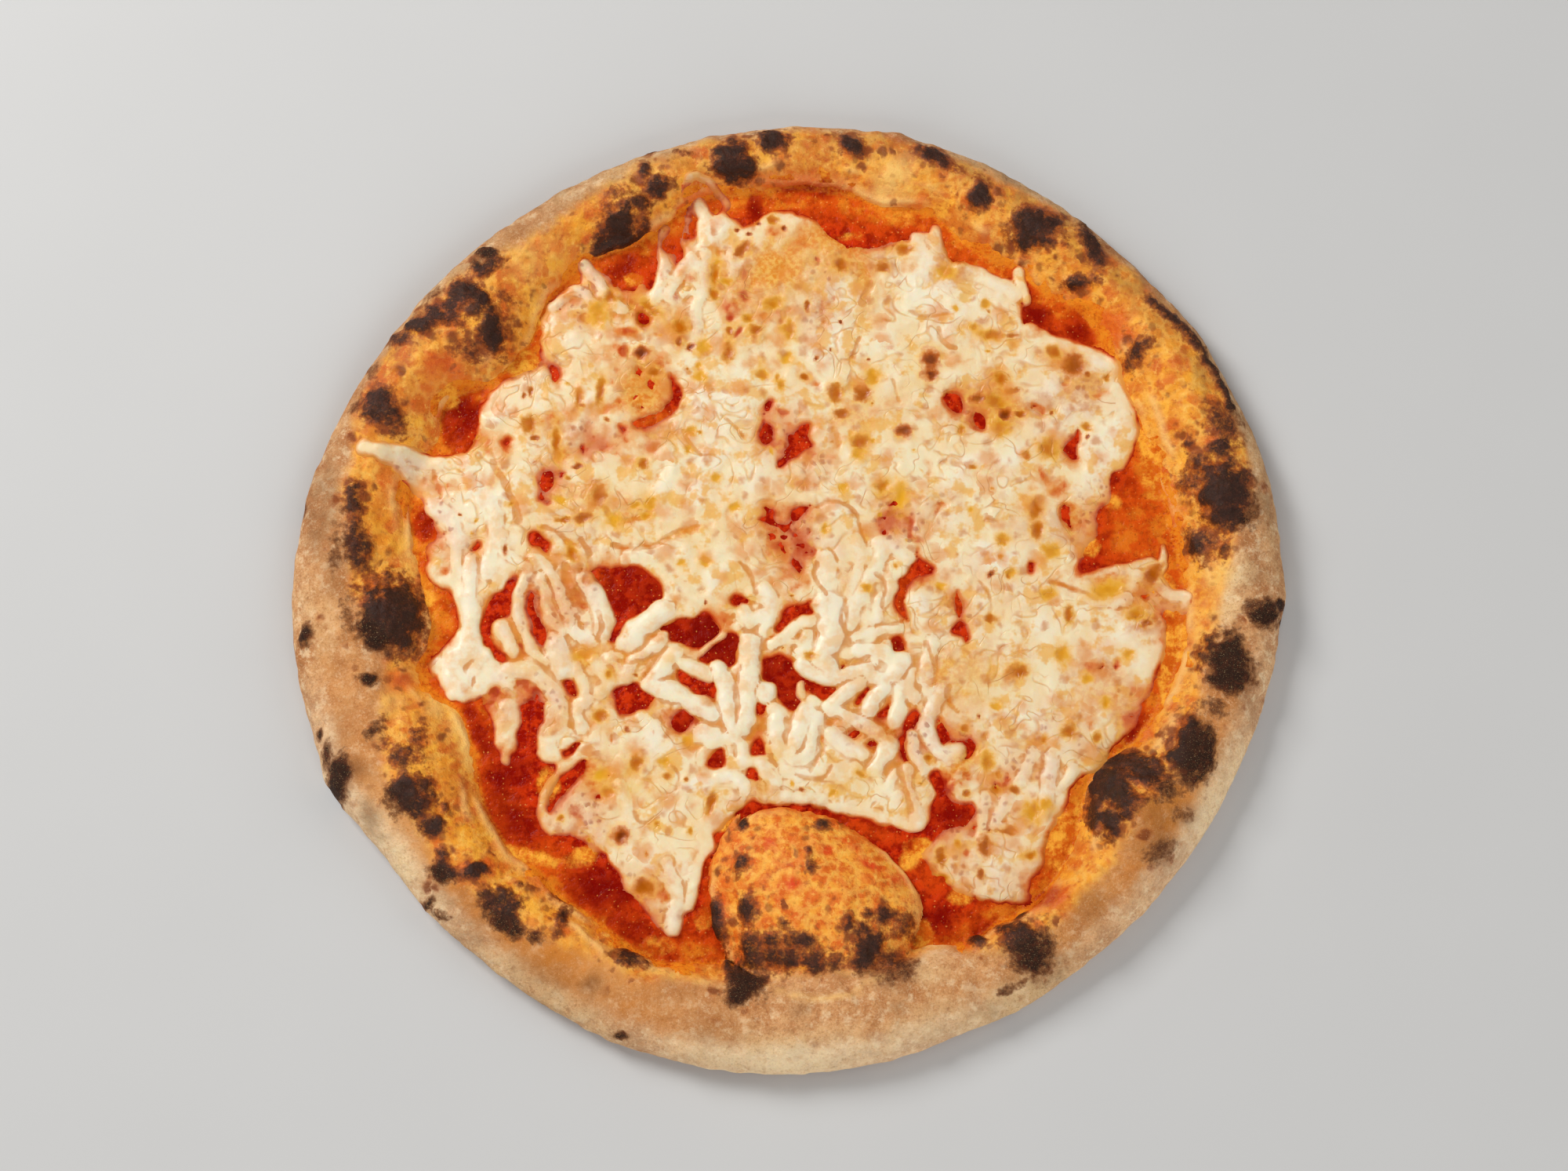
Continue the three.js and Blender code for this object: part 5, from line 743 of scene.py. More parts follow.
# where the sauce is no more than a stain on golden dough
SAUCE_GOLD = [
    (42, -112, 6, 5, 0, 1.0), (42, -84, 4, 4, 0, 0.8), (-87, 74, 6, 6, 0, 1.0), (-51, 103, 4, 3, 0, 0.8),
    (-77, -64, 4, 6, 0, 0.7), (-65, -86, 5, 4, 0, 0.8), (-20, -76, 5, 4, 0, 0.9), (97, 14, 5, 4, 0, 0.7),
    (-27, -107, 5, 5, 0, 0.5), (55, -100, 6, 4, 0, 0.7), (94, -74, 5, 6, 0, 0.8), (106, 29, 4, 4, 0, 0.6),
    (121, 46, 7, 18, 0, 1.0), (125, -27, 6, 24, 0, 1.0), (121, -1, 6, 6, 0, 0.8), (112, 70, 6, 9, 30, 1.0),
    (88, -84, 6, 14, 0, 1.0), (102, -60, 7, 9, 40, 1.0), (56, 124, 10, 5, -30, 0.8), (38, 124, 9, 4, -10, 0.5),
    (-113, 64, 5, 6, 0, 0.8), (-84, -87, 12, 3, -15, 0.75), (-68, -89, 8, 3, -5, 0.45), (38, -88, 4, 6, 0, 0.7), (-117, -8, 4, 12, 0, 0.7), (-121, 34, 4, 8, 0, 0.6),
    (-66, 114, 6, 5, 0, 0.6), (5, 140, 24, 3, 0, 0.5), (-42, -116, 7, 5, 0, 0.5), (20, 118, 8, 3, 0, 0.5),
    (-91, 76, 5, 8, 20, 0.6), (-82, 92, 5, 7, 30, 0.7),
]
# where the cheese is whitest, and where it is a translucent peach gold [x, y, rx, ry, turn, strength]
WHITE = [
    (-83, -35, 4, 3, 0, 0.5),
    (42, -5, 5, 6, 0, 0.8), (90, 54, 7, 5, 0, 0.8), (-69, -17, 6, 5, 0, 0.9), (20, 25, 6, 6, 0, 1.0),
    (58, 1, 5, 5, 0, 0.9), (65, -5, 6, 5, 0, 0.9), (77, -2, 7, 6, 0, 1.0), (-47, -89, 6, 6, 0, 0.9),
    (68, -43, 8, 6, 0, 0.9), (110, -14, 7, 6, 0, 0.9), (103, -17, 6, 6, 0, 0.9), (51, 24, 6, 5, 0, 0.8),
    (-25, 41, 7, 6, 0, 0.9), (77, -68, 6, 6, 0, 0.8), (21, 98, 6, 6, 0, 1.0), (57, -40, 7, 4, 0, 0.7),
    (-45, 18, 6, 4, 0, 0.8), (-89, 28, 5, 6, 0, 0.8), (-13, 21, 4, 4, 0, 0.6), (-8, 88, 5, 4, 0, 0.7),
    (8, 81, 7, 5, 0, 0.9), (-9, 6, 5, 5, 0, 0.8), (85, -13, 8, 6, 0, 0.9), (88, -55, 6, 6, 0, 0.7),
    (-22, 4, 7, 5, 0, 0.8), (67, -89, 7, 5, 0, 0.9), (17, 86, 6, 5, 0, 0.9), (-36, 24, 6, 4, 0, 0.8),
    (67, 10, 7, 6, 0, 0.8), (50, 92, 9, 6, 0, 0.8), (-15, 67, 6, 6, 0, 0.7), (-18, -28, 5, 8, 0, 0.6),
    (-29, 122, 4, 8, 0, 1.0), (-30, 113, 5, 6, 0, 1.0), (-22, 124, 5, 4, 0, 0.8), (-16, 110, 3, 5, 0, 0.8),
    (-43, 103, 4, 4, 0, 0.7), (-53, 101, 4, 3, 0, 0.6),
]
PEACH = [
    (54, -62, 6, 5, 0, 1.9), (-77, -46, 5, 4, 0, 1.8), (-71, 57, 4, 3, 0, 1.4), (-72, -53, 3, 3, 0, 1.4), (-79, 54, 6, 5, 0, 1.5), (-8, -66, 4, 3.5, 0, 1.9),
    (-73, 98, 4, 3, 0, 1.5), (-34, 104, 5, 4, 0, 1.7), (81, 85, 4, 3, 0, 1.5), (-43, 77, 5, 4, 0, 1.4),
    (-5, -15, 3, 3, 0, 1.3), (4, -16, 3, 3, 0, 1.2), (-43, -17, 4, 3, 0, 1.35), (-20, -57, 3, 3, 0, 1.3),
    (-84, 7, 4, 4, 0, 1.35), (-19, 93, 3, 4, 0, 1.4), (-26, -37, 3, 3, 0, 1.2), (88, 33, 4, 4, 0, 1.2),
    (40, 108, 4, 3, 0, 1.1), (-53, -15, 3, 3, 0, 1.3), (-112, 5, 3, 3, 0, 1.2), (81, 37, 4, 4, 0, 1.2),
    (31, -48, 4, 3, 0, 1.4), (-35, -5, 3, 3, 0, 1.2), (-46, -29, 3, 3, 0, 1.2), (-109, -18, 3, 3, 0, 1.2),
    (-38, -100, 4, 3, 0, 1.1), (-65, 3, 3, 3, 0, 1.4), (-16, 83, 3, 4, 0, 1.2), (-104, -34, 3, 3, 0, 1.1),
    (8, -5, 3, 3, 0, 1.15), (-54, 78, 4, 3, 0, 1.3), (-54, 85, 4, 3, 0, 1.2), (-4, 120, 4, 3, 0, 1.1),
    (-110, 34, 4, 3, 0, 1.0), (-77, -52, 4, 3, 0, 0.6),
     (-34, 103, 6, 5, 0, 0.8), (-55, 79, 6, 5, 0, 0.9), (-21, 93, 3, 6, 0, 0.9),
    (-93, 46, 6, 5, 0, 0.8), (-44, 77, 6, 4, 0, 0.8), (81, 36, 6, 5, 0, 0.8), (-73, 77, 4, 4, 0, 0.7),
    (-52, 49, 6, 5, 0, 0.7), (-16, 82, 4, 5, 0, 0.7), (-43, 46, 6, 4, 0, 0.7), (94, 5, 6, 4, 0, 0.7),
    (15, 40, 5, 4, 0, 0.6), (-5, -15, 4, 3, 0, 0.7), (4, -16, 4, 3, 0, 0.6), (8, -9, 3, 4, 0, 0.6),
    (-42, -17, 6, 3, 0, 0.8), (-34, -5, 4, 3, 0, 0.6), (-33, -22, 4, 3, 0, 0.7), (31, -46, 6, 4, 0, 0.9),
    (-26, -37, 5, 3, 0, 0.6), (-56, -82, 4, 4, 0, 0.9), (-59, -46, 5, 4, 0, 0.8), (-89, -22, 6, 5, 0, 0.8),
    (-87, 5, 6, 5, 0, 0.9), (-80, -8, 9, 13, 0, 0.55), (-82, -32, 12, 5, 0, 0.7), (-91, -46, 5, 11, 0, 0.8),
    (-74, -43, 4, 9, 0, 0.7), (-77, -66, 6, 11, 0, 0.75), (-60, -28, 7, 7, 0, 0.6), (-93, -34, 5, 4, 0, 1.0),
    (-102, -36, 4, 2.5, 0, 0.7),  (-22, -53, 4, 3, 0, 0.5), 
     (-46, -29, 5, 4, 0, 0.6), (-51, -22, 5, 4, 0, 0.5), (-69, 66, 6, 5, 0, 0.5),
]
# round the rim by bearing: browner golden skin; a darker brown outer edge, mostly on the back of the rim, that is
# partly scorching and partly painted shade; a whiter outer edge on the front of the rim that is partly flour and partly
# painted light
TAN_RIM = [(0, 0.0), (165, 0.1), (180, 0.35), (210, 0.60), (240, 1.00), (255, 0.50), (270, 0.15), (300, 0.30), (330, 0.95), (345, 0.40), (360, 0.0)]
SCORCH_AND_SHADE_RIM = [(0, 0.10), (20, 0.40), (30, 0.50), (60, 0.62), (90, 0.35), (120, 0.55), (150, 0.50), (170, 0.10), (190, 0.0), (225, 0.0), (240, 0.45), (255, 0.10), (285, 0.05), (300, 0.30), (315, 0.0), (350, 0.0), (360, 0.10)]
# the whiter front edge is partly flour and partly painted light
FLOUR_AND_LIGHT_RIM = [(0, 0.0), (190, 0.0), (205, 0.50), (225, 0.25), (240, 0.0), (255, 0.25), (270, 0.60), (290, 0.30), (300, 0.0), (315, 0.20), (330, 0.50), (345, 0.20), (360, 0.0)]


# ---------------------------------------------------------------- dough shape
def around(table, sigma=0.9):
    """A round table of (deg, value) as a softened curve of the angle."""
    a = np.array([t[0] for t in table] + [table[0][0] + 360.0])
    v = np.array([t[1] for t in table] + [table[0][1]], float)
    q = np.arange(0, 360, 0.25)
    w = np.interp(q, a, v)
    f = np.fft.rfft(w) * np.exp(-0.5 * (np.arange(721) * math.radians(sigma)) ** 2)
    w = np.fft.irfft(f, 1440)
    q, w = np.append(q, 360.0), np.append(w, w[0])
    return lambda deg: np.interp(deg % 360, q, w)


def swell(deg, items):
    s = 0
    for a, size, spread in items:
        d = ((deg - a + 180) % 360 - 180) / spread
        s = s + size * np.exp(-d * d)
    return s


def outline(deg):
    r = MEAN_RADIUS + swell(deg, OUTLINE_KNOBS)
    for n, amp, ph in OUTLINE_WAVES:
        r = r + amp * np.cos(np.radians(n * deg - ph))
    return r


plain_foot = around(FOOT_AT)
creep_to = around(CREEP_TO)
gold_edge = around(GOLD_EDGE, 1.5)


def foot(deg):
    d = np.abs((deg - BUBBLE["bearing"] + 180) % 360 - 180) / BUBBLE["half"]
    return plain_foot(deg) - BUBBLE["reach"] * np.exp(-d ** 5)


def crest_inset(deg):
    return CREST_INSET - CREST_SWING * np.sin(np.radians(deg))


def crest_height(deg):
    return (RIM_HEIGHT + swell(deg, HEIGHT_SWELLS) + 0.5 * np.sin(np.radians(7 * deg) + 1)
            + 0.35 * np.sin(np.radians(13 * deg)))


def bubble_depth(x, y):
    u = x - BUBBLE["x"] + BUBBLE["lean"] * np.maximum(0, y - BUBBLE["y"])
    return (u / BUBBLE["rx"]) ** 2 + ((y - BUBBLE["y"]) / BUBBLE["ry"]) ** 2


def rim_top(r, deg):
    """Height of the dough's upper face before its small lumps."""
    R, f = outline(deg), plain_foot(deg)
    c, H = R - crest_inset(deg), crest_height(deg)
    x, y = r * np.cos(np.radians(deg)), r * np.sin(np.radians(deg))
    s = np.clip((r - f) / (c - f), 0, 1)
    t = np.clip((r - c) / (R - c), 0, 1)
    rise = 0.7 * (1 - (1 - s) ** 2) + 0.3 * s * s * (3 - 2 * s)
    z = np.where(r < c, BASE + (H - BASE) * rise, EDGE_Z + (H - EDGE_Z) * np.sqrt(1 - t * t))
    e = bubble_depth(x, y)
    d = BUBBLE["rise"] * np.clip(1 - e, 0, 1) ** 0.62
    p = z - BASE
    h = np.clip(0.5 + 0.5 * (d - p) / 5, 0, 1)
    joined = BASE + p * (1 - h) + d * h + 5 * h * (1 - h) * np.minimum(1, d / 3)
    z = np.where(e < 1, joined, z)
    keep = 1 - t ** 4
    start = np.clip((r - foot(deg)) / 5, 0, 1)
    for bx, by, rx, ry, rise in BLISTERS:
        q = ((x - bx) / rx) ** 2 + ((y - by) / ry) ** 2
        z = z + rise * np.clip(1 - q, 0, 1) ** 2 * keep * start
    return z


def char_field(x, y):
    c = ellipses(x, y, CHAR, 31, rough=0.75, inner=0.25, outer=1.75, size=5.0)
    for pts, w, k in CHAR_STROKES:
        q = path_distance(x, y, rounded(pts)) / (w + 0.6) + 0.9 * fbm(x, y, 3.5, 3, 77, 0.6)
        c = np.maximum(c, k * smooth(1.6, 0.1, q))
    return c


def lumps(x, y):
    """Small unevenness of the dough's skin, mm."""
    d = 0.85 * fbm(x, y, 26, 2, 3) + 0.55 * fbm(x, y, 11, 2, 5) + 0.24 * fbm(x, y, 4.6, 2, 9)
    f1, f2, rid = cells(x, y, 7.5, 21)
    d = d + 0.6 * np.clip(1 - (f1 / 0.55) ** 2, 0, 1) ** 1.5 * (rid > 0.45)
    f1, f2, rid = cells(x, y, 3.6, 23)
    return d + 0.22 * np.clip(1 - (f1 / 0.5) ** 2, 0, 1) * (rid > 0.35)


def folds(r, deg, x, y):
    """Thin rolled folds of dough that run along the foot of the rim, 0 to 1."""
    f = plain_foot(deg)
    wob = 1.3 * fbm(x, y, 12, 2, 15)
    on = smooth(0.02, 0.35, fbm(x * 0.6, y * 0.6, 13, 2, 17) + 0.12)
    a = np.exp(-((r - f - 3.2 - wob) / 1.15) ** 2) * on
    on2 = smooth(0.05, 0.4, fbm(x * 0.6, y * 0.6, 11, 2, 19))
    b = np.exp(-((r - f - 7.5 - 1.6 * wob) / 1.3) ** 2) * on2
    ring = bubble_depth(x, y)
    c = np.exp(-((ring - 0.93) / 0.05) ** 2) * smooth(0, 0.4, fbm(x, y, 14, 2, 20) + 0.2)
    return np.clip(a + b + c, 0, 1)


def dough_surface(x, y):
    """Height of the finished dough seen from above, inside the crest."""
    r = np.hypot(x, y)
    deg = np.degrees(np.arctan2(y, x)) % 360
    z = rim_top(np.minimum(r, outline(deg) - 1e-3), deg)
    grow = smooth(0, 9, r - foot(deg))
    return z + grow * lumps(x, y) * 0.9 + 0.75 * folds(r, deg, x, y) * smooth(0, 2, r - foot(deg))


def polar_spots(x, y, items, seed, rough=0.4, inner=0.3, outer=1.4, size=5.0):
    """[deg, radius, half width along the rim, half width across, strength]."""
    out = []
    for a, r, w, h, k in items:
        out.append((r * math.cos(math.radians(a)), r * math.sin(math.radians(a)), h, w, a, k))
    return ellipses(x, y, out, seed, rough, inner, outer, size)


# ---------------------------------------------------------------- meshes
def make_object(name, verts_mm, faces, attrs, node):
    """faces: (n,3) int array. attrs: {name: values per vertex}."""
    co = np.array(verts_mm, float)
    co[:, 0] = co[:, 0] * SIZE + CX
    co[:, 1] = co[:, 1] * SIZE + CY
    co[:, 2] = co[:, 2] * SIZE + FLOOR_Z
    co *= 0.001
    me = bpy.data.meshes.new(name)
    me.vertices.add(len(co))
    me.vertices.foreach_set("co", co.astype(np.float32).ravel())
    me.loops.add(len(faces) * 3)
    me.loops.foreach_set("vertex_index", np.asarray(faces, np.int32).ravel())
    me.polygons.add(len(faces))
    me.polygons.foreach_set("loop_start", np.arange(0, len(faces) * 3, 3, dtype=np.int32))
    me.update(calc_edges=True)
    me.polygons.foreach_set("use_smooth", np.ones(len(faces), bool))
    for k, v in attrs.items():
        a = me.attributes.new(k, "FLOAT", "POINT")
        a.data.foreach_set("value", np.asarray(v, np.float32))
    bad = me.validate(verbose=False)
    me.update()
    o = bpy.data.objects.new(name, me)
    bpy.context.scene.collection.objects.link(o)
    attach(o, "root")
    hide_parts(node)
    print(f"{name}: {len(faces)} triangles, changed by validate: {bad}, {time.time() - T0:.1f} s")
    return o


def around_at(deg, table):
    """A strength that changes round the rim: table of (bearing, strength)."""
    return np.interp(np.asarray(deg) % 360, [a for a, _ in table], [b for _, b in table])


def crust_mesh():
    N = 1152
    rows = []                      # (count, deg, r, z, unrolled radius)

    def angles(n):
        return np.arange(n) * 360.0 / n

    def add(n, fr):
        deg = angles(n)
        rows.append((n, deg) + fr(deg))

    for n, s in ((36, 0.2), (72, 0.36), (144, 0.55), (288, 0.74), (576, 0.90)):
        add(n, lambda d, s=s: (foot(d) * s, np.full(d.shape, BASE), foot(d) * s))
    inner, outer, under = 44, 22, 8
    for i in range(inner + 1):
        s = i / inner

        def fr(d, s=s):
            f, c = foot(d), outline(d) - crest_inset(d)
            r = f + (c - f) * s
            return r, rim_top(r, d), r
        add(N, fr)
    for i in range(1, outer + 1):
        a = math.radians(90 * i / outer)

        def fr(d, a=a):
            R, ci = outline(d), crest_inset(d)
            r = R - ci + ci * math.sin(a)
            H = crest_height(d)
            arc = 0.5 * (ci + H - EDGE_Z) * a
            z = rim_top(np.minimum(r, R - 1e-6), d) if i < outer else np.full(d.shape, EDGE_Z)
            return r, z, R - ci + arc
        add(N, fr)
    for i in range(1, under + 1):
        a = math.radians(90 * i / under)

        def fr(d, a=a):
            R, ci = outline(d), crest_inset(d)
            H = crest_height(d)
            arc = 0.5 * (ci + H - EDGE_Z) * math.pi / 2 + 7.0 * a
            return R - TUCK * (1 - math.cos(a)), np.full(d.shape, EDGE_Z * (1 - math.sin(a))), R - ci + arc
        add(N, fr)
    for n, s in ((576, 0.90), (288, 0.74), (144, 0.55), (72, 0.36), (36, 0.2)):
        add(n, lambda d, s=s: (outline(d) * s, np.zeros(d.shape), outline(d) * (1.2 + 0.1 * (1 - s))))

    # positions
    pos, start, qx, qy, kind = [], [], [], [], []
    total = 1
    pos.append(np.array([[0, 0, BASE]]))
    for k, (n, deg, r, z, q) in enumerate(rows):
        start.append(total)
        c, s = np.cos(np.radians(deg)), np.sin(np.radians(deg))
        pos.append(np.stack([r * c, r * s, z], 1))
        qx.append(q * c)
        qy.append(q * s)
        kind.append(np.full(n, k))
        total += n
    pos.append(np.array([[0, 0, 0]]))
    P = np.concatenate(pos)
    QX = np.concatenate([[0]] + qx + [[0]])
    QY = np.concatenate([[0]] + qy + [[0]])
    kind = np.concatenate([[0]] + kind + [[len(rows) - 1]])
    faces = []
    n0 = rows[0][0]
    i = np.arange(n0)
    faces.append(np.stack([np.zeros(n0, int), start[0] + i, start[0] + (i + 1) % n0], 1))
    for k in range(len(rows) - 1):
        a, b = rows[k][0], rows[k + 1][0]
        A, B = start[k], start[k + 1]
        if a == b:
            i = np.arange(a)
            j = (i + 1) % a
            faces.append(np.stack([A + i, B + i, B + j], 1))
            faces.append(np.stack([A + i, B + j, A + j], 1))
        elif b == 2 * a:
            i = np.arange(a)
            j = (i + 1) % a
            m, m1, m2 = 2 * i, 2 * i + 1, (2 * i + 2) % b
            faces += [np.stack([A + i, B + m, B + m1], 1), np.stack([A + i, B + m1, A + j], 1),
                      np.stack([A + j, B + m1, B + m2], 1)]
        else:
            i = np.arange(b)
            j = (i + 1) % b
            m, m1, m2 = 2 * i, 2 * i + 1, (2 * i + 2) % a
            faces += [np.stack([A + m, B + i, A + m1], 1), np.stack([A + m1, B + i, B + j], 1),
                      np.stack([A + m1, B + j, A + m2], 1)]
    e = len(rows) - 1
    n0 = rows[e][0]
    i = np.arange(n0)
    faces.append(np.stack([np.full(n0, total), start[e] + (i + 1) % n0, start[e] + i], 1))
    F = np.concatenate(faces)

    # normals of the smooth shape, then the small lumps along them
    def vertex_normals(P):
        a, b, c = P[F[:, 0]], P[F[:, 1]], P[F[:, 2]]
        n = np.cross(b - a, c - a)
        vn = np.zeros_like(P)
        for k in range(3):
            for ax in range(3):
                vn[:, ax] += np.bincount(F[:, k], n[:, ax], minlength=len(P))
        return vn / (np.linalg.norm(vn, axis=1, keepdims=True) + 1e-12)

    r = np.hypot(P[:, 0], P[:, 1])
    deg = np.degrees(np.arctan2(P[:, 1], P[:, 0])) % 360
    R, f = outline(deg), foot(deg)
    first_under = 5 + inner + 1 + outer
    is_under = kind >= first_under
    is_flat = kind >= first_under + under - 1
    x, y = P[:, 0], P[:, 1]
    char = char_field(x, y)
    char[is_under] = 0
    grow = smooth(0, 9, r - f)
    grow[is_under] = 1
    fold = folds(r, deg, x, y) * smooth(0, 2, r - f)
    fold[is_under] = 0
    amount = lumps(QX, QY) * grow * 0.95 + 0.75 * fold
    # charred blisters stand a little proud and are wrinkled
    wrinkle = 1 - 2.2 * np.abs(fbm(QX, QY, 3.4, 2, 57))
    amount = amount + grow * (0.8 * smooth(0.1, 0.8, char) + 0.55 * smooth(0.35, 0.9, char) * wrinkle)
    fade = np.where(is_under, np.clip((kind - first_under + 1) / under, 0, 1), 0)
    amount = amount * (1 - fade) * np.where(is_flat, 0, 1)
    # keep the outline itself nearly where it was drawn
    edge = smooth(0.86, 1.0, np.clip((r - (R - crest_inset(deg))) / crest_inset(deg), 0, 1))
    amount = amount * (1 - 0.45 * edge)
    vn = vertex_normals(P)
    P = P + vn * amount[:, None] * (kind >= 5)[:, None]
    P[is_flat, 2] = 0
    P[:, 2] = np.maximum(P[:, 2], 0)

    # looks, per vertex
    inset = R - r
    wob = 3.2 * fbm(QX, QY, 12, 4, 41, 0.6)
    gold_side = smooth(-2.4, 2.4, inset - gold_edge(deg) + wob)
    gold_side[is_under] = 0
    flour = 1 - gold_side
    goldness = ellipses(x, y, GOLD, 61, rough=0.45, inner=0.2, outer=1.5, size=6)
    goldness[is_under] = 0
    # sauce stain: what crept up the rim, and fades out there
    d = r - creep_to(deg) + 1.0 + 6.5 * fbm(x, y, 10, 4, 215, 0.65)
    stain = smooth(2.2, -1.5, d) * 0.95
    stain = np.maximum(stain, polar_spots(x, y, STAINS, 75, rough=0.5) * 0.95)
    ring = bubble_depth(x, y)
    stain = stain * smooth(0.86, 1.02, ring + 0.05 * fbm(x, y, 6, 2, 79))
    stain = stain * (1 - 0.8 * ellipses(x, y, SAUCE_GOLD, 217, rough=0.5, inner=0.35, outer=1.35, size=7))
    stain[is_under] = 0
    deep = polar_spots(x, y, DEEP, 83, rough=0.45)
    deep[is_under] = 0
    bub = smooth(1.08, 0.90, ring) * (1 - flour)
    bub[is_under] = 0
    rouge = ellipses(x, y, BUBBLE_RED, 93, rough=0.45, inner=0.2, outer=1.4, size=3) * bub
    scorch = ellipses(x, y, SCORCH, 81, rough=0.45, inner=0.15, outer=1.6, size=6)
    scorch[is_under] = 0
    tan = around_at(deg, TAN_RIM) * smooth(2, 11, inset + 2.5 * fbm(x, y, 7, 3, 231, 0.6))
    # painted shade, partly scorching: darker brown along the outer edge, mostly on the back of the rim
    brown = around_at(deg, SCORCH_AND_SHADE_RIM) * smooth(15, 8, inset + 4.0 * fbm(x, y, 7, 3, 233, 0.6))
    # partly flour, partly painted light: a whiter outer edge on the front of the rim
    flour_and_painted_light = around_at(deg, FLOUR_AND_LIGHT_RIM) * smooth(11, 5, inset + 3.0 * fbm(x, y, 7, 3, 235, 0.6))
    for a in (tan, brown, flour_and_painted_light):
        a[is_under] = 0
    toast = polar_spots(x, y, TOAST, 87, rough=0.4)
    toast[is_under] = 0
    cream = polar_spots(x, y, PALE, 89, rough=0.4, inner=0.2, outer=1.5, size=8)
    cream[is_under] = 0
    # freckles gather round the dark spots
    near = ellipses(x, y, [(a, b, c + 5, d2 + 5, e2, k) for a, b, c, d2, e2, k in CHAR], 97,
                    rough=0.5, inner=0.3, outer=1.5, size=6)
    freckle = np.clip(0.06 + 0.50 * near * (1 - 0.65 * flour) - 0.05 * flour - 0.10 * bub, 0, 1)
    freckle[is_under] = 0.1
    ec = ellipses(x, y, EDGE_CHAR, 91, rough=0.45, inner=0.3, outer=1.5, size=4)
    ec *= smooth(14, 8, inset)
    low = is_under & (kind < first_under + 4)
    ec[is_under & ~low] *= 0.35
    char = np.maximum(char, ec)
    under_on = np.where(is_under, smooth(0, 6, (kind - first_under).astype(float)), 0)
    attrs = dict(char=char, flour=flour, gold=goldness, stain=stain, deep=deep, bub=bub,
                 scorch=scorch, toast=toast, cream=cream, freckle=freckle, fold=fold, rouge=rouge,
                 under=under_on, tan=tan, brown=brown, flour_and_painted_light=flour_and_painted_light)
    return make_object("pizza_crust", P, F, attrs, "crust")


def height_solid(name, X, Y, Z, ZB, keep, attrs, node):
    """Closed solid over the kept cells of a grid: top Z, underside ZB at its
    rim, with a light fill across the hidden underside."""
    keep = keep.copy()
    for _ in range(8):                         # no two cells that touch at a corner only
        a, b, c, d = keep[:-1, :-1], keep[1:, :-1], keep[:-1, 1:], keep[1:, 1:]
        k1 = a & d & ~b & ~c
        k2 = b & c & ~a & ~d
        if not (k1.any() or k2.any()):
            break
        keep[1:, :-1] |= k1
        keep[:-1, :-1] |= k2
    ny, nx = Z.shape
    vid = -np.ones((ny, nx), int)
    used = np.zeros((ny, nx), bool)
    used[:-1, :-1] |= keep
    used[1:, :-1] |= keep
    used[:-1, 1:] |= keep
    used[1:, 1:] |= keep
    n = int(used.sum())
    vid[used] = np.arange(n)
    a, b, c, d = vid[:-1, :-1][keep], vid[:-1, 1:][keep], vid[1:, 1:][keep], vid[1:, :-1][keep]
    # the shorter fold decides the diagonal
    za, zb, zc, zd = Z[:-1, :-1][keep], Z[:-1, 1:][keep], Z[1:, 1:][keep], Z[1:, :-1][keep]
    alt = np.abs(za - zc) > np.abs(zb - zd)
    t1 = np.where(alt[:, None], np.stack([a, b, d], 1), np.stack([a, b, c], 1))
    t2 = np.where(alt[:, None], np.stack([b, c, d], 1), np.stack([a, c, d], 1))
    top = np.concatenate([t1, t2])
    # boundary edges of the kept cells
    E = np.concatenate([top[:, [0, 1]], top[:, [1, 2]], top[:, [2, 0]]])
    key = E[:, 0] * (n + 1) + E[:, 1]
    rev = E[:, 1] * (n + 1) + E[:, 0]
    edge = E[~np.isin(key, rev)]
    rim = np.unique(edge)
    low = -np.ones(n, int)
    low[rim] = n + np.arange(len(rim))
    P = np.stack([X[used], Y[used], Z[used]], 1)
    PB = np.stack([X[used][rim], Y[used][rim], ZB[used][rim]], 1)
    skirt = np.concatenate([np.stack([edge[:, 1], edge[:, 0], low[edge[:, 0]]], 1),
                            np.stack([edge[:, 1], low[edge[:, 0]], low[edge[:, 1]]], 1)])
    bm = bmesh.new()
    bv = [bm.verts.new((p[0], p[1], 0)) for p in PB]
    bm.verts.index_update()
    for e0, e1 in edge:
        bm.edges.new((bv[low[e0] - n], bv[low[e1] - n]))
    bmesh.ops.triangle_fill(bm, use_beauty=True, use_dissolve=False, edges=bm.edges[:], normal=(0, 0, -1))
    bf = np.array([[v.index for v in f.verts] for f in bm.faces], int).reshape(-1, 3)
    bm.free()
    q = PB[bf]
    up = np.cross(q[:, 1, :2] - q[:, 0, :2], q[:, 2, :2] - q[:, 0, :2]) > 0
    bf[up] = bf[up][:, ::-1]
    V = np.concatenate([P, PB])
    F = np.concatenate([top, skirt, bf + n])
    at = {}
    for k, v in attrs.items():
        w = v[used]
        at[k] = np.concatenate([w, w[rim]])
    return make_object(name, V, F, at, node)


def grid(step, reach):
    m = int(reach / step)
    a = np.arange(-m, m + 1) * step
    return np.meshgrid(a, a)


SAUCE_TOP = 4.25


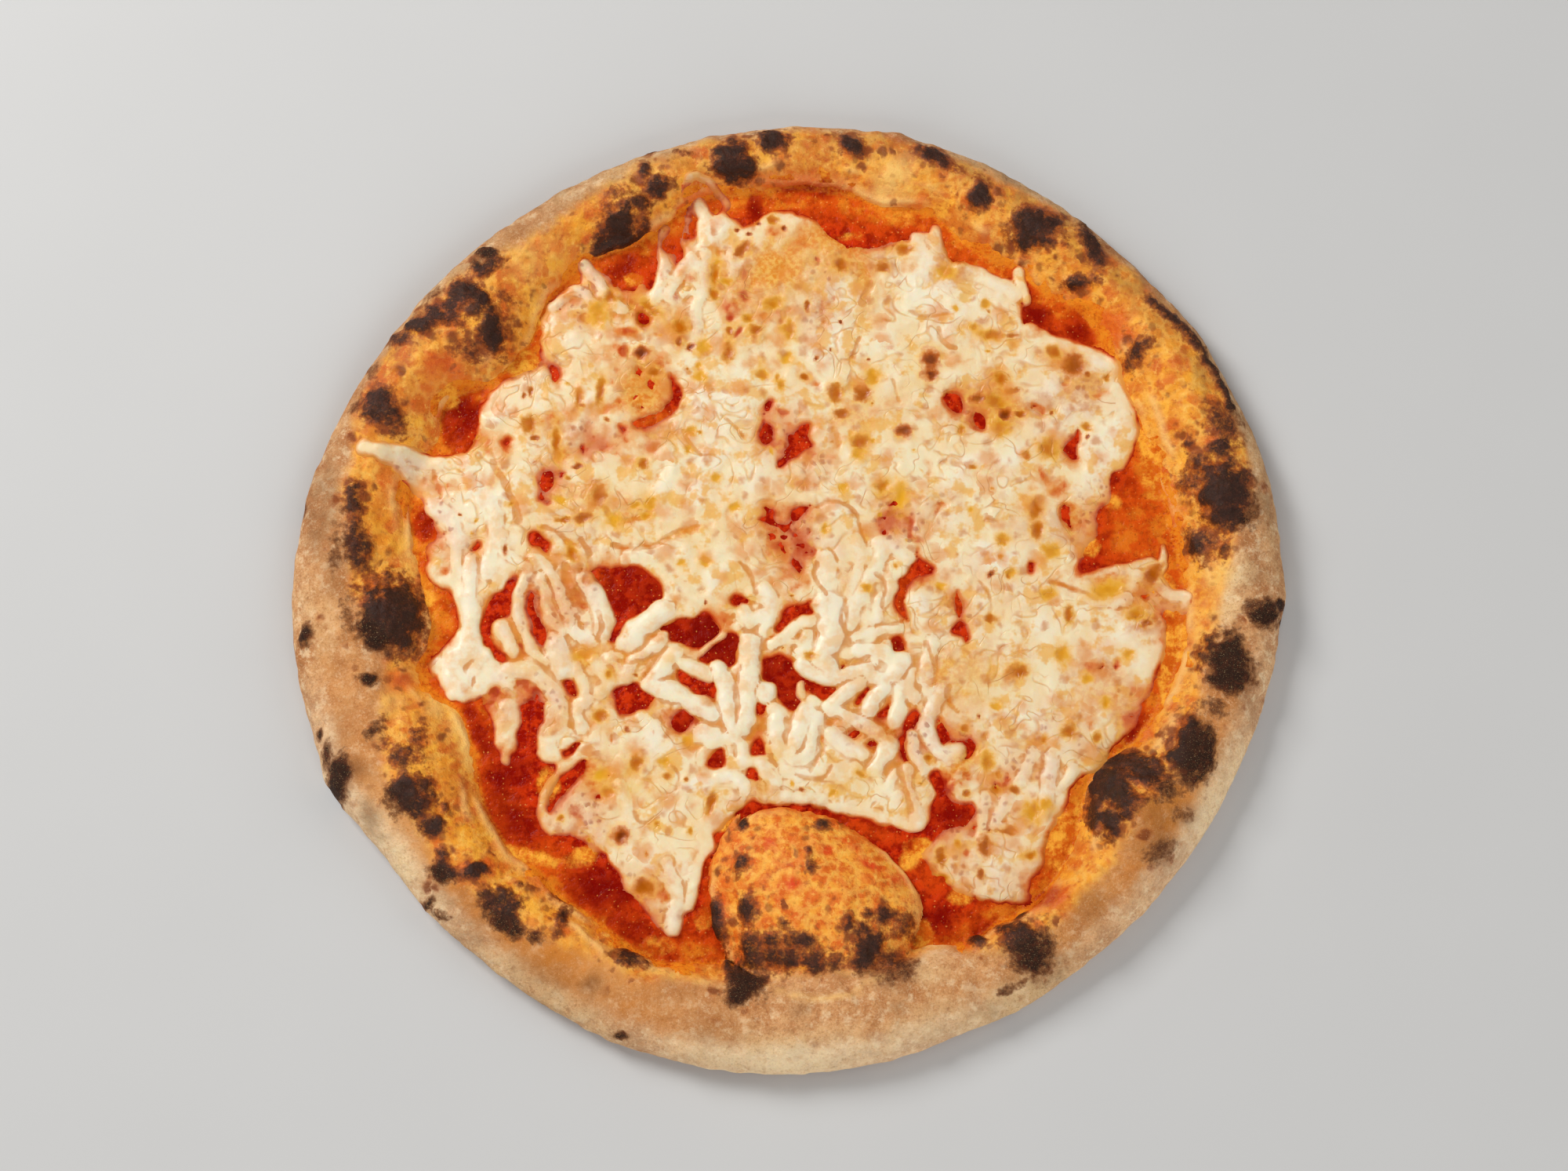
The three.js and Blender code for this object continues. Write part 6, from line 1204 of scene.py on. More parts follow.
def sauce_surface(x, y, dough=None):
    """Wet pulpy surface of the sauce: level in the middle, creeping up the
    rim and thinning out there. Returns height and depth over the dough."""
    r = np.hypot(x, y)
    deg = np.degrees(np.arctan2(y, x)) % 360
    if dough is None:
        dough = dough_surface(x, y)
    f1, f2, rid = cells(x, y, 2.4, 201)
    pulp = 0.24 * fbm(x, y, 12, 2, 203) + 0.34 * fbm(x, y, 4.0, 2, 207) + 0.12 * fbm(x, y, 1.6, 1, 209)
    pulp = pulp + 0.34 * np.clip(1 - (f1 / 0.6) ** 2, 0, 1) * rid ** 2
    level = SAUCE_TOP + pulp
    d = r - creep_to(deg) + 1.0 + 6.3 * fbm(x, y, 10, 4, 215, 0.65)
    film = dough + np.clip(0.10 - 0.16 * d, -0.7, 0.32) + 0.35 * pulp * smooth(0, -3, d)
    z = smax(level, film, 0.6)
    # not over the bubble
    ring = bubble_depth(x, y)
    z = z - 1.3 * smooth(1.12, 0.98, ring) * (z > SAUCE_TOP + 0.2)
    return z, z - dough


def sauce_mesh(X=None):
    X, Y = grid(0.95, 146)
    D = dough_surface(X, Y)
    Z, depth = sauce_surface(X, Y, D)
    r = np.hypot(X, Y)
    deg = np.degrees(np.arctan2(Y, X)) % 360
    seen = (depth > -0.05) & (r < creep_to(deg) + 6)
    near = blur(seen.astype(float), 1.0) > 0.02
    keep = near[:-1, :-1] & near[1:, :-1] & near[:-1, 1:] & near[1:, 1:]
    edge = smooth(14, 2, plain_foot(deg) - r + 4.0 * fbm(X, Y, 9, 3, 211))
    orange = np.maximum(edge * 0.85, ellipses(X, Y, SAUCE_ORANGE, 213, rough=0.3, inner=0.3, outer=1.4, size=6))
    deep = np.maximum(polar_spots(X, Y, DEEP, 83, rough=0.45), ellipses(X, Y, SAUCE_DEEP, 84, rough=0.3))
    orange = orange * (1 - 0.8 * deep)
    film = smooth(0.9, 0.25, depth) * (r > plain_foot(deg) - 3)
    orange = np.clip(np.maximum(orange, film * (1 - 0.6 * deep)), 0, 1)
    gild = ellipses(X, Y, SAUCE_GOLD, 217, rough=0.5, inner=0.35, outer=1.35, size=7)
    ZB = np.full(Z.shape, BASE + 0.12)
    return height_solid("pizza_sauce", X, Y, Z, ZB, keep, dict(film=film, orange=orange, deep=deep, gild=gild),
                        "tomato_sauce")


# ---------------------------------------------------------------- cheese shape
def polygon_distance(x, y, pts):
    """Signed distance to a closed outline, positive inside."""
    d = path_distance(x, y, pts + [pts[0]])
    inside = np.zeros(x.shape, bool)
    n = len(pts)
    for i in range(n):
        (ax, ay), (bx, by) = pts[i], pts[(i + 1) % n]
        if ay == by:
            continue
        cross = ((ay > y) != (by > y)) & (x < (bx - ax) * (y - ay) / (by - ay) + ax)
        inside ^= cross
    return np.where(inside, d, -d)


def cheese_fields(step=0.66):
    X, Y = grid(step, 150)
    rng = np.random.default_rng(5)
    first = X[0, 0]
    XW = X + 1.7 * fbm(X, Y, 8, 3, 401, 0.65)
    YW = Y + 1.7 * fbm(X, Y, 8, 3, 451, 0.65)
    outer = polygon_distance(XW, YW, rounded(list(SHEET_EDGE) + [SHEET_EDGE[0]], 1)[:-1])
    outer = outer + 1.1 * fbm(X, Y, 3.6, 2, 301, 0.6)
    # pools where the sauce shows
    XP = X + 2.4 * fbm(X, Y, 7, 3, 461, 0.65)
    YP = Y + 2.4 * fbm(X, Y, 7, 3, 471, 0.65)
    pool = np.full(X.shape, 50.0)
    for cx, cy, rx, ry, rot in POOLS:
        c, s = math.cos(math.radians(rot)), math.sin(math.radians(rot))
        u = (XP - cx) * c + (YP - cy) * s
        v = -(XP - cx) * s + (YP - cy) * c
        q = (np.hypot(u / rx, v / ry) - 1) * min(rx, ry)
        pool = np.minimum(pool, q)
    # and the bare shapes, bent a little
    XB = X + 0.9 * fbm(X, Y, 4.5, 3, 465, 0.6)
    YB = Y + 0.9 * fbm(X, Y, 4.5, 3, 475, 0.6)
    for shape in BARE:
        xs, ys = [p[0] for p in shape], [p[1] for p in shape]
        j0, j1 = int((min(ys) - 6 - first) / step), int((max(ys) + 6 - first) / step) + 2
        i0, i1 = int((min(xs) - 6 - first) / step), int((max(xs) + 6 - first) / step) + 2
        win = (slice(j0, j1), slice(i0, i1))
        inside = polygon_distance(XB[win], YB[win], rounded(list(shape) + [shape[0]], 1)[:-1])
        pool[win] = np.minimum(pool[win], -inside)
    sd = np.minimum(outer, pool)
    cut = np.where(sd > 0, 0.44 * sd + 0.18 * np.sqrt(np.clip(sd, 0, None)), 0.8 * sd)

    def at(px, py):
        return (min(max(int(round((py - first) / step)), 0), X.shape[0] - 1),
                min(max(int(round((px - first) / step)), 0), X.shape[1] - 1))

    def window(pts, pad):
        i0 = max(0, int((min(p[0] for p in pts) - pad - first) / step))
        i1 = min(X.shape[1], int((max(p[0] for p in pts) + pad - first) / step) + 2)
        j0 = max(0, int((min(p[1] for p in pts) - pad - first) / step))
        j1 = min(X.shape[0], int((max(p[1] for p in pts) + pad - first) / step) + 2)
        return slice(j0, j1), slice(i0, i1)

    blob = np.zeros(X.shape)
    for cx, cy, rx, ry, rot, k in BLOBS:
        c, s = math.cos(math.radians(rot)), math.sin(math.radians(rot))
        u = (XP - cx) * c + (YP - cy) * s
        v = -(XP - cx) * s + (YP - cy) * c
        q = (u / rx) ** 2 + (v / ry) ** 2
        blob = np.maximum(blob, k * np.clip(1 - q / 1.5, 0, 1) ** 0.8)
    thin = ellipses(X, Y, THIN, 311, rough=0.5, inner=0.25, outer=1.6, size=7)
    thin = np.clip(thin * (1 - 0.5 * smooth(0.4, 1.0, blob)), 0, 1)
    amber = ellipses(X, Y, AMBER, 315, rough=0.45, inner=0.3, outer=1.4, size=6)

    plump = ellipses(X, Y, PLUMP, 319, rough=0.35, inner=0.5, outer=1.3, size=9)
    white = ellipses(X, Y, WHITE, 323, rough=0.5, inner=0.3, outer=1.4, size=6)
    peach = ellipses(X, Y, PEACH, 325, rough=0.5, inner=0.3, outer=1.4, size=6)
    blob = np.maximum(blob, white) * (1 - 0.6 * peach)
    thin = thin * (1 - 0.75 * white)
    amber = amber * (1 - 0.85 * white)

    # a film over everything, with small curds where it is thin
    film = 0.66 + 0.62 * fbm(X, Y, 8, 3, 313, 0.6) + 0.24 * fbm(X, Y, 3.4, 2, 317) + 0.35 * blob
    film = film - 0.24 * thin - 0.14 * plump
    f1, f2, rid = cells(XP, YP, 2.9, 321)
    curd = np.sqrt(np.clip(1 - (f1 / 0.60) ** 2, 0, 1))
    film = np.maximum(film, 0.14) + curd * (0.06 + 0.50 * rid) * (0.12 + 0.88 * thin)
    film = film * (1 - 0.45 * amber) + 0.18 * amber
    T = np.minimum(film, cut)

    # melted shreds, loosely side by side; some lap over the edges
    lay = math.pi * 1.6 * fbm(X, Y, 42, 2, 391)
    bare = fbm(X, Y, 15, 2, 393)
    count = 0
    for k in range(3000):
        px, py = rng.uniform(-132, 132, 2)
        L = rng.uniform(8, 22)
        w = rng.uniform(1.7, 3.6)
        h = rng.uniform(0.28, 0.66)
        a = rng.normal(0, 0.55)
        lift = rng.uniform(0.20, 0.75)
        free = rng.random() < 0.45
        pick = rng.random()
        bends = np.cumsum(rng.normal(0, 0.42, 12))
        if sd[at(px, py)] < (0.8 if free else 0.3):
            continue
        th, bl, am = thin[at(px, py)], blob[at(px, py)], amber[at(px, py)]
        pl = plump[at(px, py)]
        if pick < 0.30 + 0.50 * th + 0.60 * am - 0.25 * bl + 0.45 * pl + 0.5 * max(0.0, bare[at(px, py)]):
            continue
        n = max(3, int(L / 1.8))
        ang = lay[at(px, py)] + a + bends[np.minimum(np.arange(n), 11)]
        dx = np.cumsum(np.cos(ang)) * L / n
        dy = np.cumsum(np.sin(ang)) * L / n
        pts = [(px + u - dx.mean(), py + v - dy.mean()) for u, v in zip(dx, dy)]
        pts = [p for p in pts if sd[at(*p)] > (0.35 * w if free else 0)]
        if len(pts) < 2:
            continue
        win = window(pts, w + 1.5)
        xs, ys = X[win], Y[win]
        d = path_distance(xs, ys, pts)
        wv = w * (1 - 0.25 * th) * (1 + 0.45 * fbm(xs, ys, 6, 2, 341))
        f = h * (1 - 0.30 * th + 0.3 * pl) * np.sqrt(np.clip(1 - (d / wv) ** 2, 0, 1)) + lift + 0.35 * blob[win]
        f = np.where(d < wv, f, -2)
        if not free:
            f = np.minimum(f, cut[win])
        T[win] = np.where(f > -1, smax(T[win], f, 0.10), T[win])
        count += 1
    # holes and slots of the bare sauce in the thin parts
    f1, f2, rid = cells(XP, YP, 5.2, 331)
    hole = thin * smooth(0.40, 0.12, f1 + 0.25 * fbm(X, Y, 2.2, 2, 333)) * (rid > 0.66)
    T = T - 1.2 * hole

    # named strands, some of them across the pools
    fresh = np.zeros(X.shape)
    for pts, w, h in STRANDS:
        pts = rounded(pts, 2)
        rim = float(np.mean([outer[at(*q)] for q in pts]))
        soft = min(1.0, max(0.0, (rim + 0.5) / 4.0))     # flatter along the sheet's edge
        h = h * (0.62 + 0.38 * soft)
        win = window(pts, w * 1.8 + 2)
        xs = X[win] + 1.0 * fbm(X[win], Y[win], 6, 2, 343)
        ys = Y[win] + 1.0 * fbm(X[win], Y[win], 6, 2, 345)
        d = path_distance(xs, ys, pts)
        wv = w * (1.14 + 0.50 * fbm(xs, ys, 7, 2, 341))
        f = 0.28 + (h - 0.03) * np.clip(1 - (d / wv) ** 2, 0, 1) ** 0.72
        f = np.where(d < wv, f, -2)
        T[win] = np.where(f > -1, smax(T[win], f, 0.22), T[win])
        fresh[win] = np.maximum(fresh[win], smooth(1.15, 0.7, d / wv) * min(1.0, h / 1.6) * (0.4 + 0.6 * soft))

    raw = T.copy()
    # the sheet has run together: soften it, least on the fresh strands
    fine, soft, wide = blur(T, 0.58 / step), blur(T, 1.25 / step), blur(T, 2.2 / step)
    melt = np.clip(0.70 + 0.5 * fbm(X, Y, 12, 2, 395) - 0.6 * fresh - 0.5 * plump, 0, 1)
    run = np.clip(smooth(0.45, 1.1, blob) * 0.75 + 0.6 * amber - fresh, 0, 0.85)
    body = fine * (1 - melt) + soft * melt
    body = body * (1 - run) + wide * run
    body = np.where(T > 0, body, T)
    near = smooth(1.2, 0.2, np.abs(T))
    T = body * (1 - 0.4 * near) + np.minimum(raw, body) * 0.4 * near

    # creases between the strands hold yellow oil
    c1 = np.clip((blur(raw, 1.1 / step) - raw) / 0.26, 0, 1)
    c2 = np.clip((blur(raw, 2.2 / step) - raw) / 0.50, 0, 1)
    crease = np.clip(0.65 * c1 + 0.55 * c2, 0, 1) * (1 - 0.55 * run) * (raw > 0.12)
    crease = crease * (0.30 + 0.70 * np.clip(plump + fresh, 0, 1))
    for pts, w, k in CREASES:
        pts = rounded(pts, 2)
        win = window(pts, 3 * w + 2)
        xs = X[win] + 0.8 * fbm(X[win], Y[win], 5, 2, 347)
        ys = Y[win] + 0.8 * fbm(X[win], Y[win], 5, 2, 349)
        q = path_distance(xs, ys, pts) / (w * (1 + 0.35 * fbm(xs, ys, 3, 2, 353)))
        crease[win] = np.maximum(crease[win], k * smooth(1.5, 0.3, q))
        T[win] -= 0.30 * smooth(1.5, 0.2, q) * (T[win] > 0.5)

    # browned and oily pits
    core = np.zeros(X.shape)
    halo = np.zeros(X.shape)
    tone = np.zeros(X.shape)
    pits = list(PITS)
    for k in range(150):
        px, py = rng.uniform(-125, 125, 2)
        rr = rng.uniform(0.35, 0.8) if rng.random() < 0.8 else rng.uniform(0.8, 1.4)
        tn = rng.uniform(0.0, 1.2) if rng.random() < 0.85 else rng.uniform(1.4, 1.9)
        el = rng.uniform(0.7, 1.4)
        if sd[at(px, py)] < 1.2 or raw[at(px, py)] < 0.3 or fresh[at(px, py)] > 0.3:
            continue
        pits.append((px, py, rr * el, rr / el, rng.uniform(0, 180), tn))
    for px, py, rx, ry, turn, tn in pits:
        rr = math.sqrt(rx * ry)
        win = window([(px, py)], 3.0 * max(rx, ry) + 1.5)
        xs, ys = X[win], Y[win]
        ca, sa = math.cos(math.radians(turn)), math.sin(math.radians(turn))
        xs = xs + 0.7 * fbm(xs, ys, 3, 2, 355) * min(1.5, rr)
        ys = ys + 0.7 * fbm(xs, ys, 3, 2, 357) * min(1.5, rr)
        u = (xs - px) * ca + (ys - py) * sa
        v = -(xs - px) * sa + (ys - py) * ca
        q = np.hypot(u / rx, v / ry)
        q = q * (1 + 0.30 * fbm(X[win], Y[win], 2.2, 2, 351))
        bowl = smooth(1.25, 0.40, q)
        lip = np.exp(-((q - 1.40) / 0.32) ** 2)
        T[win] += -min(0.40, 0.26 * rr) * bowl + 0.07 * lip
        g = np.clip((1.6 - q) / 1.6, 0, 1)
        better = g > core[win]
        tt = tone[win]
        tt[better] = tn
        tone[win] = tt
        core[win] = np.maximum(core[win], g)
        halo[win] = np.maximum(halo[win], smooth(2.5, 0.8, q) * min(1.0, 0.45 + 0.30 * rr))
    rust = ellipses(X, Y, RUST, 375, rough=0.6, inner=0.15, outer=1.5, size=4)
    rust = np.clip(rust, 0, 1)
    T = np.where(T > 0.2, np.maximum(T - 0.45 * rust, 0.15), T)
    yellow = ellipses(X, Y, YELLOW, 371, rough=0.5, inner=0.1, outer=1.6, size=7)
    toast = np.maximum(polar_spots(X, Y, TOAST, 87, rough=0.4), ellipses(X, Y, TOASTED, 373, rough=0.5, size=6))
    print(f"cheese: {count} shreds, {len(pits)} pits, {time.time() - T0:.1f} s")
    return X, Y, T, sd, dict(crease=crease, core=core, halo=halo, tone=tone, thinness=thin,
                             fresh=fresh * (1 - 0.6 * peach), yellow=yellow * (1 - 0.6 * white),
                             toast=toast * (1 - 0.7 * white), amber=amber, rust=rust, raw=raw, peach=peach, white=white)


def cheese_mesh():
    step = 0.68
    X, Y, T, sd, attrs = cheese_fields(step)
    D = dough_surface(X, Y)
    S, depth = sauce_surface(X, Y, D)
    top = np.maximum(S, D)
    base = np.maximum(blur(top + 0.05, 1.2), top + 0.02)
    Z = base + np.maximum(T, -0.75)
    vis = T > -0.05
    near = blur(vis.astype(float), 1.0) > 0.02
    keep = near[:-1, :-1] & near[1:, :-1] & near[:-1, 1:] & near[1:, 1:]
    ZB = np.full(Z.shape, SAUCE_TOP - 1.0)
    wet = np.clip(T, 0, 3)
    crisp = np.clip(attrs.pop("raw"), 0, 2.2)
    R = np.hypot(X, Y)
    DEG = np.degrees(np.arctan2(Y, X)) % 360
    attrs["gild"] = np.maximum(ellipses(X, Y, SAUCE_GOLD, 217, rough=0.5, inner=0.35, outer=1.35, size=7),
                               (D > S) * smooth(-3, 3, R - creep_to(DEG) + 1.5))
    ghost = attrs.pop("peach") * (0.9 + 1.2 * fbm(X, Y, 4.5, 3, 397, 0.6))
    attrs["ghost"] = np.clip(ghost, 0, 1.5)
    attrs["thick"] = (0.10 * attrs.pop("white") - 0.40 * np.clip(ghost, 0, 1.9)
                      + 0.42 * wet + 0.44 * np.minimum(wet, 1.08 * blur(wet, 1.5 / step)) + 0.14 * np.minimum(crisp, wet + 0.5))
    return height_solid("pizza_cheese", X, Y, Z, ZB, keep, attrs, "melted_cheese")


# ---------------------------------------------------------------- materials
def lin(r, g, b):
    def f(v):
        v /= 255.0
        return v / 12.92 if v <= 0.04045 else ((v + 0.055) / 1.055) ** 2.4
    return (f(r), f(g), f(b), 1.0)


class Paint:
    """Short names for shader nodes."""

    def __init__(self, name):
        self.mat = bpy.data.materials.new(name)
        self.mat.use_nodes = True
        self.tree = self.mat.node_tree
        self.tree.nodes.clear()
        self.out = self.new("ShaderNodeOutputMaterial")
        self.skin = self.new("ShaderNodeBsdfPrincipled")
        self.tree.links.new(self.skin.outputs[0], self.out.inputs["Surface"])
        self.coord = self.new("ShaderNodeTexCoord").outputs["Object"]

    def new(self, kind):
        return self.tree.nodes.new(kind)

    def put(self, value, socket):
        if isinstance(value, bpy.types.NodeSocket):
            self.tree.links.new(value, socket)
        else:
            socket.default_value = value

    def attr(self, name):
        n = self.new("ShaderNodeAttribute")
        n.attribute_name = name
        return n.outputs["Fac"]

    def noise(self, mm, detail=2.0, rough=0.5, warp=0.0, shift=None):
        n = self.new("ShaderNodeTexNoise")
        c = self.coord
        if shift:
            v = self.new("ShaderNodeVectorMath")
            v.operation = "ADD"
            self.tree.links.new(c, v.inputs[0])
            v.inputs[1].default_value = (shift * 0.131, shift * 0.077, shift * 0.053)
            c = v.outputs[0]
        self.tree.links.new(c, n.inputs["Vector"])
        n.inputs["Scale"].default_value = 1000.0 / mm
        n.inputs["Detail"].default_value = detail
        n.inputs["Roughness"].default_value = rough
        n.inputs["Distortion"].default_value = warp
        return n.outputs["Fac"]

    def place(self, shift=None, warp=None):
        """Object coordinates, moved and bent: warp is (size of the bends, reach) in mm."""
        c = self.coord
        if warp:
            n = self.new("ShaderNodeTexNoise")
            self.tree.links.new(c, n.inputs["Vector"])
            n.inputs["Scale"].default_value = 1000.0 / warp[0]
            n.inputs["Detail"].default_value = 2.0
            m = self.new("ShaderNodeVectorMath")
            m.operation = "MULTIPLY_ADD"
            self.tree.links.new(n.outputs["Color"], m.inputs[0])
            m.inputs[1].default_value = (warp[1] * 0.002,) * 3
            self.tree.links.new(c, m.inputs[2])
            c = m.outputs[0]
        if shift:
            v = self.new("ShaderNodeVectorMath")
            v.operation = "ADD"
            self.tree.links.new(c, v.inputs[0])
            v.inputs[1].default_value = (shift * 0.131, shift * 0.077, shift * 0.053)
            c = v.outputs[0]
        return c

    def cell(self, mm, feature="F1", rand=1.0, shift=None, warp=None, flat=True):
        n = self.new("ShaderNodeTexVoronoi")
        n.feature = feature
        n.voronoi_dimensions = "2D" if flat else "3D"
        self.tree.links.new(self.place(shift, warp), n.inputs["Vector"])
        n.inputs["Scale"].default_value = 1000.0 / mm
        n.inputs["Randomness"].default_value = rand
        return n

    def spots(self, mm, density, shift, small, large, soft):
        """Scattered round spots: radii in cell sizes, density 0 to 1."""
        v = self.cell(mm, shift=shift, warp=(1.6 + 0.3 * mm, 0.35 * mm))
        sep = self.new("ShaderNodeSeparateColor")
        self.tree.links.new(v.outputs["Color"], sep.inputs[0])
        r = self.do("MULTIPLY_ADD", sep.outputs[0], large - small, small)
        d = self.do("SUBTRACT", v.outputs["Distance"], r)
        body = self.ramp(d, soft, -soft)
        gate = self.ramp(self.do("SUBTRACT", density, sep.outputs[1]), -0.02, 0.05)
        return self.do("MULTIPLY", body, gate)

    def ramp(self, x, a, b, lo=0.0, hi=1.0):
        n = self.new("ShaderNodeMapRange")
        n.interpolation_type = "SMOOTHSTEP"
        self.put(x, n.inputs["Value"])
        n.inputs["From Min"].default_value = a
        n.inputs["From Max"].default_value = b
        n.inputs["To Min"].default_value = lo
        n.inputs["To Max"].default_value = hi
        return n.outputs["Result"]

    def do(self, op, a, b=0.0, c=None, clamp=False):
        n = self.new("ShaderNodeMath")
        n.operation = op
        n.use_clamp = clamp
        self.put(a, n.inputs[0])
        self.put(b, n.inputs[1])
        if c is not None:
            self.put(c, n.inputs[2])
        return n.outputs[0]

    def mix(self, a, b, k):
        n = self.new("ShaderNodeMix")
        n.data_type = "RGBA"
        n.clamp_factor = True
        self.put(k, n.inputs[0])
        self.put(a, n.inputs[6])
        self.put(b, n.inputs[7])
        return n.outputs[2]

    def times(self, colour, gain):
        n = self.new("ShaderNodeVectorMath")
        n.operation = "MULTIPLY"
        self.tree.links.new(colour, n.inputs[0])
        n.inputs[1].default_value = gain
        return n.outputs[0]

    def bump(self, height, strength, mm, after=None):
        n = self.new("ShaderNodeBump")
        n.inputs["Strength"].default_value = strength
        n.inputs["Distance"].default_value = mm * 0.001
        self.put(height, n.inputs["Height"])
        if after is not None:
            self.tree.links.new(after, n.inputs["Normal"])
        return n.outputs["Normal"]

    def set(self, name, value):
        self.put(value, self.skin.inputs[name])


def crust_material():
    p = Paint("baked_dough")
    char, flour, gold = p.attr("char"), p.attr("flour"), p.attr("gold")
    stain, deep, bub = p.attr("stain"), p.attr("deep"), p.attr("bub")
    scorch, toast, cream = p.attr("scorch"), p.attr("toast"), p.attr("cream")
    freckle, fold, under = p.attr("freckle"), p.attr("fold"), p.attr("under")
    big, mid, small = p.noise(14, 3), p.noise(5, 3, 0.6), p.noise(1.7, 3, 0.6, shift=2)
    grain, fine = p.noise(0.75, 3, 0.65), p.noise(0.36, 2, 0.6, shift=4)
    # oily baked skin: pale network over orange blotches
    net = p.cell(5.0, "DISTANCE_TO_EDGE", shift=6, warp=(3.0, 2.4))
    web = p.ramp(net.outputs["Distance"], 0.26, 0.04)
    oily = p.mix(lin(216, 138, 56), lin(236, 176, 88), p.ramp(mid, 0.36, 0.62))
    oily = p.mix(oily, lin(202, 112, 36), p.ramp(big, 0.56, 0.38, 0.0, 0.75))
    oily = p.mix(oily, lin(236, 172, 56), p.do("MULTIPLY", gold, p.ramp(mid, 0.28, 0.58, 0.35, 0.95)))
    oily = p.mix(oily, lin(240, 198, 122), p.do("MULTIPLY", web, p.ramp(big, 0.36, 0.60, 0.10, 0.60)))
    oily = p.mix(oily, lin(246, 192, 84), p.ramp(p.noise(9, 3, 0.6, shift=12), 0.52, 0.66, 0.0, 0.75))
    oily = p.mix(oily, lin(198, 92, 30), p.ramp(p.noise(7, 3, 0.65, shift=13), 0.54, 0.68, 0.0, 0.70))
    blotch = p.spots(6.5, 0.42, 8, 0.16, 0.42, 0.22)
    oily = p.mix(oily, lin(206, 96, 34), p.do("MULTIPLY", blotch, 0.65))
    # the bubble's orange skin
    dome = p.mix(lin(212, 108, 32), lin(238, 172, 78), p.ramp(p.noise(4.4, 5, 0.68, shift=17), 0.40, 0.62))
    dome = p.mix(dome, lin(246, 204, 122), p.do("MULTIPLY", web, 0.46))
    dome = p.mix(dome, lin(214, 62, 20), p.do("MULTIPLY", p.attr("rouge"), p.ramp(small, 0.30, 0.55, 0.55, 0.95)))
    dome = p.mix(dome, lin(218, 108, 34), p.do("MULTIPLY", p.spots(6.5, 0.50, 9, 0.16, 0.44, 0.24), 0.70))
    dome = p.mix(dome, lin(214, 76, 26), p.do("MULTIPLY", p.spots(9.0, 0.22, 11, 0.12, 0.32, 0.20), 0.75))
    oily = p.mix(oily, dome, bub)
    rough24 = p.noise(2.6, 5, 0.72, shift=14)
    oily = p.mix(oily, lin(250, 212, 132), p.ramp(rough24, 0.54, 0.68, 0.0, 0.55))
    oily = p.mix(oily, lin(178, 86, 28), p.ramp(rough24, 0.46, 0.33, 0.0, 0.60))
    # sauce soaked into the rim
    red = p.mix(lin(208, 84, 26), lin(222, 116, 44), p.ramp(small, 0.36, 0.64))
    red = p.mix(red, lin(166, 38, 16), p.do("MULTIPLY", deep, p.ramp(mid, 0.25, 0.55, 0.6, 1.0)))
    st = p.do("MULTIPLY", stain, p.ramp(small, 0.22, 0.60, 0.70, 1.0))
    oily = p.mix(oily, red, st)
    oily = p.mix(oily, lin(190, 100, 40), p.do("MULTIPLY", toast, p.ramp(mid, 0.30, 0.60, 0.35, 0.9)))
    oily = p.mix(oily, lin(238, 206, 150), p.do("MULTIPLY", cream, p.ramp(mid, 0.30, 0.62, 0.35, 0.9)))
    # dry floury skin
    patch = p.noise(4.0, 5, 0.70, shift=16)
    dry = p.mix(lin(192, 138, 92), lin(222, 176, 128), p.ramp(mid, 0.34, 0.66))
    dry = p.mix(dry, lin(172, 114, 68), p.do("MULTIPLY", p.ramp(big, 0.54, 0.36), 0.75))
    dry = p.mix(dry, lin(232, 206, 160), p.do("MULTIPLY", cream, p.ramp(mid, 0.25, 0.58, 0.4, 0.95)))
    dry = p.mix(dry, lin(220, 170, 92), p.do("MULTIPLY", gold, 0.40))
    dry = p.mix(dry, lin(236, 214, 178), p.do("MULTIPLY", p.ramp(grain, 0.52, 0.68), 0.42))
    dry = p.mix(dry, lin(140, 92, 56), p.do("MULTIPLY", p.ramp(grain, 0.47, 0.34), 0.42))
    dry = p.mix(dry, lin(246, 226, 190), p.ramp(patch, 0.50, 0.66, 0.0, 0.60))
    dry = p.mix(dry, lin(150, 98, 56), p.ramp(patch, 0.46, 0.32, 0.0, 0.45))
    dry = p.mix(dry, lin(202, 128, 48), p.do("MULTIPLY", p.attr("tan"), p.ramp(mid, 0.28, 0.62, 0.55, 1.0)))
    # partly flour, partly painted light: the whiter outer edge on the front of the rim
    dry = p.mix(dry, lin(250, 236, 206), p.do("MULTIPLY", p.attr("flour_and_painted_light"), p.ramp(small, 0.30, 0.60, 0.45, 1.0)))
    skin = p.mix(p.times(oily, (1.0, 0.98, 0.80)), p.times(dry, (0.94, 1.03, 1.38)), flour)
    # painted highlight: a pale line along the ridges of the dough folds, weaker where the sauce stains them
    skin = p.mix(skin, lin(240, 206, 152), p.do("MULTIPLY", p.do("MULTIPLY", fold, p.ramp(st, 0.9, 0.2, 0.12, 1.0)), 0.62))
    # painted shade, partly scorching: the darker brown outer edge, mostly on the back of the rim
    skin = p.mix(skin, lin(132, 88, 56), p.do("MULTIPLY", p.attr("brown"), p.ramp(mid, 0.36, 0.58, 0.25, 0.85)))
    sc = p.do("MULTIPLY", scorch, p.ramp(mid, 0.28, 0.60, 0.45, 1.0))
    skin = p.mix(skin, lin(112, 78, 56), p.do("MULTIPLY", sc, 0.72))
    # the underside is browner, with scattered scorching
    bottom = p.mix(lin(196, 138, 84), lin(142, 88, 48), p.ramp(mid, 0.42, 0.62))
    bottom = p.mix(bottom, lin(52, 34, 26), p.do("MULTIPLY", p.ramp(small, 0.58, 0.70), p.ramp(big, 0.48, 0.62)))
    skin = p.mix(skin, bottom, under)
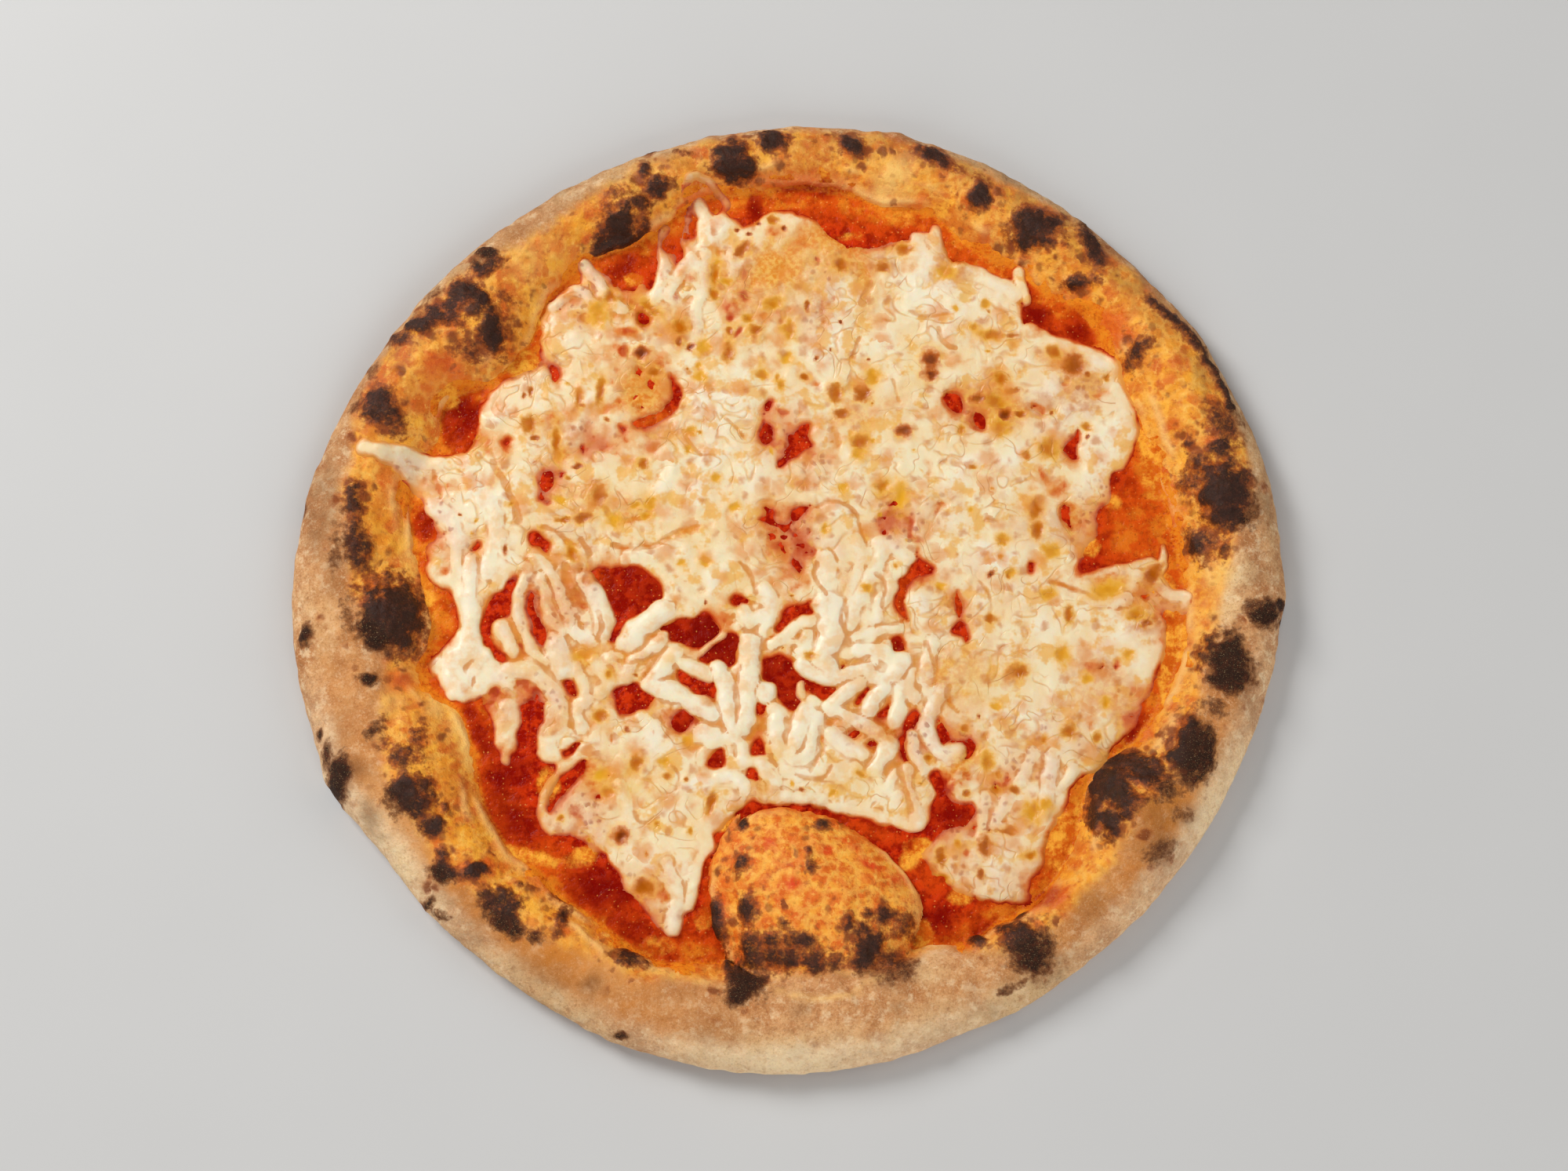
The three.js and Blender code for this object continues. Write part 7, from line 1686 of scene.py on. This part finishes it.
    # brown freckles of three sizes
    for size, shift, lo, hi, k, rgb in ((5.4, 3, 0.08, 0.36, 0.80, (116, 56, 24)),
                                        (3.2, 5, 0.10, 0.36, 0.50, (118, 58, 26)),
                                        (1.9, 7, 0.12, 0.38, 0.22, (136, 70, 32))):
        s = p.spots(size, freckle, shift, lo, hi, 0.13)
        ring = p.spots(size, freckle, shift, lo + 0.14, hi + 0.16, 0.16)
        skin = p.mix(skin, lin(178, 98, 38), p.do("MULTIPLY", ring, 0.45 * k))
        skin = p.mix(skin, lin(*rgb), p.do("MULTIPLY", s, k))
    # char: brown halo, then near black
    ragged = p.do("ADD", char, p.do("MULTIPLY", p.do("SUBTRACT", small, 0.5), 1.15))
    ragged = p.do("ADD", ragged, p.do("MULTIPLY", p.do("SUBTRACT", mid, 0.5), 0.7))
    ragged = p.do("ADD", ragged, p.do("MULTIPLY", p.do("SUBTRACT", grain, 0.5), 0.5))
    on = p.ramp(char, 0.02, 0.16)
    halo = p.do("MULTIPLY", p.ramp(ragged, 0.02, 0.44), on)
    black = p.do("MULTIPLY", p.ramp(ragged, 0.34, 0.78), on)
    skin = p.mix(skin, p.mix(lin(138, 68, 26), lin(116, 74, 46), flour), p.do("MULTIPLY", halo, 0.85))
    soot = p.mix(lin(32, 18, 16), lin(84, 44, 30), p.ramp(small, 0.44, 0.68))
    soot = p.mix(soot, lin(24, 14, 14), p.ramp(ragged, 0.80, 1.20, 0.0, 0.85))
    skin = p.mix(skin, soot, p.do("MULTIPLY", black, 0.95))
    # grain
    skin = p.mix(skin, lin(255, 238, 208), p.do("MULTIPLY", p.ramp(fine, 0.60, 0.78), p.do("MULTIPLY_ADD", flour, 0.30, 0.08)))
    skin = p.mix(skin, lin(110, 62, 32), p.do("MULTIPLY", p.ramp(fine, 0.42, 0.26), 0.16))
    p.set("Base Color", p.times(skin, (1.20, 1.00, 0.66)))
    rough = p.do("MULTIPLY_ADD", flour, 0.36, 0.46)
    rough = p.do("ADD", rough, p.do("MULTIPLY", black, 0.10))
    rough = p.do("SUBTRACT", rough, p.do("MULTIPLY", st, 0.18), clamp=True)
    p.set("Roughness", rough)
    p.set("IOR", 1.45)
    p.set("Specular IOR Level", 0.28)
    b = p.bump(mid, 0.5, 1.4)
    b = p.bump(rough24, 0.6, 0.9, b)
    b = p.bump(grain, 0.6, 0.28, b)
    p.set("Normal", b)
    p.skin.inputs["Subsurface Weight"].default_value = 0.10
    p.skin.inputs["Subsurface Radius"].default_value = (1.0, 0.45, 0.2)
    p.skin.inputs["Subsurface Scale"].default_value = 0.0012
    return p.mat


def sauce_material():
    p = Paint("tomato_sauce")
    orange, deep, film, gild = p.attr("orange"), p.attr("deep"), p.attr("film"), p.attr("gild")
    big, mid, small, grain = p.noise(9, 3), p.noise(3.0, 3, 0.6), p.noise(1.1, 3, 0.65), p.noise(0.45, 2, 0.6)
    c = p.mix(lin(146, 18, 6), lin(200, 56, 18), p.ramp(mid, 0.40, 0.62))
    c = p.mix(c, lin(208, 88, 26), p.do("MULTIPLY", orange, p.ramp(mid, 0.26, 0.58, 0.45, 1.0)))
    c = p.mix(c, lin(232, 156, 66), p.do("MULTIPLY", p.ramp(orange, 0.62, 0.98), p.ramp(p.noise(5.0, 4, 0.65, shift=3), 0.42, 0.60, 0.10, 0.85)))
    c = p.mix(c, lin(228, 148, 58), p.do("MULTIPLY", film, p.ramp(small, 0.34, 0.64, 0.10, 0.80)))
    c = p.mix(c, lin(122, 8, 3), p.do("MULTIPLY", deep, p.ramp(big, 0.62, 0.34, 0.45, 0.95)))
    c = p.mix(c, lin(206, 84, 34), p.do("MULTIPLY", p.ramp(small, 0.60, 0.76), 0.45))
    # painted highlights: tiny pale specks stand in for glints on the wet sauce
    c = p.mix(c, lin(240, 176, 130), p.do("MULTIPLY", p.spots(1.7, 0.26, 4, 0.06, 0.15, 0.05), 0.45))
    c = p.mix(c, lin(92, 8, 5), p.do("MULTIPLY", p.ramp(small, 0.42, 0.28), 0.45))
    # where only a stain of it lies on the baked dough
    bare = p.mix(lin(206, 104, 34), lin(244, 186, 96), p.ramp(p.noise(5.0, 5, 0.68, shift=9), 0.40, 0.62))
    bare = p.mix(bare, lin(176, 74, 24), p.ramp(p.noise(3.2, 4, 0.68, shift=10), 0.56, 0.70, 0.0, 0.65))
    c = p.mix(c, bare, p.ramp(p.do("ADD", gild, p.do("MULTIPLY", p.do("SUBTRACT", small, 0.5), 0.4)), 0.25, 0.75))
    p.set("Base Color", p.times(c, (1.14, 0.92, 0.38)))
    p.set("Roughness", p.ramp(mid, 0.3, 0.7, 0.22, 0.40))
    p.set("IOR", 1.20)
    p.set("Specular IOR Level", 0.26)
    b = p.bump(mid, 0.8, 1.1)
    b = p.bump(small, 0.6, 0.22, b)
    p.set("Normal", b)
    p.skin.inputs["Subsurface Weight"].default_value = 0.08
    p.skin.inputs["Subsurface Radius"].default_value = (1.0, 0.2, 0.1)
    p.skin.inputs["Subsurface Scale"].default_value = 0.001
    return p.mat


def cheese_material():
    p = Paint("melted_mozzarella")
    thick, crease, core, halo, tone = p.attr("thick"), p.attr("crease"), p.attr("core"), p.attr("halo"), p.attr("tone")
    thinness, fresh, yellow, toast = p.attr("thinness"), p.attr("fresh"), p.attr("yellow"), p.attr("toast")
    amber, rust = p.attr("amber"), p.attr("rust")
    big, mid, small, grain = p.noise(13, 3), p.noise(4.5, 3, 0.6), p.noise(1.5, 3, 0.6), p.noise(0.5, 2, 0.6)
    other = p.noise(7.0, 3, 0.6, shift=5)
    t = p.do("ADD", thick, p.do("MULTIPLY", p.do("SUBTRACT", small, 0.5), 0.22))
    t = p.do("ADD", t, p.do("MULTIPLY", p.do("SUBTRACT", mid, 0.5), 0.30))
    # from the sauce showing through a film to thick white cheese
    gild = p.attr("gild")
    c = p.mix(lin(172, 38, 14), lin(204, 82, 32), p.ramp(t, 0.04, 0.26))
    c = p.mix(c, lin(224, 128, 62), p.ramp(t, 0.24, 0.48))
    c = p.mix(c, lin(232, 158, 74), p.ramp(gild, 0.2, 0.7, 0.0, 0.92))
    c = p.mix(c, lin(238, 180, 116), p.ramp(t, 0.46, 0.68))
    c = p.mix(c, lin(247, 218, 168), p.ramp(t, 0.66, 0.92))
    c = p.mix(c, lin(251, 238, 210), p.ramp(t, 0.95, 1.50, 0.0, 0.9))
    body = p.ramp(t, 0.35, 0.75)
    # whiter and yellower stretches
    pale = p.do("MULTIPLY", p.ramp(p.noise(11, 3, 0.6, shift=15), 0.46, 0.60), p.ramp(thinness, 0.7, 0.1))
    c = p.mix(c, lin(250, 235, 196), p.do("MULTIPLY", p.do("MULTIPLY", pale, 0.62), p.ramp(t, 0.45, 0.80)))
    soft = p.do("MULTIPLY", fresh, p.ramp(other, 0.42, 0.60, 0.0, 0.60))
    c = p.mix(c, lin(243, 208, 164), soft)
    warm = p.do("MULTIPLY", p.ramp(other, 0.52, 0.64), p.ramp(fresh, 0.8, 0.0, 0.25, 0.72))
    c = p.mix(c, lin(240, 176, 64), p.do("MULTIPLY", warm, body))
    y = p.do("MULTIPLY", yellow, p.ramp(mid, 0.30, 0.58, 0.15, 0.80))
    c = p.mix(c, lin(240, 190, 74), p.do("MULTIPLY", y, body))
    # translucent peach
    pe = p.do("MULTIPLY", p.ramp(p.attr("ghost"), 0.30, 1.40, 0.0, 0.80), p.ramp(t, 0.35, 0.70))
    c = p.mix(c, p.mix(lin(238, 190, 134), lin(230, 164, 98), p.ramp(mid, 0.42, 0.62)), p.do("MULTIPLY", pe, p.ramp(small, 0.28, 0.58, 0.55, 1.0)))
    # pinkish zones with small red flecks
    pink = p.do("MULTIPLY", thinness, p.ramp(mid, 0.36, 0.58, 0.15, 0.65))
    c = p.mix(c, lin(226, 158, 118), pink)
    fleck = p.do("MULTIPLY", p.spots(2.8, 0.42, 6, 0.10, 0.34, 0.16), p.ramp(thinness, 0.15, 0.7))
    c = p.mix(c, lin(166, 66, 28), p.do("MULTIPLY", fleck, 0.62))
    # oil in the creases
    k = p.do("MULTIPLY", p.ramp(crease, 0.10, 0.62), p.ramp(other, 0.32, 0.54, 0.45, 1.0))
    oil = p.mix(lin(212, 130, 40), lin(186, 78, 26), p.ramp(p.do("ADD", thinness, p.ramp(t, 0.5, 0.15)), 0.2, 0.9))
    c = p.mix(c, oil, p.do("MULTIPLY", k, 0.74))
    # golden oily pools of fat, and toasted patches
    am = p.do("MULTIPLY", amber, p.ramp(mid, 0.26, 0.54, 0.40, 0.90))
    c = p.mix(c, p.mix(lin(230, 138, 30), lin(243, 186, 88), p.ramp(small, 0.38, 0.64)), am)
    ts = p.do("MULTIPLY", toast, p.ramp(mid, 0.38, 0.60, 0.20, 0.85))
    c = p.mix(c, lin(200, 110, 38), ts)
    # sauce bleeding through
    bleed = p.ramp(p.do("ADD", rust, p.do("MULTIPLY", p.do("SUBTRACT", small, 0.5), 0.9)), 0.22, 0.85)
    bleed = p.do("MULTIPLY", bleed, p.ramp(rust, 0.02, 0.2))
    c = p.mix(c, p.mix(lin(214, 116, 66), lin(186, 58, 24), p.ramp(rust, 0.45, 0.95)), p.do("MULTIPLY", bleed, 0.82))
    # soft veins of oil that wander round the lobes
    wander = None
    for mm, s, width in ((14.0, 21, 0.040), (8.5, 22, 0.044)):
        line = p.do("ABSOLUTE", p.do("SUBTRACT", p.noise(mm, 1.2, 0.45, warp=0.9, shift=s), 0.5))
        line = p.do("MULTIPLY", p.ramp(line, width, 0.0), p.ramp(p.noise(17, 2, 0.5, shift=s + 5), 0.46, 0.62))
        wander = line if wander is None else p.do("MAXIMUM", wander, line)
    wander = p.do("MULTIPLY", p.do("MULTIPLY", wander, p.ramp(fresh, 0.5, 0.1)), p.ramp(t, 0.30, 0.60))
    c = p.mix(c, p.mix(lin(236, 178, 84), lin(214, 132, 46), p.ramp(mid, 0.42, 0.62)), p.do("MULTIPLY", wander, 0.62))
    # oily halos, and the pits themselves: deepest and darkest at the middle
    hz = p.do("MULTIPLY", halo, p.ramp(small, 0.22, 0.60, 0.35, 0.85))
    c = p.mix(c, p.mix(lin(244, 184, 72), lin(226, 132, 48), p.ramp(tone, 0.5, 1.7)), hz)
    well = p.do("ADD", core, p.do("MULTIPLY", p.do("SUBTRACT", small, 0.5), 0.45))
    rimmed = p.mix(lin(236, 172, 52), lin(190, 92, 16), p.ramp(tone, 0.2, 1.5))
    deepest = p.mix(lin(232, 166, 40), lin(196, 100, 6), p.ramp(tone, 0.1, 0.9))
    deepest = p.mix(deepest, lin(118, 44, 4), p.ramp(tone, 0.8, 1.8))
    pit = p.mix(rimmed, deepest, p.ramp(well, 0.30, 0.85))
    c = p.mix(c, pit, p.ramp(well, 0.06, 0.52, 0.0, 0.97))
    # soft orange blotches and a few pepper like specks
    gate = p.ramp(fresh, 0.5, 0.1)
    fh = p.spots(8.0, 0.50, 12, 0.12, 0.40, 0.24)
    c = p.mix(c, lin(228, 142, 58), p.do("MULTIPLY", p.do("MULTIPLY", fh, 0.62), gate))
    fr = p.spots(6.0, 0.34, 13, 0.08, 0.26, 0.16)
    c = p.mix(c, lin(206, 118, 44), p.do("MULTIPLY", p.do("MULTIPLY", fr, 0.60), gate))
    p.set("Base Color", c)
    p.set("Roughness", p.ramp(mid, 0.3, 0.7, 0.30, 0.46))
    p.set("Specular IOR Level", p.ramp(t, 0.15, 0.80, 0.0, 0.35))
    b = p.bump(mid, 0.5, 0.40)
    b = p.bump(small, 0.5, 0.18, b)
    b = p.bump(p.do("SUBTRACT", 1.0, wander), 0.6, 0.30, b)
    p.set("Normal", b)
    p.set("Subsurface Weight", p.ramp(t, 0.30, 0.95, 0.0, 0.28))
    p.skin.inputs["Subsurface Radius"].default_value = (1.0, 0.5, 0.25)
    p.skin.inputs["Subsurface Scale"].default_value = 0.0013
    return p.mat


# ---------------------------------------------------------------- put together
crust = crust_mesh()
crust.data.materials.append(crust_material())
sauce = sauce_mesh()
sauce.data.materials.append(sauce_material())
cheese = cheese_mesh()
cheese.data.materials.append(cheese_material())

# floor, light, camera
floor_mesh = bpy.data.meshes.new("floor")
h = 6.0
z = FLOOR_Z * 0.001
floor_mesh.from_pydata([(-h, -h, z), (h, -h, z), (h, h, z), (-h, h, z)], [], [(0, 1, 2, 3)])
floor = bpy.data.objects.new("floor", floor_mesh)
bpy.context.scene.collection.objects.link(floor)
fm = Paint("pale_floor")
fm.set("Base Color", fm.mix(lin(206, 205, 203), lin(209, 208, 206), fm.noise(60, 2)))
fm.set("Roughness", 0.85)
fm.set("Specular IOR Level", 0.1)
floor.data.materials.append(fm.mat)

world = bpy.data.worlds.new("studio")
bpy.context.scene.world = world
world.use_nodes = True
world.node_tree.nodes["Background"].inputs[0].default_value = (1.0, 1.0, 1.0, 1.0)
world.node_tree.nodes["Background"].inputs[1].default_value = 0.18


def area(name, at, size, watts, colour=(1, 1, 1)):
    d = bpy.data.lights.new(name, "AREA")
    d.shape = "RECTANGLE"
    d.size = d.size_y = size
    d.energy = watts
    d.color = colour
    o = bpy.data.objects.new(name, d)
    o.location = at
    o.rotation_mode = "QUATERNION"
    o.rotation_quaternion = (Vector((CX, CY, 8.0)) * 0.001 - Vector(at)).to_track_quat("-Z", "Y")
    bpy.context.scene.collection.objects.link(o)
    return o


area("key", (-0.90, 0.75, 1.00), 0.6, 18.0)
area("fill", (0.20, -1.30, 0.90), 1.2, 11.0)
area("side", (1.20, 0.30, 0.90), 1.0, 4.7)

tilt = math.radians(10.4)
look = Vector((CX - 1.64 * SIZE, CY + 0.04 * SIZE, FLOOR_Z + 8.0 * SIZE)) * 0.001
forward = Vector((0, math.sin(tilt), -math.cos(tilt)))
cam_data = bpy.data.cameras.new("camera")
cam_data.sensor_width = 36.0
cam_data.lens = 71.04
cam_data.clip_start, cam_data.clip_end = 0.05, 20.0
cam = bpy.data.objects.new("camera", cam_data)
cam.location = look - forward * (1.0 * SIZE)
cam.rotation_mode = "QUATERNION"
cam.rotation_quaternion = forward.to_track_quat("-Z", "Y")
bpy.context.scene.collection.objects.link(cam)
bpy.context.scene.camera = cam
bpy.context.scene.view_settings.view_transform = "Standard"
bpy.context.scene.view_settings.look = "None"
bpy.context.scene.view_settings.exposure = 0.0
bpy.context.scene.view_settings.gamma = 1.0

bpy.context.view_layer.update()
print(f"scene built in {time.time() - T0:.1f} s")
